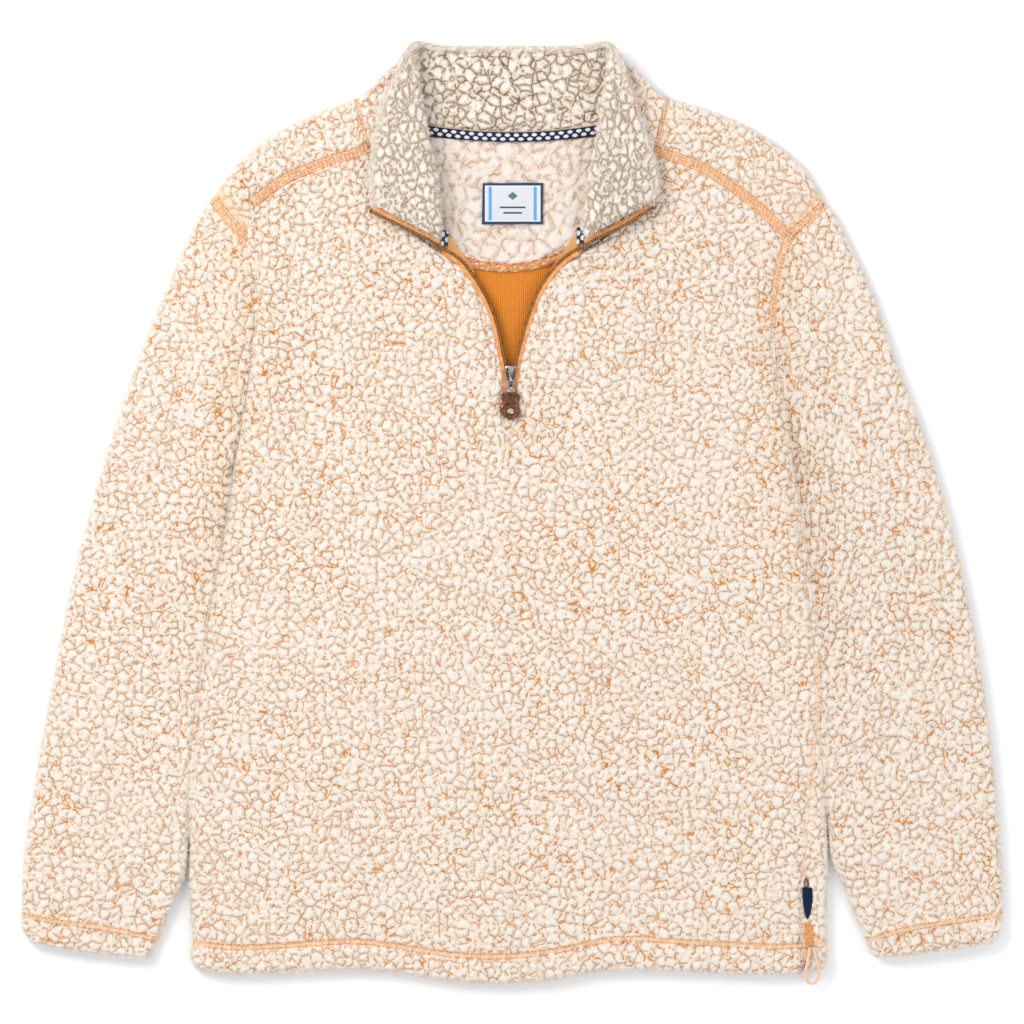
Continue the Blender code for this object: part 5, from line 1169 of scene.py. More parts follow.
def fleece(name, patches, finish, big, press, place=lambda points: points, calm=lambda points: 0.0):
    """A shell of fleece from patches, merged where their points coincide.

    A patch is its outer grid, its inner grid, the names of the borders that turn in and the depth of the pile
    as a share of PILE. The pattern is read at place(point), so that a piece may have narrower tufts, and
    calm(point) is how far its gaps are closed. A point of the shell is outer - normal * PILE * share *
    (1 - level), and level is the pattern's height, or about 0.45 where the cloth is pressed. The share halves
    low on the folds, where panels lie against each other. Where the cloth is steep, the pile of a fold fans
    out and closes the gaps. In the creases beside the sleeves the gaps are opened and the tufts darkened
    towards their foot colour, which is painted crease shade.
    """
    points, spread, flat, closed_and_crease_shade, faces = [], [], [], [], []
    count = 0
    for outer, inner, borders, share in patches:
        normal = grid_normal(outer)
        away = 1.0 if np.mean(np.sum(normal * (outer - inner), axis=-1)) > 0 else -1.0
        normal = normal * away
        pattern = place(outer)
        height = pile_height(pattern.reshape(-1, 3), big).reshape(outer.shape[:2])
        pressed = press(outer)
        steep = np.maximum(1 - ease((np.abs(normal[..., 2]) - 0.4) / 0.54), calm(outer))
        height = height + (0.8 - height) * 0.5 * steep
        level = height * (1 - pressed) + (0.35 + 0.2 * height) * pressed
        full = share * (0.5 + 0.5 * ease((outer[..., 2] - 5) / 5))
        cloth = outer - normal * (PILE * full * (1 - level))[..., None]
        quads = grid_faces(*outer.shape[:2], start=count)
        faces.append(quads if away > 0 else quads[:, ::-1])
        points.append(cloth.reshape(-1, 3))
        spread.append(pattern.reshape(-1, 3))
        flat.append(pressed.ravel())
        # Below zero in the creases beside the sleeves: painted crease shade for the material.
        closed_and_crease_shade.append((steep - 0.55 * crease_shade_share(outer) * (1 - steep)).ravel())
        count += outer.shape[0] * outer.shape[1]
        for border in borders:
            lip = edges_of(cloth)[border][0]
            fold, back = edges_of(inner)[border]
            rows = np.stack([lip, (lip + fold) / 2 + (lip - edges_of(cloth)[border][1]) * 0.06, fold, back])
            quads = grid_faces(*rows.shape[:2], start=count)
            turned = border in ("first_row", "last_column")
            faces.append(quads[:, ::-1] if turned == (away > 0) else quads)
            points.append(rows.reshape(-1, 3))
            spread.append(place(rows).reshape(-1, 3))
            flat.append(np.tile(edges_of(pressed[..., None])[border][0][:, 0], 4))
            closed_and_crease_shade.append(np.tile(edges_of(steep[..., None])[border][0][:, 0], 4))
            count += rows.shape[0] * rows.shape[1]
    points, spread, flat, closed_and_crease_shade, faces = (np.concatenate(part) for part in (points, spread, flat, closed_and_crease_shade, faces))
    _, first, number = np.unique(np.round(points, 3), axis=0, return_index=True, return_inverse=True)
    faces = number.ravel()[faces]
    faces = np.concatenate([faces[:, [0, 1, 2]], faces[:, [0, 2, 3]]])
    whole = (faces[:, 0] != faces[:, 1]) & (faces[:, 1] != faces[:, 2]) & (faces[:, 2] != faces[:, 0])
    piece = new_mesh(name, points[first], faces[whole], finish)
    keep_value(piece, "spread", spread[first] * MM)
    keep_value(piece, "pressed", flat[first])
    keep_value(piece, "closed_and_crease_shade", closed_and_crease_shade[first])
    print(name, "triangles:", int(whole.sum()))
    return piece

# %% [markdown]
# ## Where the cloth is pressed
#
# Rows of cover stitch hold the fleece flat in a band about nine millimetres wide along the shoulders and the
# top of the armholes, and in a narrower one at the hem and the cuffs. The amount pressed is 1 on the line of
# the seam and falls to 0 at the edge of the band.

# %% Lines of the sewn bands
HEM_LINE = [(-257, -344.6), (-230.9, -348.1), (-178.8, -346.4), (-118.1, -343.8), (-83.4, -349), (-40, -355),
            (-5.6, -355.6), (35, -351), (79.7, -342), (151.1, -344.7), (222.6, -347.4), (253, -344.7)]
CUFF_LEFT = [(-392.4, -322.7), (-367.3, -327.5), (-337.3, -331.3), (-310.6, -336), (-284, -342.4)]
CUFF_RIGHT = [(283, -342.8), (316, -333.8), (348.2, -328.4), (393.4, -321.8)]
ARM_LEFT = [(-238.6, 249.4), (-233.5, 243.2), (-222, 229.6), (-208, 213)]
ARM_RIGHT = [(248.6, 245.2), (238.4, 234.8), (222.5, 219.9), (217.4, 207), (213.4, 190), (209.6, 168), (208, 148)]
NECK_SEAM_LEFT = [(-123.6, 331), (-118.6, 310), (-113.2, 289.5)]
NECK_SEAM_RIGHT = [(123.4, 331.6), (118.8, 310), (113.5, 289)]
# Line, half-width of the band at its first and last point.
BANDS = {
    "shoulder_left": (SHOULDER_LEFT, 5.0, 5.0),
    "shoulder_right": (SHOULDER_RIGHT, 5.0, 5.0),
    "arm_left": (ARM_LEFT, 5.0, 5.0),
    "arm_right": (ARM_RIGHT, 5.4, 1.2),
    "neck_left": (NECK_SEAM_LEFT, 4.0, 4.6),
    "neck_right": (NECK_SEAM_RIGHT, 4.0, 4.6),
    "hem": (HEM_LINE, 2.8, 2.8),
    "cuff_left": (CUFF_LEFT, 2.8, 2.8),
    "cuff_right": (CUFF_RIGHT, 2.8, 2.8),
}
BODY_BANDS = ("hem", "shoulder_left", "shoulder_right", "arm_left", "arm_right")


def near_line(grid, table, half_first, half_last):
    """1 on the line, falling to 0 over the outer third of the band's half-width."""
    line = along(table, ramp(30))
    low, high = line.min(0) - 12, line.max(0) + 12
    x, y = grid[..., 0].ravel(), grid[..., 1].ravel()
    found = np.zeros(len(x))
    close = (x > low[0]) & (x < high[0]) & (y > low[1]) & (y < high[1])
    if close.any():
        away = distance_to(x[close], y[close], line)
        share = np.clip(np.hypot(x[close] - line[0, 0], y[close] - line[0, 1]) / np.hypot(*(line[-1] - line[0])), 0, 1)
        half = half_first + (half_last - half_first) * share
        found[close] = 1 - ease((away - half * 0.62) / (half * 0.38))
    return found.reshape(grid.shape[:2])


def sewn(grid, names):
    """The strongest of the named bands at each point, none on the underside of the garment."""
    found = np.maximum.reduce([near_line(grid, *BANDS[name]) for name in names])
    return found * ease((grid[..., 2] - 1.5) / 3.0)

# %% [markdown]
# ## The front
#
# The front is cut in one with a slit for the zip. Its grid runs from the middle to the side seam, closer at the
# slit, where the edge rounds down to the tape. The hem edge, the slit, the neck edge and the side turn in.

# %% Front
STEP = 2.25


def spaced_rows():
    """Rows of a body half: hem to the bottom of the slit, up the slit, then up the neck seam."""
    tall = SLIT_BOTTOM - float(hem_y(CENTRE_X))
    low = np.concatenate([[0, 0.7, 1.6, 2.8], np.arange(4.6, tall, STEP)]) / tall
    slit = 1 + np.concatenate([[0, 0.006, 0.014, 0.024], np.linspace(0.036, 1, 60)[:-1]])
    neck = 2 + ramp(46)
    return np.concatenate([low, slit, neck])


def make_front():
    """Both halves above and beside the slit, and the patch of cloth that closes its lower end."""
    rows = spaced_rows()
    near = np.array([0.0, 0.5, 1.3, 2.6, 4.2, 6.0])
    middle = ramp(92)[1:]
    fold = np.concatenate([ramp(14)[1:-1], [0.965, 1.0]])
    patches = []
    for side in (LEFT, RIGHT):
        outer, inner = front_half(side, near, middle, fold, rows)
        slit = int(np.sum(rows < 1))
        body = outer[:slit + 1], inner[:slit + 1], ("first_row", "last_column"), 1.0
        top = outer[slit:], inner[slit:], ("first_column", "last_row"), 1.0
        patches += [body, top]
    x, y = np.meshgrid(np.linspace(-7.0, 5.0, 8), np.linspace(80.0, 60.0, 12))
    level = body_top(x, y, y - hem_y(x)) - 0.3 - 0.03 * (x - CENTRE_X) ** 2
    end = np.dstack([x, y, level - 1.6 * ease((y - 73) / 6)])
    patches.append((end, end - (0, 0, 3.0), (), 0.8))
    press = lambda grid: sewn(grid, BODY_BANDS)
    edge = outer[:slit + 1, -1, :2]
    seam = edge[(edge[:, 1] > -352) & (edge[:, 1] < -98)][::8]
    low = edge[(edge[:, 1] < -346) & (edge[:, 1] > -360.5)][::2]
    return dress(fleece("front_fleece", patches, BODY_SHERPA, TUFT, press), "sherpa", "front"), seam, low


front, SIDE_SEAM, HEM_SEAM = make_front()

# %% [markdown]
# ## The back
#
# Hardly any of the back faces up: its two shoulder pieces, which come over the top to the forward seams, the
# strips that wrap round the side folds, and the knitted inside of the cloth behind the open zip. The sheet in
# between lies on the table and stays coarse, and only the parts in view get a fine grid.

# %% Back
def make_back_pieces():
    """The coarse sheet with its two faces, and the fine wraps and shoulder pieces."""
    tall = UNDERARM_Y - SIDE_LEFT[0][1]
    below = np.concatenate([[0, 1.2, 3.5], np.arange(9, 375, 12.0), [384, 390, 396]]) / tall
    below = below[below < 1]
    rows = np.concatenate([below, 1 + ramp(24)])
    fine_rows = np.concatenate([[0, 0.7, 1.6, 2.8], np.arange(4.6, 384, STEP), [384.0]]) / tall
    middle = (ramp(9), ramp(9)[1:])
    fine_middle = (ramp(9), ramp(62)[1:])
    fold = np.array([0.35, 0.6, 0.75, 0.88, 1.0])
    fine_fold = ramp(19)[1:]
    sheets, patches = [], []
    for side in (LEFT, RIGHT):
        sheet_outer, sheet_inner = back_half(side, middle, fold, rows, ramp(4))[0]
        flat = sheet_outer.shape[1] - len(fold)
        sheets.append((sheet_outer[:, :flat], sheet_inner[:, :flat]))
        wrap_outer, wrap_inner = back_half(side, middle, fine_fold, np.append(fine_rows, [1.02, 2.0]), ramp(4))[0]
        first = wrap_outer.shape[1] - len(fine_fold) - 1
        patches.append((wrap_outer[:-2, first:], wrap_inner[:-2, first:], ("first_row",), 0.9))
        short = np.array([1.0])
        over, under = back_half(side, fine_middle, short, rows, ramp(30))[1]
        patches.append((over[1:], under[1:], ("last_row", "first_column"), 1.0))
    return sheets, patches


# Pitch of the ribs and of the loops in metres.
RIB_PITCH = 0.0017
LOOP_PITCH = 0.0014


def knit_finish(name, deep, light):
    """Rib knit: fine upright ribs with a stitch pattern between them, as the inside of the cloth."""
    made = Finish(name, 0.9, Sheen_Weight=0.15, Sheen_Roughness=0.6, Specular_IOR_Level=0.15)
    place = made.place()
    x, y, _ = made.axes(place)
    across = made.line(x, 2 * math.pi / RIB_PITCH, made.times(made.noise(place, 60.0), 1.6))
    rib = made.swing(across)
    loops = made.swing(made.line(y, 2 * math.pi / LOOP_PITCH, made.times(made.maths("COSINE", across), 1.2)))
    fuzz = made.noise(place, 1100.0)
    colour = made.mix(rib, deep, light)
    colour = made.mix(made.times(made.maths("SUBTRACT", 1.0, loops), 0.35), colour, (205, 112, 36))
    colour = made.mix(made.step(fuzz, 0.4, 0.7, 0.25, 0.0), colour, (190, 100, 34))
    relief = made.bump(made.line(loops, 0.4, rib), 0.0004, 0.8)
    return made.close(Base_Color=colour, Normal=made.bump(fuzz, 0.0002, 0.6, relief))


ORANGE_KNIT = knit_finish("orange_rib_knit", (214, 121, 27), (247, 160, 56))


def make_back():
    """The fleece that faces up, and the knitted side of the cloth as a sheet of its own."""
    sheets, patches = make_back_pieces()
    points, faces, count = [], [], 0
    for outer, inner in sheets:
        for grid, other, lift in ((outer, inner, 0.25), (inner, outer, 0.0)):
            normal = grid_normal(grid)
            sign = 1.0 if np.mean(np.sum(normal * (grid - other), axis=-1)) > 0 else -1.0
            quads = grid_faces(*grid.shape[:2], start=count)
            points.append((grid - sign * normal * lift).reshape(-1, 3))
            faces.append(quads if sign > 0 else quads[:, ::-1])
            count += grid.shape[0] * grid.shape[1]
    knit = new_mesh("back_knit_side", np.concatenate(points), np.concatenate(faces), ORANGE_KNIT)
    press = lambda grid: sewn(grid, (*BODY_BANDS, "neck_left", "neck_right"))
    back = fleece("back_fleece", patches, BODY_SHERPA, TUFT, press)
    dress(back, "sherpa", "back")
    dress(knit, "orange_knit", "back")
    return back, knit


back, knit = make_back()

# %% [markdown]
# ## The sleeves
#
# A sleeve is a tube laid flat: rings of points run from the armhole to the cuff, and each ring goes over the top
# sheet, round the inner fold, back underneath and round the outer fold. The fine steps are on top and in the
# folds. The cuff turns in like the hem.

# %% Sleeves
def sleeve_rings(side):
    """Outer and inner points of all rings at once. Distances run along each ring from the middle of the top."""
    long = length(side.outer)
    from_end = np.array([1.6, 0.7, 0])
    t = np.concatenate([[0, 0.004], np.linspace(0.008, 1 - 3.2 / long, 250), 1 - from_end / long])
    half_top = ramp(27)[:-1]
    turn = np.concatenate([np.linspace(1.0, -0.55, 9), [-1.0]]) * SLEEVE_QUARTER
    half_low = np.array([0.5])
    edges = sleeve_plan(side, t, np.zeros(len(t))) - sleeve_plan(side, t, np.ones(len(t)))
    span = np.linalg.norm(edges, axis=1)[:, None]
    level = span / 2 - SLEEVE_FOLD
    ways = np.concatenate([SLEEVE_QUARTER + level * (1 - half_top), np.tile(turn, (len(t), 1)),
                           -(SLEEVE_QUARTER + level * half_low)], axis=1)
    station = np.repeat(t[:, None], ways.shape[1], axis=1)
    away = (1 - station) * long
    share = (0.3 + 0.7 * quarter_round(away / HEM_ROUND))[..., None]
    from_edge = sleeve_section(ways, SLEEVE_TOP, SLEEVE_WALL)[0]
    halves = []
    for flip in (False, True):
        w = 1 - from_edge / span if flip else from_edge / span
        plan = sleeve_plan(side, station, w)
        top = sleeve_top(plan[..., 0], plan[..., 1], side, away)
        outer_in, inner_in, outer_z, inner_z = sleeve_section(ways, top, SLEEVE_WALL)
        both = []
        for inset, z in ((outer_in, outer_z), (inner_in, inner_z)):
            w = 1 - inset / span if flip else inset / span
            both.append(np.dstack([sleeve_plan(side, station, w), z]))
        middle = (both[0] + both[1]) / 2
        halves.append([middle + (face - middle) * share for face in both])
    return [np.concatenate([first[:, ::-1], second[:, 1:], first[:, -1:]], axis=1) for first, second in zip(*halves)]


def make_sleeve(side):
    """A tube of rings, open at the armhole and turned in at the cuff."""
    outer, inner = sleeve_rings(side)
    press = lambda grid: sewn(grid, ("arm_" + side.word, "cuff_" + side.word))
    shell = fleece("sleeve_fleece_" + side.word, [(outer, inner, ("last_row",), 1.0)], BODY_SHERPA, TUFT, press)
    return dress(shell, "sherpa", "sleeve_" + side.word)


sleeves = [make_sleeve(side) for side in (LEFT, RIGHT)]

# %% [markdown]
# ## The collar
#
# The stand collar is two layers of fleece sewn together at the top edge. Its path rises from the neck seam, rolls
# over and comes down outside, so that the inner layer faces up on the flaps. The stations of the path are joined
# by a smooth curve. The inner layer is brushed into larger, greyer tufts.

# %% Collar
EDGE_RADIUS = 3.6


def relaxed(line, rounds):
    """A line with each point moved many times to the mean of itself and its two neighbours."""
    line = line.copy()
    for _ in range(rounds):
        line[1:-1] = (line[:-2] + line[1:-1] + line[2:]) / 3
    return line


def settled(face, grid):
    """The face of a layer with its sharpest places relaxed towards their neighbours, as thick pile would be."""
    x, y = np.abs(grid[..., 0]), grid[..., 1]
    fold = np.exp(-(distance_to(x, y, np.array(COLLAR_FOLD)) / 14.0) ** 2)
    weight = np.clip(np.maximum(corner_nearness(grid) * 1.5, fold), 0, 1)[..., None]
    for _ in range(30):
        mean = face.copy()
        mean[1:-1] = (face[:-2] + 2 * face[1:-1] + face[2:]) / 4
        mean[:, 1:-1] = (mean[:, :-2] + 2 * mean[:, 1:-1] + mean[:, 2:]) / 4
        face = face + (mean - face) * weight
    return face


def flap_share(points):
    """1 on the flaps, which lie high, falling to 0 on the back of the collar."""
    return ease((points[..., 2] - 10.0) / 5.0)


def narrowed(points):
    """Places for the pattern: x' = x + 0.35 flap (x - 78 sign x), so tufts on the flaps are narrower than tall."""
    x = points[..., 0]
    return np.stack([x + 0.35 * flap_share(points) * (x - 78.0 * np.sign(x)), points[..., 1], points[..., 2]], axis=-1)


def edge_roll(line, before):
    """The thick pile at the sewn edge of the two layers: rings round the edge line, fuller at the back's corners.

    The rings shrink towards the front ends of the collar, where the edge runs out into the neck seam.
    """
    outward = unit(relaxed(unit(line - before), 40))
    line = relaxed(line, 40)
    full = np.exp(-((np.abs(line[:, :1]) - 76.0) / 13.0) ** 2) * (line[:, 1:2] > 350)
    step = np.linalg.norm(np.diff(line, axis=0), axis=1)
    travel = np.concatenate([[0], np.cumsum(step)])
    end = quarter_round(np.minimum(travel, travel[-1] - travel) / END_ROUND_OFF)[:, None]
    line = line + outward * (4.6 * full - 0.8 * EDGE_RADIUS)
    turn = np.linspace(0, 2 * math.pi, 17)
    other = np.cross(unit(np.gradient(line, axis=0)), outward)
    spoke = outward[:, None] * np.cos(turn)[:, None] + other[:, None] * np.sin(turn)[:, None]
    size = (EDGE_RADIUS * (0.3 + 0.7 * end))[:, None]
    return line[:, None] + spoke * size, line[:, None] + spoke * size * 0.2, (), 0.5


def make_collar_layer(name, sign, finish, big, slot_name, replaced):
    """One of the two layers: the middle of the collar moved along its normal, by sign to the one face or the other."""
    grid = collar_middle(9)
    normal = -grid_normal(grid)
    shares = collar_shares(grid)[..., None]
    near = GAP / 2 + 0.05 + CORNER_OPEN * corner_nearness(grid)[..., None]
    far = near + COLLAR_WALL * shares
    depth = np.clip(0.62 * COLLAR_WALL * shares[..., 0] / PILE, 0, 0.95)
    borders = ("first_row", "last_row", "first_column", "last_column")
    outer = settled(grid + sign * normal * far, grid)
    patches = [(outer, settled(grid + sign * normal * near, grid), borders, depth)]
    if sign < 0:
        return dress(fleece(name, patches, finish, big, unpressed), slot_name, replaced)
    patches.append(edge_roll(grid[:, -1], grid[:, -5]))
    edge = relaxed(grid[:, -1, :2], 14)

    def press(points):
        away = distance_to(points[..., 0].ravel(), points[..., 1].ravel(), edge).reshape(points.shape[:2])
        return 0.8 * (1 - ease((away - 2.5) / 4.0))

    calm = lambda points: 0.5 * flap_share(points)
    return dress(fleece(name, patches, finish, big, press, narrowed, calm), slot_name, replaced)


collar_outer = make_collar_layer("collar_outer_fleece", -1, BODY_SHERPA, TUFT, "sherpa", "collar_outer")
collar_inner = make_collar_layer("collar_inner_fleece", 1, COLLAR_SHERPA, COLLAR_TUFT, "collar_sherpa", "collar_inner")

# %% Sizes of the trims inside the neck
FACING_UNDER = 5.1
FACING_TOP = 8.4
FACING_LOW = [(-94, 286), (-84, 254), (-66, 221), (-37.6, 203.6), (0, 198.3), (37.4, 206.6),
              (66, 221), (84, 254), (94, 286)]
FACING_HIGH = [(-94, 303), (-68, 300.4), (-30, 297.4), (0, 296.4), (30, 297.4), (68, 300.4),
               (94, 303)]
BINDING_WIDTH = 6.0
BINDING_TOP = 8.2
TAPE_WIDTH = 7.0
TAPE_LINE = [(-70, 305.6), (-35, 301.4), (0, 300), (35, 301.4), (70, 305.6)]
TAPE_BASE = 9.2
TAPE_THICK = 0.9
TAPE_END_LEFT = [(-54.6, 214), (-53.4, 223.4)]
TAPE_END_RIGHT = [(54.4, 215.6), (54.8, 226.4)]
LABEL = (-23.8, 230.3, 24.9, 263.4)
LABEL_BASE = 8.9
LABEL_THICK = 0.9
PLACKET_LEFT = [(-50.6, 221.6), (-43.6, 211.6), (-36.4, 202.4), (-29.6, 191.4)]
PLACKET_RIGHT = [(51.2, 222.6), (44, 212.6), (36.8, 203.6), (29.6, 192.6)]
PLACKET_BASE = 9.1
PLACKET_THICK = 0.8

# %% [markdown]
# ## Solids through rings of points
#
# The small trims are all made the same way: a ring of points is moved along a line and changes as it goes, the
# rings are joined by faces, and each end is closed by a fan. Threads are the same thing on a tiny scale, many of
# them in one mesh.

# %% Rings, ribbons and threads
def solid(rings):
    """Points and triangles of a closed solid through rings with as many points as each other."""
    rings = np.asarray(rings, float)
    count, around = rings.shape[:2]
    points = np.concatenate([rings.reshape(-1, 3), rings[[0, -1]].mean(axis=1)])
    number = np.arange(count * around).reshape(count, around)
    number = np.concatenate([np.full((1, around), count * around), number, np.full((1, around), count * around + 1)])
    number = np.concatenate([number, number[:, :1]], axis=1)
    quads = np.stack([number[:-1, :-1], number[:-1, 1:], number[1:, 1:], number[1:, :-1]], axis=-1).reshape(-1, 4)
    faces = np.concatenate([quads[:, [0, 1, 2]], quads[:, [0, 2, 3]]])
    faces = faces[(faces[:, 0] != faces[:, 1]) & (faces[:, 1] != faces[:, 2]) & (faces[:, 2] != faces[:, 0])]
    a, b, c = points[faces].transpose(1, 0, 2) - points.mean(axis=0)
    return points, faces if np.sum(a * np.cross(b, c)) > 0 else faces[:, ::-1]


def assemble(name, solids, finish, sharp=40.0):
    """One object of several solids, with an edge kept sharp where it is steeper than the angle."""
    start = np.cumsum([0] + [len(points) for points, _ in solids])
    made = new_mesh(name, np.concatenate([points for points, _ in solids]),
                    np.concatenate([faces + first for (_, faces), first in zip(solids, start)]), finish)
    made.data.set_sharp_from_angle(angle=math.radians(sharp))
    return made


def rounded(width, height, radius, steps=4):
    """Outline of a rounded rectangle about its middle, as rows of across and up."""
    turn = np.linspace(0, math.pi / 2, steps)
    arc = np.stack([np.cos(turn), np.sin(turn)], axis=1) * radius
    inset = np.array([width / 2 - radius, height / 2 - radius])
    corners = []
    for across, up, flip in ((1, 1, False), (-1, 1, True), (-1, -1, False), (1, -1, True)):
        part = (arc[::-1] if flip else arc) * (across, up) + inset * (across, up)
        corners.append(part)
    return np.concatenate(corners)


def swept(line, width, height, radius, steps=4, taper=()):
    """Rings of a rounded bar along a line. Each section is upright, and taper gives the share of width at each."""
    line = np.asarray(line, float)
    way = unit(np.gradient(line, axis=0))
    side = unit(np.cross((0, 0, 1.0), way))
    up = np.cross(way, side)
    section = rounded(width, height, radius, steps)
    share = np.ones(len(line)) if len(taper) == 0 else np.asarray(taper, float)
    return (line[:, None] + side[:, None] * section[None, :, :1] * share[:, None, None]
            + up[:, None] * section[None, :, 1:] * share[:, None, None] ** 0.5)


THREAD_SHARES = np.array([0.0, 0.06, 0.25, 0.5, 0.75, 0.94, 1.0])
THREAD_FORM = np.array([0.2, 0.75, 1.0, 1.0, 1.0, 0.75, 0.2])


def threads(name, start, end, wide, finish, rise=0.0, seed=1, flat=1.0):
    """Short threads from start to end, arched by rise, each with a tone of its own from 0 to 1."""
    turn = np.arange(6) * math.pi / 3
    way = unit(end - start)
    side = unit(np.cross(way, (0, 0, 1.0)))
    up = np.cross(side, way)
    centre = start[:, None] + (end - start)[:, None] * THREAD_SHARES[:, None]
    centre = centre + up[:, None] * (rise * np.sin(math.pi * THREAD_SHARES))[:, None]
    ring = (side[:, None, None] * np.cos(turn)[:, None] + up[:, None, None] * np.sin(turn)[:, None] * flat)
    points = centre[:, :, None] + ring * (THREAD_FORM * wide / 2)[:, None, None]
    count = len(start)
    one = grid_faces(len(THREAD_SHARES), 6, wrap=True)[:, ::-1]
    faces = (one[None] + np.arange(count)[:, None, None] * points.shape[1] * 6).reshape(-1, 4)
    made = new_mesh(name, points.reshape(-1, 3), faces, finish)
    tone = np.random.default_rng(seed).uniform(0, 1, count)
    keep_value(made, "tone", np.repeat(tone, points.shape[1] * 6))
    return made


def drop_onto(places, pieces):
    """Height of the highest of the pieces under each place in plan."""
    bpy.context.view_layer.update()
    top = np.full(len(places), -1.0)
    for piece in pieces:
        hits = [piece.ray_cast((x * MM, y * MM, 0.1), (0, 0, -1)) for x, y in places]
        top = np.maximum(top, [hit[1].z / MM if hit[0] else -1.0 for hit in hits])
    return top


def stitch_row(line, offset, long, pitch, pieces, seed, lift=0.1):
    """Starts and ends of a row of stitches beside a line, uneven by a tenth, lying on the cloth."""
    path = beside(along(line, ramp(240)), offset)
    reach = float(np.linalg.norm(np.diff(path, axis=0), axis=1).sum())
    luck = np.random.default_rng(seed)
    first = np.arange(0.2, reach - long, pitch)
    first = first + luck.uniform(-0.1, 0.1, len(first)) * pitch
    last = first + long * luck.uniform(0.88, 1.05, len(first))
    sway = luck.uniform(-0.22, 0.22, (2, len(first)))
    ends = []
    for place, across in zip((first, last), sway):
        plan = evenly(path, place / reach)
        ahead = evenly(path, (place + 0.5) / reach) - plan
        plan = plan + unit(np.stack([-ahead[:, 1], ahead[:, 0]], axis=1)) * across[:, None]
        level = drop_onto(plan, pieces)
        wide = np.pad(level, 2, mode="edge")
        level = np.mean([wide[k:k + len(level)] for k in range(5)], axis=0)
        ends.append(np.column_stack([plan, level + lift]))
    return ends[0], ends[1]


def thread_finish(name, dark, light):
    """Twisted thread: a tone for each stitch, and fine slanted plies as bump."""
    made = Finish(name, 0.7, Sheen_Weight=0.2, Sheen_Roughness=0.5, Specular_IOR_Level=0.3)
    plies = made.stripes(made.place(), 900.0, 1.0, Detail=1.0)
    colour = made.mix(made.times(plies, 0.25), made.mix(made.kept("tone"), dark, light), dark)
    return made.close(Base_Color=colour, Normal=made.bump(plies, 0.0002, 0.6))


ORANGE_THREAD = thread_finish("orange_thread", (216, 118, 50), (240, 158, 92))
PEACH_THREAD = thread_finish("peach_thread", (238, 178, 128), (252, 226, 200))
BEIGE_THREAD = thread_finish("beige_thread", (196, 166, 132), (226, 204, 178))
SERGE_THREAD = thread_finish("serge_thread", (230, 152, 88), (250, 202, 152))
AMBER_THREAD = thread_finish("amber_thread", (218, 138, 64), (248, 190, 124))
BROWN_THREAD = thread_finish("brown_thread", (84, 50, 30), (120, 78, 48))

# %% [markdown]
# ## Inside the neck
#
# The back of the neck is faced with a half-moon of the same fleece. Its lower edge is overlocked: the needle
# threads wrap round the edge in close loops over a soft bulge of pile. A woven tape covers the seam of the
# collar, with a lattice that leaves two staggered rows of pale ovals. The label lies on the facing.

# %% Facing and its overlocked edge
def make_facing():
    """The half-moon: straight lines from its high edge to its low one, rounded over at the low edge."""
    s = ramp(116)
    high, low = along(FACING_HIGH, s), along(FACING_LOW, s)
    low = low + unit(high - low) * 0.4
    share = ramp(50)[:, None, None]
    plan = high * (1 - share) + low * share
    away = np.linalg.norm(high - low, axis=1) * (1 - share[..., 0])
    rounding = 0.45 + 0.55 * quarter_round((away + 0.4) / 3.0)
    swell = 0.25 * np.sin(plan[..., 0] * 0.09 + 1.0) * np.sin(plan[..., 1] * 0.13)
    top = FACING_UNDER + (FACING_TOP - FACING_UNDER + swell) * rounding
    outer = np.dstack([plan, top])
    inner = np.dstack([plan, np.full(top.shape, FACING_UNDER)])
    facing = fleece("facing_fleece", [(outer, inner, ("last_row",), 0.8)], FACING_SHERPA, FACING_TUFT, unpressed)
    return dress(facing, "sherpa", "neck_facing")


SERGE_SPAN = (0.27, 0.73)
SERGE_TUFT = 0.0042
SERGE_SHERPA = sherpa("serged_pile", (252, 228, 202), (247, 204, 160), (238, 176, 118),
                      (222, 138, 72), (196, 108, 48), (240, 172, 112), SERGE_TUFT)
# Each loop from and to: share of the binding's width, and how far it slants.
SERGE_LOOPS = [((0.3, 0), (0.46, 0.9)), ((0.5, 0), (0.74, -0.8)), ((0.76, 0), (0.97, 0.7))]
CORD_SHARES = (-0.04, 0.2, 0.42, 0.66)


def serged_rise(share):
    """Height of the bulge over its foot, from the upper edge (0) to the lower one (1)."""
    return (BINDING_TOP - FACING_UNDER) * np.sin(math.pi * (0.1 + 0.88 * share)) ** 0.6


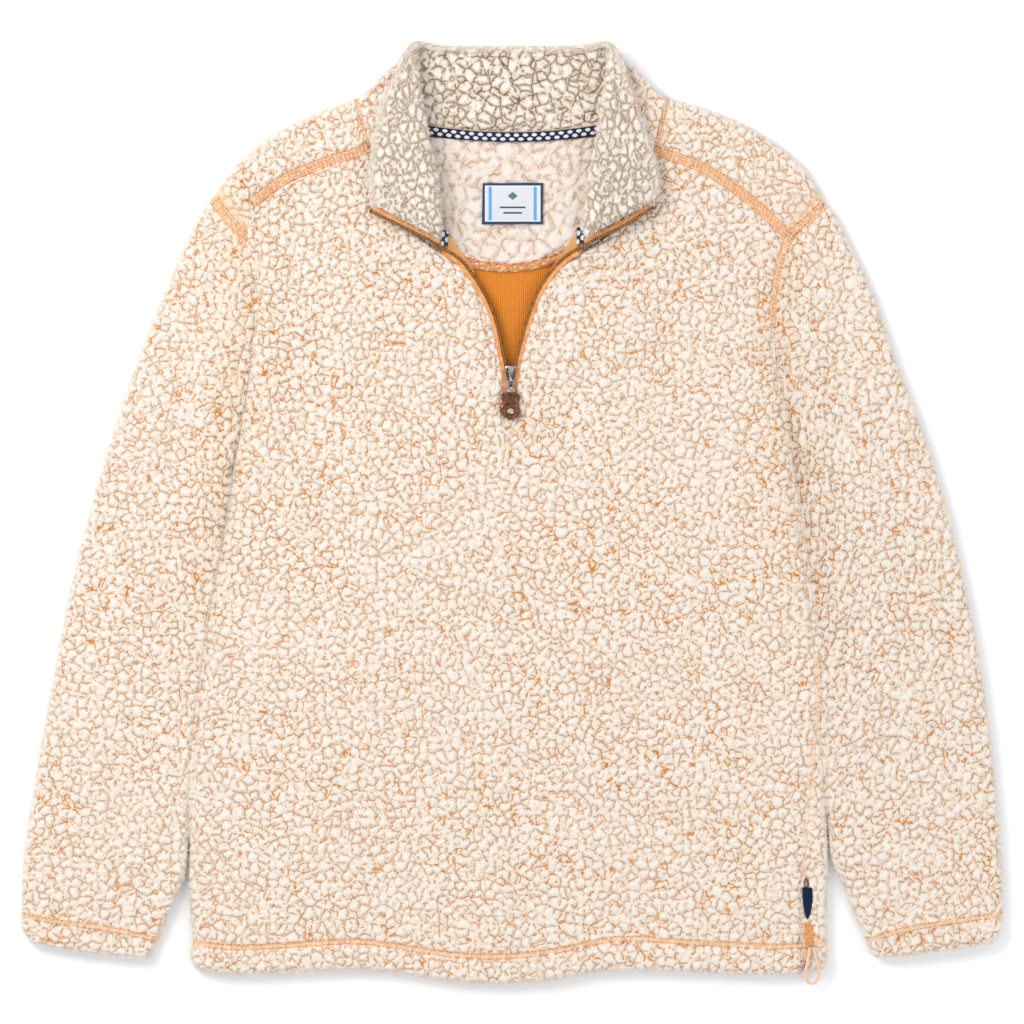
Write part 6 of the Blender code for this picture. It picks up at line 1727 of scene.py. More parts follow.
def make_overlock():
    """The bulge of pile, the loops that wrap round it and the cords that wander along it."""
    edge = along(FACING_LOW, np.linspace(*SERGE_SPAN, 110))
    across = ramp(12)
    uneven = 0.35 * np.sin(edge[:, 0] * 0.55) + 0.3 * np.sin(edge[:, 0] * 1.31 + 2)
    top = FACING_UNDER + 0.2 + serged_rise(across)
    outer = np.stack([raised(beside(edge, -(BINDING_WIDTH + uneven) * k), z) for k, z in zip(across, top)])
    inner = outer * (1, 1, 0) + (0, 0, FACING_UNDER)
    base = fleece("facing_edge", [(outer, inner, (), 0.45)], SERGE_SHERPA, SERGE_TUFT, unpressed)
    dress(base, "thread", "facing_binding")
    path = along(FACING_LOW, np.linspace(*SERGE_SPAN, 400))
    reach = walked(path)[-1]
    luck = np.random.default_rng(5)
    spots = np.arange(0.8, reach - 3.0, 1.55)
    spots = spots + luck.uniform(-0.25, 0.25, len(spots))
    ends = [[raised(evenly(beside(path, -BINDING_WIDTH * share), (spots + shift) / reach),
                    FACING_UNDER + serged_rise(share) - 0.1) for share, shift in pair] for pair in SERGE_LOOPS]
    start, end = (np.concatenate(part) for part in zip(*ends))
    keep = luck.uniform(0, 1, len(start)) > 0.12
    loops = threads("overlock_loops", start[keep], end[keep], 0.74, SERGE_THREAD, 0.3, seed=6)
    dress(loops, "thread", "facing_binding")
    cords = []
    x = path[::2, 0]
    for k, share in enumerate(CORD_SHARES):
        wander = 0.45 * np.sin(x * 0.42 + 2.1 * k) + 0.2 * np.sin(x * 1.1 + k)
        lift = FACING_UNDER + serged_rise(max(share, 0.1 / 0.88)) + 0.25 + 0.25 * np.sin(x * 0.8 + 1.7 * k)
        cords.append(solid(swept(raised(beside(path[::2], wander - BINDING_WIDTH * share), lift), 0.9, 0.8, 0.4, 3)))
    dress(assemble("overlock_cords", cords, SERGE_THREAD), "thread", "facing_binding")
    return base


facing, overlock = make_facing(), make_overlock()

# %% Neck tape, its ends and the label
OVAL_PITCH = 7.2
OVAL_HALF = (2.35, 1.5)
OVAL_ROW = 1.6


def lattice_finish():
    """Navy tape with two staggered rows of pale ovals: inside where |along|^1.7 + |across|^1.7 is below 1."""
    made = Finish("navy_lattice_tape", 0.75, Sheen_Weight=0.1, Specular_IOR_Level=0.3)
    ribbon = made.kept("ribbon", "Vector")
    x, y, _ = made.axes(ribbon)
    wander = made.noise(ribbon, 0.9)
    ovals = []
    for shift, level in ((0.0, OVAL_ROW), (0.5, -OVAL_ROW)):
        turn = made.maths("FRACT", made.line(x, 1 / OVAL_PITCH, 100.25 + shift))
        across = made.maths("SUBTRACT", turn, 0.5)
        across = made.maths("ABSOLUTE", made.times(across, OVAL_PITCH / OVAL_HALF[0]))
        upward = made.maths("SUBTRACT", y, level)
        upward = made.maths("ABSOLUTE", made.times(upward, 1 / OVAL_HALF[1]))
        size = made.maths("ADD", made.maths("POWER", across, 1.7), made.maths("POWER", upward, 1.7))
        ovals.append(made.step(made.line(wander, 0.5, size), 0.95, 1.35, 1.0, 0.0))
    found = made.maths("MAXIMUM", *ovals)
    weave = made.stripes(ribbon, 3.2, 0.4)
    navy = made.mix(weave, (8, 16, 34), (26, 40, 68))
    white = made.mix(weave, (212, 214, 222), (238, 238, 242))
    return made.close(Base_Color=made.mix(found, navy, white),
                      Normal=made.bump(made.line(weave, 0.5, found), 0.00025, 0.7))


LATTICE = lattice_finish()


def lattice_ribbon(name, line, width, thick, lean=0.0):
    """A ribbon along a line of x, y, z at its middle, that keeps its distances along and across for the weave."""
    radius = min(thick, width) * 0.35
    rings = swept(line, width, thick, radius, 4)
    side = unit(rings[:, 0] - rings[:, len(rings[0]) // 2])
    rings[..., 2] += np.sum((rings - line[:, None]) * side[:, None], axis=2) * lean
    points, faces = solid(rings)
    made = assemble(name, [(points, faces)], LATTICE)
    reach = walked(line)
    ribbon = np.zeros((len(points), 3))
    ribbon[:-2, 0] = np.repeat(reach, rings.shape[1])
    ribbon[:-2, 1] = np.tile(rounded(width, thick, radius, 4)[:, 0], len(line))
    ribbon[-1, 0] = reach[-1]
    keep_value(made, "ribbon", ribbon)
    return made


def make_neck_tape():
    """The tape over the back neck seam, its two ends at the zip, and the beige thread along its upper edge."""
    line = raised(along(TAPE_LINE, ramp(60)), TAPE_BASE + TAPE_THICK / 2)
    tape = dress(lattice_ribbon("neck_tape_woven", line, TAPE_WIDTH + 0.6, TAPE_THICK), "neck_tape", "neck_tape")
    for side, ((x0, y0), (x1, y1)) in ((LEFT, TAPE_END_LEFT), (RIGHT, TAPE_END_RIGHT)):
        inward = -side.sign
        path = [(x0 + inward * 0.4, y0 - 1.5, 15.6), (x1 + inward * 0.4, y1, 16.2), (x1 + inward * 0.9, y1 + 1.5, 16.0)]
        piece = lattice_ribbon("neck_tape_end_woven_" + side.word, along(path, ramp(14)), 5.4, 0.9, lean=inward)
        dress(piece, "neck_tape", "neck_tape_end_" + side.word)
    edge = beside(line, TAPE_WIDTH / 2 + 0.9)
    reach = walked(edge)[-1]
    spots = np.arange(0.5, reach - 3, 2.1)
    start, end = (raised(evenly(edge, (spots + shift) / reach), TAPE_BASE + 0.5) for shift in (0.0, 2.0))
    dress(threads("neck_tape_edging", start, end, 0.85, BEIGE_THREAD, 0.1, seed=8), "thread")
    return tape


def label_finish():
    """Satin label: frames and stripes placed by the distance to its edges, and a plain woven mark in the middle."""
    made = Finish("woven_label", 0.5, Sheen_Weight=0.1, Specular_IOR_Level=0.35)
    place = made.place()
    x, y, _ = made.axes(place)
    x0, y0, x1, y1 = np.array(LABEL) * MM
    from_middle = made.away(x, (x0 + x1) / 2)
    side = made.maths("SUBTRACT", (x1 - x0) / 2, from_middle)
    rim = made.maths("MINIMUM", side, made.maths("SUBTRACT", (y1 - y0) / 2, made.away(y, (y0 + y1) / 2)))

    def below(value, limit):
        """1 below the limit and 0 from a fifth of a millimetre above it."""
        return made.step(value, limit, limit + 0.0002, 1.0, 0.0)

    satin = made.stripes(place, 620.0, 0.6, "Y")
    colour = made.mix(satin, (204, 208, 213), (228, 229, 233))
    colour = made.mix(made.times(made.step(side, 0.0050, 0.0052), below(side, 0.0075)), colour, (88, 166, 214))
    colour = made.mix(below(rim, 0.0029), colour, (238, 240, 246))
    colour = made.mix(below(rim, 0.0021), colour, (34, 54, 92))
    colour = made.mix(below(made.line(from_middle, 0.8, made.away(y, 0.2530)), 0.0032), colour, (72, 122, 104))
    for level, half in ((0.2438, 0.0102), (0.2394, 0.0074)):
        rule = made.times(below(made.away(y, level), 0.0006), below(from_middle, half))
        colour = made.mix(rule, colour, (52, 62, 88))
    colour = made.mix(made.times(satin, 0.12), colour, (120, 124, 140))
    return made.close(Base_Color=colour, Normal=made.bump(satin, 0.00012, 0.5))


def make_label():
    """A thin slip that waves a little, sewn down by short navy stitches round its four edges."""
    x0, y0, x1, y1 = LABEL
    across = np.linspace(x0, x1, 34)
    lift = LABEL_BASE + LABEL_THICK / 2 + 0.12 * np.sin(across * 0.21) + 0.2
    line = xyz(across, (y0 + y1) / 2 + 0.15 * np.sin(across * 0.12), lift)
    label = assemble("neck_label_woven", [solid(swept(line, y1 - y0, LABEL_THICK, 0.3, 3))], label_finish())
    start, end = [], []
    corners = np.array([(x0, y0), (x1, y0), (x1, y1), (x0, y1), (x0, y0)])
    for corner, way in zip(corners, np.diff(corners, axis=0)):
        long = math.hypot(*way)
        spots = np.arange(1.2, long - 2.2, 2.3)
        way = way / long
        inward = np.array([-way[1], way[0]]) * 0.9
        for share, rows in ((0.0, start), (1.7, end)):
            plan = corner + way * (spots + share)[:, None] + inward
            rows.append(raised(plan, np.interp(plan[:, 0], across, lift) + LABEL_THICK / 2 + 0.05))
    edge = threads("label_stitches", np.concatenate(start), np.concatenate(end), 0.42, NAVY_THREAD, 0.05, seed=9)
    dress(edge, "thread")
    return dress(label, "label", "neck_label")


NAVY_THREAD = thread_finish("navy_thread", (22, 36, 66), (52, 74, 116))
neck_tape, neck_label = make_neck_tape(), make_label()

# %% Knitted facings beside the zip
PLACKET_KNIT = knit_finish("placket_rib_knit", (236, 166, 92), (252, 204, 142))


def make_placket(side, line):
    """A thin knitted slip from the end of the neck seam to the teeth."""
    near = along(line, ramp(24))
    zone = side.teeth[(side.teeth[:, 1] > 190.6) & (side.teeth[:, 1] < 211.0)][:, :2]
    far = evenly(zone[::-1], ramp(24))
    share = ramp(9)[:, None, None]
    plan = near * (1 - share) + far * share
    lift = PLACKET_BASE + PLACKET_THICK + 2.2 * np.clip((np.abs(plan[..., 0]) - 38) / 14, 0, 1) ** 1.5
    top = np.dstack([plan, lift])
    rings = np.concatenate([top, (top - (0, 0, PLACKET_THICK))[::-1]], axis=0).transpose(1, 0, 2)
    piece = assemble("placket_knit_" + side.word, [solid(rings)], PLACKET_KNIT, 50)
    return dress(piece, "orange_knit", "placket_facing_" + side.word)


plackets = [make_placket(LEFT, PLACKET_LEFT), make_placket(RIGHT, PLACKET_RIGHT)]
print("neck pieces:", facing.name, overlock.name, neck_tape.name, neck_label.name, [p.name for p in plackets])

# %% Sizes of the zip, the side trims and the cord
ZIP_TAPE_THICK = 0.8
TURN_FROM = 51.0
TURN_TO = 59.0
TAPE_DROP = 2.3
CLOSED_TOP_Y = 101.4
CLOSED_BOTTOM_Y = 68.4
STOP_SIZE = (3, 2.6, 2.8)
SLIDER_Y = (102, 116.8)
SLIDER_PLATE = 0.9
SLIDER_LOW = 9.0
SLIDER_HIGH = 13.0
WEDGE_Y = (113.6, 116.4)
WEDGE_WIDTH = (0.7, 1.9)
AXIS_Y = 105.0
AXIS_Z = 15.6
BAIL_Y = (102.9, 109.6)
BAIL_WIDTH = 2.0
BAIL_TOP = 17.4
TAB_WIDTH = 6.0
TAB_BAR = 1.4
TAB_THICK = 1.0
TAB_WINDOW_Y = 100.0
TAB_END_Y = 89.0
LEATHER_LOW = 14.2
LEATHER_HIGH = 17.6
RIVET_CENTRE = (-0.9, 80.6)
RIVET_SIZE = (3, 2.3)
FULL_TURN = np.linspace(0, 2 * math.pi, 33)[:-1]

# Tag, bar tack and cord at the right side seam. The tag's table is share of its length, half-width.
TAG_TOP_Y = -300.2
TAG_LENGTH = 25.4
TAG_X = 236.0
TAG = [(0, 3.4), (0.03, 4.5), (0.3, 4.6), (0.6, 3.9), (0.85, 2.3), (0.97, 1.1), (1, 0.5)]
TAG_THICK = 2.4
BARTACK = (237.8, -337.4, 4.2, 9)
CORD_DIAMETER = 2.2
# Route of the cord loop, from the bar tack out past the hem and back: x, y, z.
CORD_ROUTE = [(238, -348, 16.2), (237, -354.5, 16.4), (235.7, -361.5, 15.9), (234.9, -368, 13.6),
              (235.4, -373.6, 10.8), (237.8, -376.9, 9.2), (241.2, -377.3, 9), (244.2, -374.6, 10.3),
              (245.4, -369, 13), (244.4, -362, 15.8), (242.6, -355, 16.4), (240.8, -348, 16.2)]

# %% [markdown]
# ## The zip
#
# Teeth of dark brass are pressed onto the edge of each tape, one every millimetre and a half. Above the slider
# the two rows are open and follow the V of the neck, and at the collar the tape turns over. Below the slider
# they mesh. Each tooth is a small rounded bar, and one mesh holds a whole row.

# %% Metal and tape finishes
def metal_finish(name, dark, light, roughness, metallic=1.0):
    """Worn metal: a cloudy tone, and fine scratches in the roughness and as bump."""
    made = Finish(name, roughness, metallic)
    place = made.place()
    cloud = made.noise(place, 420.0, 4.0)
    return made.close(Base_Color=made.mix(made.step(cloud, 0.35, 0.68), dark, light),
                      Roughness=made.step(cloud, 0.3, 0.7, roughness + 0.14, roughness - 0.06),
                      Normal=made.bump(made.noise(place, 2600.0), 0.00006, 0.5))


def tape_finish():
    """Woven tape: fine slanted ribs, and a paler and a deeper orange by a slow noise."""
    made = Finish("zip_tape_weave", 0.8, Sheen_Weight=0.15, Specular_IOR_Level=0.25)
    place = made.place()
    ribs = made.stripes(place, 260.0, 0.8, Detail=1.0)
    colour = made.mix(made.step(made.noise(place, 240.0), 0.35, 0.65), (222, 142, 74), (234, 174, 114))
    colour = made.mix(made.times(ribs, 0.3), colour, (206, 124, 58))
    return made.close(Base_Color=colour, Normal=made.bump(ribs, 0.0002, 0.6))


BRASS = metal_finish("antique_brass", (58, 44, 30), (150, 118, 78), 0.42)
SILVER = metal_finish("worn_silver", (120, 117, 112), (208, 205, 199), 0.34)
DARK_METAL = metal_finish("dark_metal", (22, 20, 19), (52, 48, 44), 0.5, 0.6)
PALE_METAL = metal_finish("pale_metal", (140, 118, 92), (222, 208, 184), 0.45, 0.5)
ZIP_TAPE = tape_finish()

# %% Teeth
TOOTH_PITCH = 1.55
TOOTH = (2.7, 0.86, 2)
OPEN_FROM_Y = 114.0


def tooth_form():
    """Rings of one tooth along its length, thinner in the waist than at its head and foot."""
    across = np.array([-0.5, -0.46, -0.2, 0.12, 0.34, 0.47, 0.5]) * TOOTH[0]
    share = np.array([0.55, 0.9, 1.0, 0.82, 1.0, 0.85, 0.5])
    section = rounded(TOOTH[1], TOOTH[2], 0.26, 2)
    return np.stack([np.column_stack([np.full(len(section), a), section[:, 0] * k, section[:, 1] * (0.5 + k / 2)])
                     for a, k in zip(across, share)])


def teeth_mesh(centre, way, inward, lean):
    """A tooth at each centre. way runs along the row, and inward is the sign of the way to the other row."""
    points, faces = solid(tooth_form())
    side = unit(np.cross((0, 0, 1.0), way)) * inward
    side = unit(side + way * lean)
    up = np.cross(way, side) * inward
    placed = (centre[:, None] + side[:, None] * points[None, :, :1] + way[:, None] * points[None, :, 1:2]
              + up[:, None] * points[None, :, 2:])
    number = (faces[None] + np.arange(len(centre))[:, None, None] * len(points)).reshape(-1, 3)
    return placed.reshape(-1, 3), number if inward > 0 else number[:, ::-1]


def make_teeth(side):
    """One row of open teeth, spaced evenly by the length walked along the zip's line."""
    line = along(side.zip_line, ramp(900))
    line = line[line[:, 1] > OPEN_FROM_Y]
    reach = walked(line)[-1]
    spots = np.arange(0.4, reach, TOOTH_PITCH)
    centre = evenly(line, spots / reach)
    way = unit(evenly(line, np.minimum(spots + 0.5, reach) / reach) - evenly(line, np.maximum(spots - 0.5, 0) / reach))
    row = assemble("teeth_" + side.word, [teeth_mesh(centre, way, side.sign, 0.12)], BRASS)
    return dress(row, "antique_brass", "zip_chain_" + side.word)


def make_closed_teeth():
    """Two rows that mesh: one set half a pitch further than the other."""
    z = ZIP_LEFT[0][2]
    rows = []
    for sign, shift in ((-1, 0.0), (1, 0.5)):
        y = np.arange(CLOSED_BOTTOM_Y + 6.0 + shift * TOOTH_PITCH, CLOSED_TOP_Y + 1.0, TOOTH_PITCH)
        centre = xyz(CENTRE_X + sign * 0.62, y, z)
        rows.append(teeth_mesh(centre, np.tile((0, 1.0, 0), (len(y), 1)), sign, 0.0))
    return dress(assemble("teeth_closed", rows, BRASS), "antique_brass", "zip_chain_closed")


def turn_over(line):
    """1 where the tape lies outside the teeth, -1 where the collar has turned it over, and the way between."""
    reach = np.abs(line[:, 0])
    return 1 - 2 * ease((reach - TURN_FROM) / (TURN_TO - TURN_FROM))


TAPE_NEAR = 1.0
TAPE_FAR = 4.7


def make_zip_tape(side):
    """The tape from its near to its far edge beside the teeth, with the drop where it turns over."""
    line = along(side.zip_line, ramp(190))
    line = line[line[:, 1] > 80.0]
    out = turn_over(line)
    drop = TAPE_DROP * np.clip((1 - out ** 2) * 4, 0, 1) + 0.1
    middle = -side.sign * out * (TAPE_NEAR + TAPE_FAR) / 2
    rings = [raised(beside(line, middle + across), line[:, 2] - drop + up)
             for across, up in rounded(TAPE_FAR - TAPE_NEAR, ZIP_TAPE_THICK, 0.3, 3)]
    bead = swept(line - (0, 0, 0.2), 1.3, 1.2, 0.5, 3)
    tape = assemble("zip_tape_woven_" + side.word, [solid(np.stack(rings, axis=1)), solid(bead)], ZIP_TAPE)
    return dress(tape, "zip_tape", "zip_tape_" + side.word)


def make_stop(side):
    """A short bar that runs on from the last tooth."""
    line = along(side.zip_line, ramp(120))
    way = unit(line[-1, :2] - line[-3, :2])
    reach, wide, tall = STOP_SIZE
    steps = np.array([0.3, 0.6, reach * 0.5, reach, reach + 0.25])
    path = raised(line[-1, :2] + way * steps[:, None], line[-1, 2])
    bar = solid(swept(path, wide, tall, 0.6, 3, (0.7, 1, 1, 1, 0.7)))
    stop = assemble("zip_stop_pressed_" + side.word, [bar], BRASS)
    return dress(stop, "antique_brass", "zip_stop_" + side.word)


teeth = [make_teeth(LEFT), make_teeth(RIGHT), make_closed_teeth()]
for make in (make_zip_tape, make_stop):
    make(LEFT)
    make(RIGHT)
print("teeth:", sum(len(row.data.polygons) for row in teeth), "triangles")

# %% [markdown]
# ## Slider and pull
#
# The slider is two plates with a wedge between the rows of teeth and an arched loop on top. The tab hangs on
# the loop by its window and carries a leather puller, a strip pinched in the waist so that it makes two lobes.
# A rivet with a plain oval face holds the lower lobe together. These three pieces swing together.

# %% Slider
def make_slider():
    """Two plates, the wedge between them and the loop; the cast hollows on top are dark slips with fine rungs."""
    y = np.array([0, 0.5, 1.5, 4, 6.5, 9, 11.5, 13.4, 14.3, 14.8]) + SLIDER_Y[0]
    half = np.array([1.6, 2.2, 2.7, 2.9, 3.0, 3.4, 4.2, 4.8, 4.6, 3.9])
    solids = []
    for level, crown in ((SLIDER_HIGH + SLIDER_PLATE / 2, 0.35), (SLIDER_LOW - SLIDER_PLATE / 2, 0.0)):
        rings = []
        for place, wide in zip(y, half):
            across, up = rounded(wide * 2, SLIDER_PLATE, 0.38, 4).T
            rings.append(xyz(CENTRE_X + across, place, level + up + crown * (1 - (across / wide) ** 2) * (up > 0)))
        solids.append(solid(rings))
    wedge = (WEDGE_Y[0], WEDGE_WIDTH[0]), (WEDGE_Y[0] + 1, 1.3), (WEDGE_Y[1], WEDGE_WIDTH[1])
    solids.append(solid([xyz(CENTRE_X + across, place, 11.0 + up)
                         for place, wide in wedge for across, up in [rounded(wide * 2, 4.4, 0.3, 3).T]]))
    turn = np.linspace(math.pi, 0, 17)
    middle, reach = (BAIL_Y[0] + BAIL_Y[1]) / 2, (BAIL_Y[1] - BAIL_Y[0]) / 2 - 0.45
    arch_y = middle + reach * np.sign(np.cos(turn)) * np.abs(np.cos(turn)) ** 0.7
    arch_z = SLIDER_HIGH + 0.5 + (BAIL_TOP - SLIDER_HIGH - 1.0) * np.sin(turn) ** 0.6
    solids.append(solid(swept(xyz(CENTRE_X, arch_y, arch_z), BAIL_WIDTH, 0.95, 0.35, 3)))
    top = SLIDER_HIGH + SLIDER_PLATE + 0.32
    hollows, rungs = [], []
    for sign in (-1, 1):
        share = ramp(8)
        line = xyz(CENTRE_X + sign * (3.0 - 1.1 * ease(share * 1.2)), 115.4 - 11.6 * share, top - 0.3 * (1 - share))
        hollows.append(solid(swept(line, 1.7, 0.3, 0.1, 3, (0.5, 0.9, 1, 1, 1, 1, 0.9, 0.6))))
        for place in line[1:7]:
            bar = place + np.array([[-0.8, 0, 0.12], [0, 0, 0.2], [0.8, 0, 0.12]])
            rungs.append(solid(swept(bar, 0.5, 0.3, 0.12, 3)))
    dress(assemble("slider_hollows", hollows, DARK_METAL), "slider_metal")
    dress(assemble("slider_rungs", rungs, SILVER, 35), "slider_metal")
    dress(assemble("slider_cast", solids, SILVER, 35), "slider_metal", "zip_slider")


def make_tab():
    """Plate, two arms and the bar that runs through the loop."""
    half = TAB_WIDTH / 2
    plate_y = [TAB_END_Y, TAB_END_Y + 0.5, TAB_WINDOW_Y - 0.6, TAB_WINDOW_Y]
    solids = [solid(swept(xyz(CENTRE_X, plate_y, AXIS_Z), TAB_WIDTH, TAB_THICK, 0.3, 4, (0.8, 1, 1, 0.97)))]
    for sign in (-1, 1):
        arm = xyz(CENTRE_X + sign * (half - 0.75 - 0.25 * ramp(7) ** 2),
                  np.linspace(TAB_WINDOW_Y - 0.4, AXIS_Y + 0.2, 7), AXIS_Z)
        solids.append(solid(swept(arm, 1.4, TAB_THICK, 0.4, 4)))
    bar = xyz(CENTRE_X + np.linspace(-half + 0.6, half - 0.6, 9), AXIS_Y + 0.05, AXIS_Z)
    solids.append(solid(swept(bar, TAB_BAR, 1.1, 0.5, 5, [0.8] + [1] * 7 + [0.8])))
    return dress(assemble("pull_tab_metal", solids, SILVER, 35), "slider_metal", "pull_tab", body="pull")


def leather_finish():
    """Brown leather: grain as cells and noise, paler where it is rubbed and darker at its cut edge."""
    made = Finish("brown_leather", 0.55, Specular_IOR_Level=0.35)
    place, rim = made.place(), made.kept("rim")
    grain = made.add("ShaderNodeTexVoronoi", {"Vector": place, "Scale": 1500.0}, "Distance")
    cloud = made.noise(place, 330.0, 4.0)
    rings = made.swing(made.times(rim, 19.0))
    colour = made.mix(made.step(cloud, 0.35, 0.7), (86, 46, 20), (146, 92, 46))
    colour = made.mix(made.times(rings, 0.45), colour, (62, 32, 18))
    colour = made.mix(made.step(rim, 0.93, 1.0), colour, (70, 38, 24))
    relief = made.bump(rings, -0.0003, 0.6, made.bump(grain, 0.0001, 0.5))
    return made.close(Base_Color=colour, Roughness=made.step(cloud, 0.3, 0.7, 0.66, 0.45),
                      Normal=made.bump(cloud, 0.0004, 0.5, relief))


PINCH_Y = 85.9
PINCH_DEPTH = 0.9
SLOT_Y = 93.2
# The puller's two lobes: y and half-width.
LOBES = [(95.8, 3.6), (94.7, 5.8), (92.2, 7.6), (89.6, 7.4), (87.6, 5.6), (86.2, 4.6), (85, 5.4), (83, 7.5),
         (80.4, 8.3), (78, 7.5), (76.2, 5.3), (75, 2.4)]


def make_leather():
    """Rings from the underside out round the edge and in over the top, drawn towards a spine down the middle."""
    y, half = along(LOBES, ramp(40)).T
    middle = CENTRE_X - 0.3
    around = np.column_stack([np.concatenate([middle + half, (middle - half)[::-1]]), np.concatenate([y, y[::-1]])])
    spine = np.column_stack([np.full(len(around), middle), np.clip(around[:, 1], 79.5, 92.0)])
    rings, rim = [], []
    for share, level in ((0.3, 0.0), (0.8, 0.0), (0.95, 0.15), (1.0, 0.7), (1.0, 2.6), (0.985, 3.1), (0.94, 3.35),
                         (0.86, 3.4), (0.7, 3.35), (0.5, 3.2), (0.3, 3.1), (0.12, 3.05)):
        plan = spine + (around - spine) * share
        pinch = (PINCH_DEPTH if level > 2 else 0.0) * np.exp(-((plan[:, 1] - PINCH_Y) / 0.8) ** 2)
        rings.append(raised(plan, LEATHER_LOW + level - pinch))
        rim.append(np.full(len(around), share))
    points, faces = solid(rings)
    leather = assemble("pull_leather_strip", [(points, faces)], leather_finish(), 60)
    keep_value(leather, "rim", np.concatenate([*rim, [0.3, 0.12]]))
    # A dark bar across the upper lobe is the painted shadow of its slot.
    bow = SLOT_Y + 0.25 * np.sin(np.linspace(0, 3.1, 7))
    slot = xyz(CENTRE_X + np.linspace(-1.6, 1.8, 7), bow, LEATHER_HIGH - 0.05)
    cut = solid(swept(slot, 0.9, 0.5, 0.2, 3, (0.3, 0.8, 1, 1, 1, 0.8, 0.3)))
    dress(assemble("pull_slot_shadow", [cut], SLOT_SHADOW_AND_SEAT_DARK), "leather", body="pull")
    return dress(leather, "leather", "pull_leather", body="pull")


def make_rivet():
    """An oval cap of shrinking rings, and the dark seat that it is pressed into."""
    cos, sin = np.cos(FULL_TURN), np.sin(FULL_TURN)
    x, y = RIVET_CENTRE
    wide, deep = RIVET_SIZE
    cap = ((1, 0), (1, 0.35), (0.94, 0.62), (0.84, 0.74), (0.72, 0.68), (0.66, 0.5), (0.6, 0.44), (0.4, 0.5),
           (0.15, 0.53))
    rings = [xyz(x + wide * k * cos, y + deep * k * sin, LEATHER_HIGH + 0.1 + z) for k, z in cap]
    oval = assemble("pull_rivet_oval", [solid(rings)], PALE_METAL, 35)
    rings = [xyz(x + (wide * 0.9 + k) * cos, y + (deep * 0.9 + k) * sin, LEATHER_HIGH + z)
             for k, z in ((0.9, -0.15), (0.9, 0.0), (0.6, 0.1), (0.1, 0.1), (-0.3, -0.15))]
    dress(assemble("pull_rivet_seat", [solid(rings)], SLOT_SHADOW_AND_SEAT_DARK), "leather", body="pull")
    return dress(oval, "slider_metal", "pull_rivet", body="pull")


# Near-black brown for the slot's painted shadow and for the rivet's dark seat.
SLOT_SHADOW_AND_SEAT_DARK = thread_finish("slot_shadow_and_seat_dark", (44, 24, 16), (58, 34, 22))
make_slider()
print("pull:", [piece.name for piece in (make_tab(), make_leather(), make_rivet())])

# %% [markdown]
# ## The sewing
#
# Cover stitch shows as rows of orange chain, five of them side by side on the shoulders, four on the armholes and
# two elsewhere. Each row is a table line moved sideways. Its stitches are set down on the cloth by a ray from
# above, so they follow every fold, and each has a little luck in its length and place.

# %% Pressed strips under the stitches
TOP_CLOTH = [front, back, *sleeves]
STRIPS = [
    # line, width, how far it is sunk, distance at which the cloth's level is taken, how far it is pressed
    (SHOULDER_LEFT, 7.6, 0.2, 4.6, 1),
    (SHOULDER_RIGHT, 7.6, 0.2, 4.6, 1),
    (ARM_LEFT, 7.6, 0.2, 4.6, 1),
    (ARM_RIGHT, 5, 0.3, 4, 1),
    (NECK_SEAM_LEFT, 4.4, 0.3, 3.4, 1),
    (NECK_SEAM_RIGHT, 4.4, 0.3, 3.4, 1),
    (SIDE_SEAM - (0.8, 0), 5.6, 0.35, 3.6, 0.5),
    (HEM_SEAM - (0.2, 0), 4.6, 0.5, 3.6, 0.5),
]


def make_strips():
    """A flat bar along each seam that closes the slit between the panels, level with the cloth on both sides.

    Under stitches the bar is pressed flat, and at the side seam and in the creases it has the tufts' colours.
    """
    solids, pressed = [], []
    for table, wide, sunk, reach, flat in STRIPS:
        path = along(table, ramp(100))[:, :2]
        level = np.stack([drop_onto(beside(path, sign * reach), TOP_CLOTH) for sign in (-1, 1)])
        level = np.where(level.min(axis=0) < 4, level.max(axis=0), level.mean(axis=0))
        solids.append(solid(swept(raised(path, smoothed(level, 5) - sunk - 0.8), wide, 1.6, 0.7, 4)))
        pressed.append(np.full(len(solids[-1][0]), flat))
    for table in (CREASE_LEFT, CREASE_RIGHT):
        ends = ease(np.minimum(np.arange(120), np.arange(120)[::-1]) / 8) * 0.8 + 0.2
        solids.append(solid(swept(along(table, ramp(120)), 7.0, 6.4, 2.6, 4, ends)))
        pressed.append(np.zeros(len(solids[-1][0])))
    strips = assemble("seam_strips", solids, BODY_SHERPA, 80)
    keep_value(strips, "spread", np.concatenate([points for points, _ in solids]) * MM)
    keep_value(strips, "pressed", np.concatenate(pressed))
    return dress(strips, "sherpa")


strips = make_strips()
STITCHED = [*TOP_CLOTH, strips]

# %% Rows of stitches
STITCH_ROWS = [
    # line, distances of the rows from it, length and pitch of the stitches
    (SHOULDER_LEFT, (-3.5, -1.7, 0, 1.8, 3.5), 2.7, 3.2),
    (SHOULDER_RIGHT, (-3.5, -1.7, 0, 1.8, 3.5), 2.7, 3.2),
    (ARM_LEFT, (-3.3, -1.1, 1.1, 3.3), 2.7, 3.2),
    (ARM_RIGHT[:4], (-3.3, -1.1, 1.1, 3.3), 2.7, 3.2),
    (ARM_RIGHT[3:], (-0.8, 0.9), 2.7, 3.3),
    (NECK_SEAM_LEFT, (-1.6, 0.3), 2.6, 3.2),
    (NECK_SEAM_RIGHT, (-0.3, 1.6), 2.6, 3.2),
    (HEM_LINE, (-2, 2), 2.9, 3.4),
    (CUFF_LEFT, (-1.8, 1.8), 2.9, 3.4),
    (CUFF_RIGHT, (-1.8, 1.8), 2.9, 3.4),
]


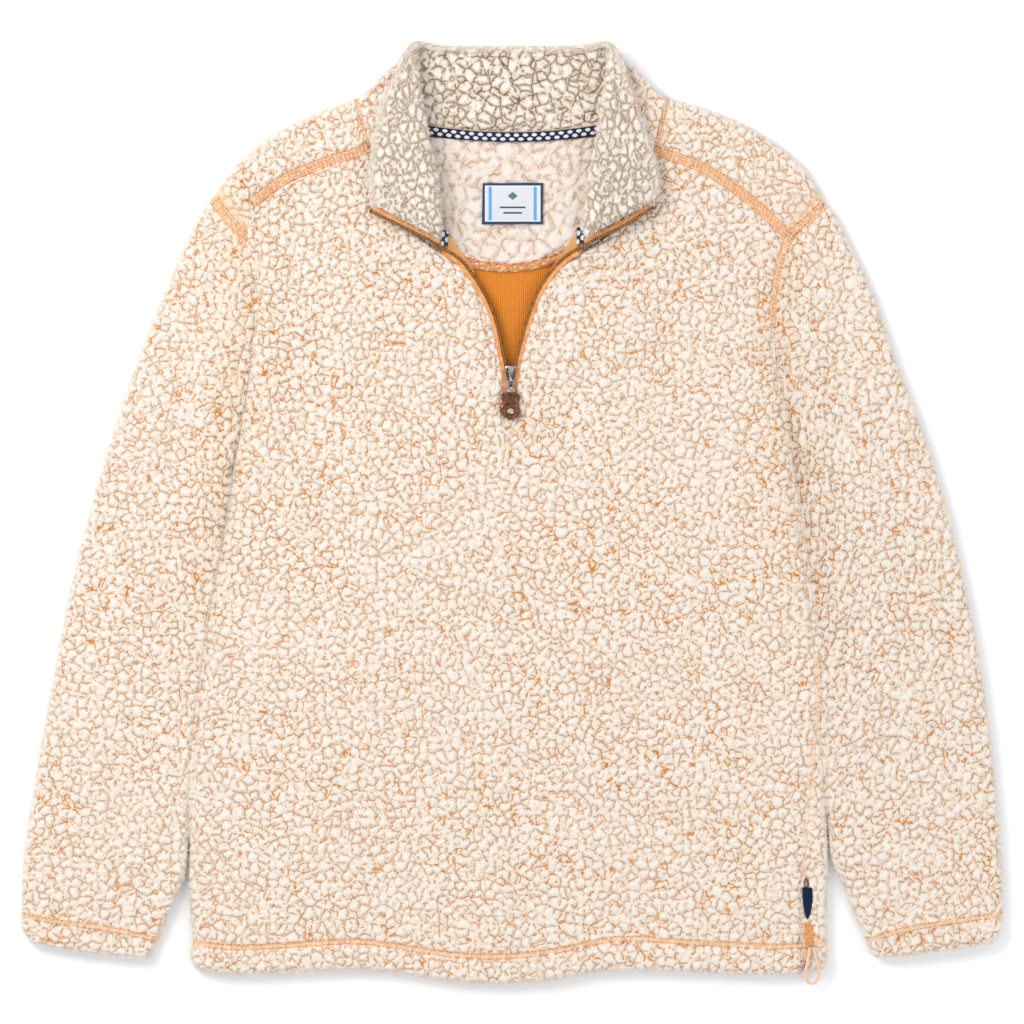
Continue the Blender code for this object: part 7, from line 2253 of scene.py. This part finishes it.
def make_stitches():
    """All rows in one mesh. A few stitches are lost in the pile, and those that hang over an edge are left out."""
    start, end = [], []
    for number, (line, offsets, long, pitch) in enumerate(STITCH_ROWS):
        for k, offset in enumerate(offsets):
            a, b = stitch_row(line, offset, long, pitch, STITCHED, 20 + 7 * number + k)
            start.append(a)
            end.append(b)
    start, end = np.concatenate(start), np.concatenate(end)
    seen = (start[:, 2] > 3) & (end[:, 2] > 3) & (np.abs(start[:, 2] - end[:, 2]) < 3)
    seen &= np.random.default_rng(2).uniform(0, 1, len(seen)) > 0.04
    print("stitches:", int(seen.sum()))
    return dress(threads("cover_stitches", start[seen], end[seen], 0.66, ORANGE_THREAD, 0.12, seed=4), "thread")


FINE_ROWS = [
    # line, the cloth it lies on, how far it stands over it, pitch, share of stitches that show, seed
    ([(88.6, 368), (93.4, 348), (97.4, 328), (100.4, 312)], "flap", 0.1, 3.2, 0.95, 61),
    ([(-92, 363), (-96, 349), (-100.4, 333)], "flap", 0.1, 3.2, 0.6, 62),
    ([(-33.5, 189), (-29.4, 173.6), (-26.2, 162.4), (-23.2, 147.2), (-19.6, 133.6), (-17.4, 122.6), (-15.2, 112)],
     "front", 0.3, 2.9, 0.85, 63),
    ([(33, 184), (29.2, 172), (25.8, 159), (21.6, 144), (18.2, 131), (15.4, 118)],
     "front", 0.3, 2.9, 0.6, 64),
]


def make_fine_rows():
    """A single row near the outer edge of each flap and on both sides of the zip, half hidden in the pile."""
    start, end = [], []
    for line, cloth, lift, pitch, share, seed in FINE_ROWS:
        pieces = [collar_inner, collar_outer] if cloth == "flap" else [front]
        a, b = stitch_row(line, 0.0, pitch - 0.7, pitch, pieces, seed, lift)
        keep = (np.random.default_rng(seed).uniform(0, 1, len(a)) < share) & (a[:, 2] > 8) & (b[:, 2] > 8)
        start.append(a[keep])
        end.append(b[keep])
    start, end = np.concatenate(start), np.concatenate(end)
    return dress(threads("fine_stitches", start, end, 0.7, ORANGE_THREAD, 0.1, seed=7), "thread")


make_stitches()
make_fine_rows()

# %% [markdown]
# ## Trims at the right side seam
#
# Low on the right side seam sit a small navy tag with a loop of brown thread above it, an oval bar tack of amber
# thread below it and, coming out of the tack, a loop of peach cord that hangs past the hem. The cord is a round
# tube along its own route.

# %% Tag, bar tack and cord
AMBER_SEAM = [(234.9, -266), (233.6, -280), (233.4, -291)]
TAG_LOOP = [(234.6, -300.6), (234.3, -295.5), (235.4, -292.7), (236.6, -295.5), (236.3, -300.6)]
TACK_LIFT = 1.2
TACK_ARCH = 0.6
TWIST_THREAD = thread_finish("twist_thread", (226, 150, 78), (252, 206, 148))


def navy_finish():
    """Navy weave: two sets of fine stripes that cross."""
    made = Finish("navy_weave", 0.8, Sheen_Weight=0.04, Specular_IOR_Level=0.2)
    place = made.place()
    weave = made.times(made.stripes(place, 420.0, 1.0), made.stripes(place, 380.0, 1.0, "Y"))
    return made.close(Base_Color=made.mix(weave, (8, 20, 46), (26, 50, 92)), Normal=made.bump(weave, 0.0003, 0.8))


def make_tag():
    """A folded slip, narrow at the foot, rounded over and lying on the cloth."""
    share = np.concatenate([[0.0, 0.012], np.linspace(0.04, 0.985, 20), [1.0]])
    half = np.interp(share, *np.array(TAG).T)
    x, y = TAG_X + 0.2 + 0.35 * np.sin(share * 3.0), TAG_TOP_Y - TAG_LENGTH * share
    ground = smoothed(drop_onto(np.column_stack([x, y]), TOP_CLOTH), 3)
    rings = []
    for k in range(len(share)):
        across, up = rounded(half[k] * 1.8, TAG_THICK * (1 - 0.35 * share[k]), min(0.7, half[k] * 0.45), 4).T
        rings.append(xyz(x[k] + across, y[k], ground[k] + 0.9 + up - 0.6 * (across / 4.5) ** 2))
    return dress(assemble("side_tag_woven", [solid(rings)], navy_finish(), 60), "neck_tape", "side_tag")


def make_tack():
    """Satin stitches across the oval, side by side, and a narrow neck of them below."""
    x, y, wide, deep = BARTACK
    level = np.arange(-1, 1.0001, 0.085)
    half = wide * np.sqrt(np.maximum(1 - level ** 2, 0.12))
    neck = np.arange(1.02, 1.62, 0.085)
    down = np.concatenate([y + deep * level[::-1], y - deep * neck])
    half = np.concatenate([half[::-1], np.full(len(neck), 1.5)])
    luck = np.random.default_rng(12)
    lean = luck.uniform(-0.3, 0.3, len(down))
    ground = smoothed(drop_onto(xyz(x, down, 0)[:, :2], TOP_CLOTH), 4)
    lift = ground + TACK_LIFT - 0.6
    start, end = (xyz(x + sign * half + luck.uniform(-0.2, 0.2, len(down)), down - sign * lean, lift)
                  for sign in (-1, 1))
    dress(threads("bar_tack_satin", start, end, 1.0, AMBER_THREAD, TACK_ARCH, seed=13), "thread", "cord_bartack")
    make_tack_twist(ground.mean() + TACK_LIFT + TACK_ARCH - 0.5)


def make_tack_twist(level):
    """Two strands twisted over the satin: x goes with the cosine of the turn and z with its sine."""
    x, y, wide, deep = BARTACK
    s = np.linspace(-0.96, 1.5, 90)
    half = 0.62 * wide * np.sqrt(np.clip(1 - s ** 2, 0.1, 1))
    strands = []
    for phase in (0.0, math.pi):
        turn = 1.6 * math.pi * s + phase
        path = xyz(x + half * np.cos(turn), y - deep * s, level + 0.45 * np.sin(turn))
        strands.append(solid(swept(path, 1.5, 1.3, 0.6, 4)))
    return dress(assemble("bar_tack_twist", strands, TWIST_THREAD), "thread", "cord_bartack")


def make_seam_threads():
    """The peach line of the side seam, amber where the trims are sewn in, and the brown loop above the tag."""
    start, end = stitch_row(SIDE_SEAM[6:], 0.0, 3.0, 3.3, STITCHED, 70, 0.05)
    dress(threads("side_seam_thread", start, end, 0.6, PEACH_THREAD, 0.1, seed=14), "thread")
    start, end = stitch_row(AMBER_SEAM, 0.0, 2.4, 2.7, TOP_CLOTH, 71, 0.25)
    dress(threads("side_seam_amber", start, end, 0.8, AMBER_THREAD, 0.1, seed=15), "thread")
    path = along(TAG_LOOP, ramp(22))
    path = raised(path, drop_onto(path, TOP_CLOTH).max() + 0.6)
    dress(assemble("tag_loop", [solid(swept(path, 0.9, 0.9, 0.4, 3))], BROWN_THREAD), "thread")


BRAID_PITCH = 1.1
CORD_SIDES = 14


def cord_finish():
    """Elastic cord: braided ribs slant round it both ways."""
    made = Finish("peach_cord", 0.75, Sheen_Weight=0.2, Specular_IOR_Level=0.25)
    x, y, _ = made.axes(made.kept("ribbon", "Vector"))
    ribs = [made.swing(made.line(x, 2 * math.pi / BRAID_PITCH, made.times(y, 3.0 * sign))) for sign in (1, -1)]
    braid = made.maths("MAXIMUM", *ribs)
    return made.close(Base_Color=made.mix(made.step(braid, 0.35, 0.95), (222, 158, 112), (250, 222, 194)),
                      Normal=made.bump(braid, 0.0002, 0.8))


def make_cord():
    """A tube whose rings of CORD_SIDES points stay square to the route."""
    line = evenly(along(CORD_ROUTE, ramp(400)), ramp(90))
    way = unit(np.gradient(line, axis=0))
    side = unit(np.cross(way, (0, 0, 1.0)))
    up = np.cross(side, way)
    turn = np.arange(CORD_SIDES) * 2 * math.pi / CORD_SIDES
    ring = side[:, None] * np.cos(turn)[:, None] + up[:, None] * np.sin(turn)[:, None]
    points, faces = solid(line[:, None] + ring * CORD_DIAMETER / 2)
    cord = assemble("hem_cord_braided", [(points, faces)], cord_finish(), 80)
    reach = walked(line)
    ribbon = np.zeros((len(points), 3))
    ribbon[:-2, 0] = np.repeat(reach, CORD_SIDES)
    ribbon[:-2, 1] = np.tile(turn, len(line))
    keep_value(cord, "ribbon", ribbon)
    dress(cord, "cord", "hem_cord")
    print("cord length in mm:", round(reach[-1], 1))


make_tag()
make_tack()
make_seam_threads()
make_cord()

# %% [markdown]
# ## Stray fibres
#
# Brushed fleece has no hard outline. Thin blades stand off the folds and the hem, where the pile is seen against
# the table, and soften the edge. They are three-cornered, in one mesh for each finish.

# %% Fibres along the outline
def fibre_finish(name, colour):
    """One fibre colour that noise varies towards white."""
    made = Finish(name, 0.95, Sheen_Weight=0.3, Sheen_Roughness=0.6, Specular_IOR_Level=0.1)
    slow = made.step(made.noise(made.place(), 120.0), 0.35, 0.65)
    return made.close(Base_Color=made.mix(slow, colour, (244, 240, 234)))


def stray_fibres(name, pieces, count, finish, seed):
    """Blades from points whose normal is nearly level, each leaning a little its own way."""
    luck = np.random.default_rng(seed)
    places, ways = [], []
    for piece in pieces:
        total = len(piece.data.vertices)
        place, way = np.zeros(total * 3, np.float32), np.zeros(total * 3, np.float32)
        piece.data.vertices.foreach_get("co", place)
        piece.data.vertex_normals.foreach_get("vector", way)
        place, way = place.reshape(-1, 3) / MM, way.reshape(-1, 3)
        level = (np.abs(way[:, 2]) < 0.6) & (place[:, 2] > 1.5)
        places.append(place[level])
        ways.append(way[level])
    place, way = np.concatenate(places), np.concatenate(ways)
    chosen = luck.integers(0, len(place), count)
    place, way = place[chosen] + luck.normal(0, 0.7, (count, 3)) * (1, 1, 0.6), way[chosen]
    lean = unit(way + luck.normal(0, 0.45, (count, 3)))
    across = unit(np.cross(lean, luck.normal(0, 1, (count, 3)))) * luck.uniform(0.12, 0.26, (count, 1))
    root = place - way * 0.7
    blades = np.stack([root - across, root + across, root + lean * luck.uniform(1.2, 3.2, (count, 1))], axis=1)
    blades[..., 2] = np.maximum(blades[..., 2], 0.2)
    made = new_mesh(name, blades.reshape(-1, 3), np.arange(count * 3).reshape(-1, 3), finish)
    return dress(made, "sherpa")


stray_fibres("body_fibres", [front, back, *sleeves], 52000, fibre_finish("cream_fibre", (234, 220, 204)), 31)
stray_fibres("collar_fibres", [collar_inner, collar_outer], 14000,
             fibre_finish("grey_cream_fibre", (224, 212, 197)), 32)

# The area is that of the panel itself, since none of them fills its rectangle.

# %% Flat sizes of the panels
SHEETS = [
    # piece, width and length in metres, area in square metres, what goes with it
    (front, (0.505, 0.640), 0.300, ()),
    (knit, (0.480, 0.740), 0.300, (back,)),
    (sleeves[0], (0.300, 0.620), 0.148, ()),
    (sleeves[1], (0.300, 0.620), 0.148, ()),
    (collar_outer, (0.560, 0.082), 0.042, ()),
    (collar_inner, (0.560, 0.082), 0.042, ()),
    (facing, (0.188, 0.098), 0.0152, ()),
]


def area_of(piece):
    """Surface of a piece in square metres."""
    count = len(piece.data.polygons)
    areas = np.zeros(count)
    piece.data.polygons.foreach_get("area", areas)
    return float(areas.sum())


for piece, flat_size, area, others in SHEETS:
    print(piece.name, "surface over flat area:", round(area_of(piece) / area, 2))
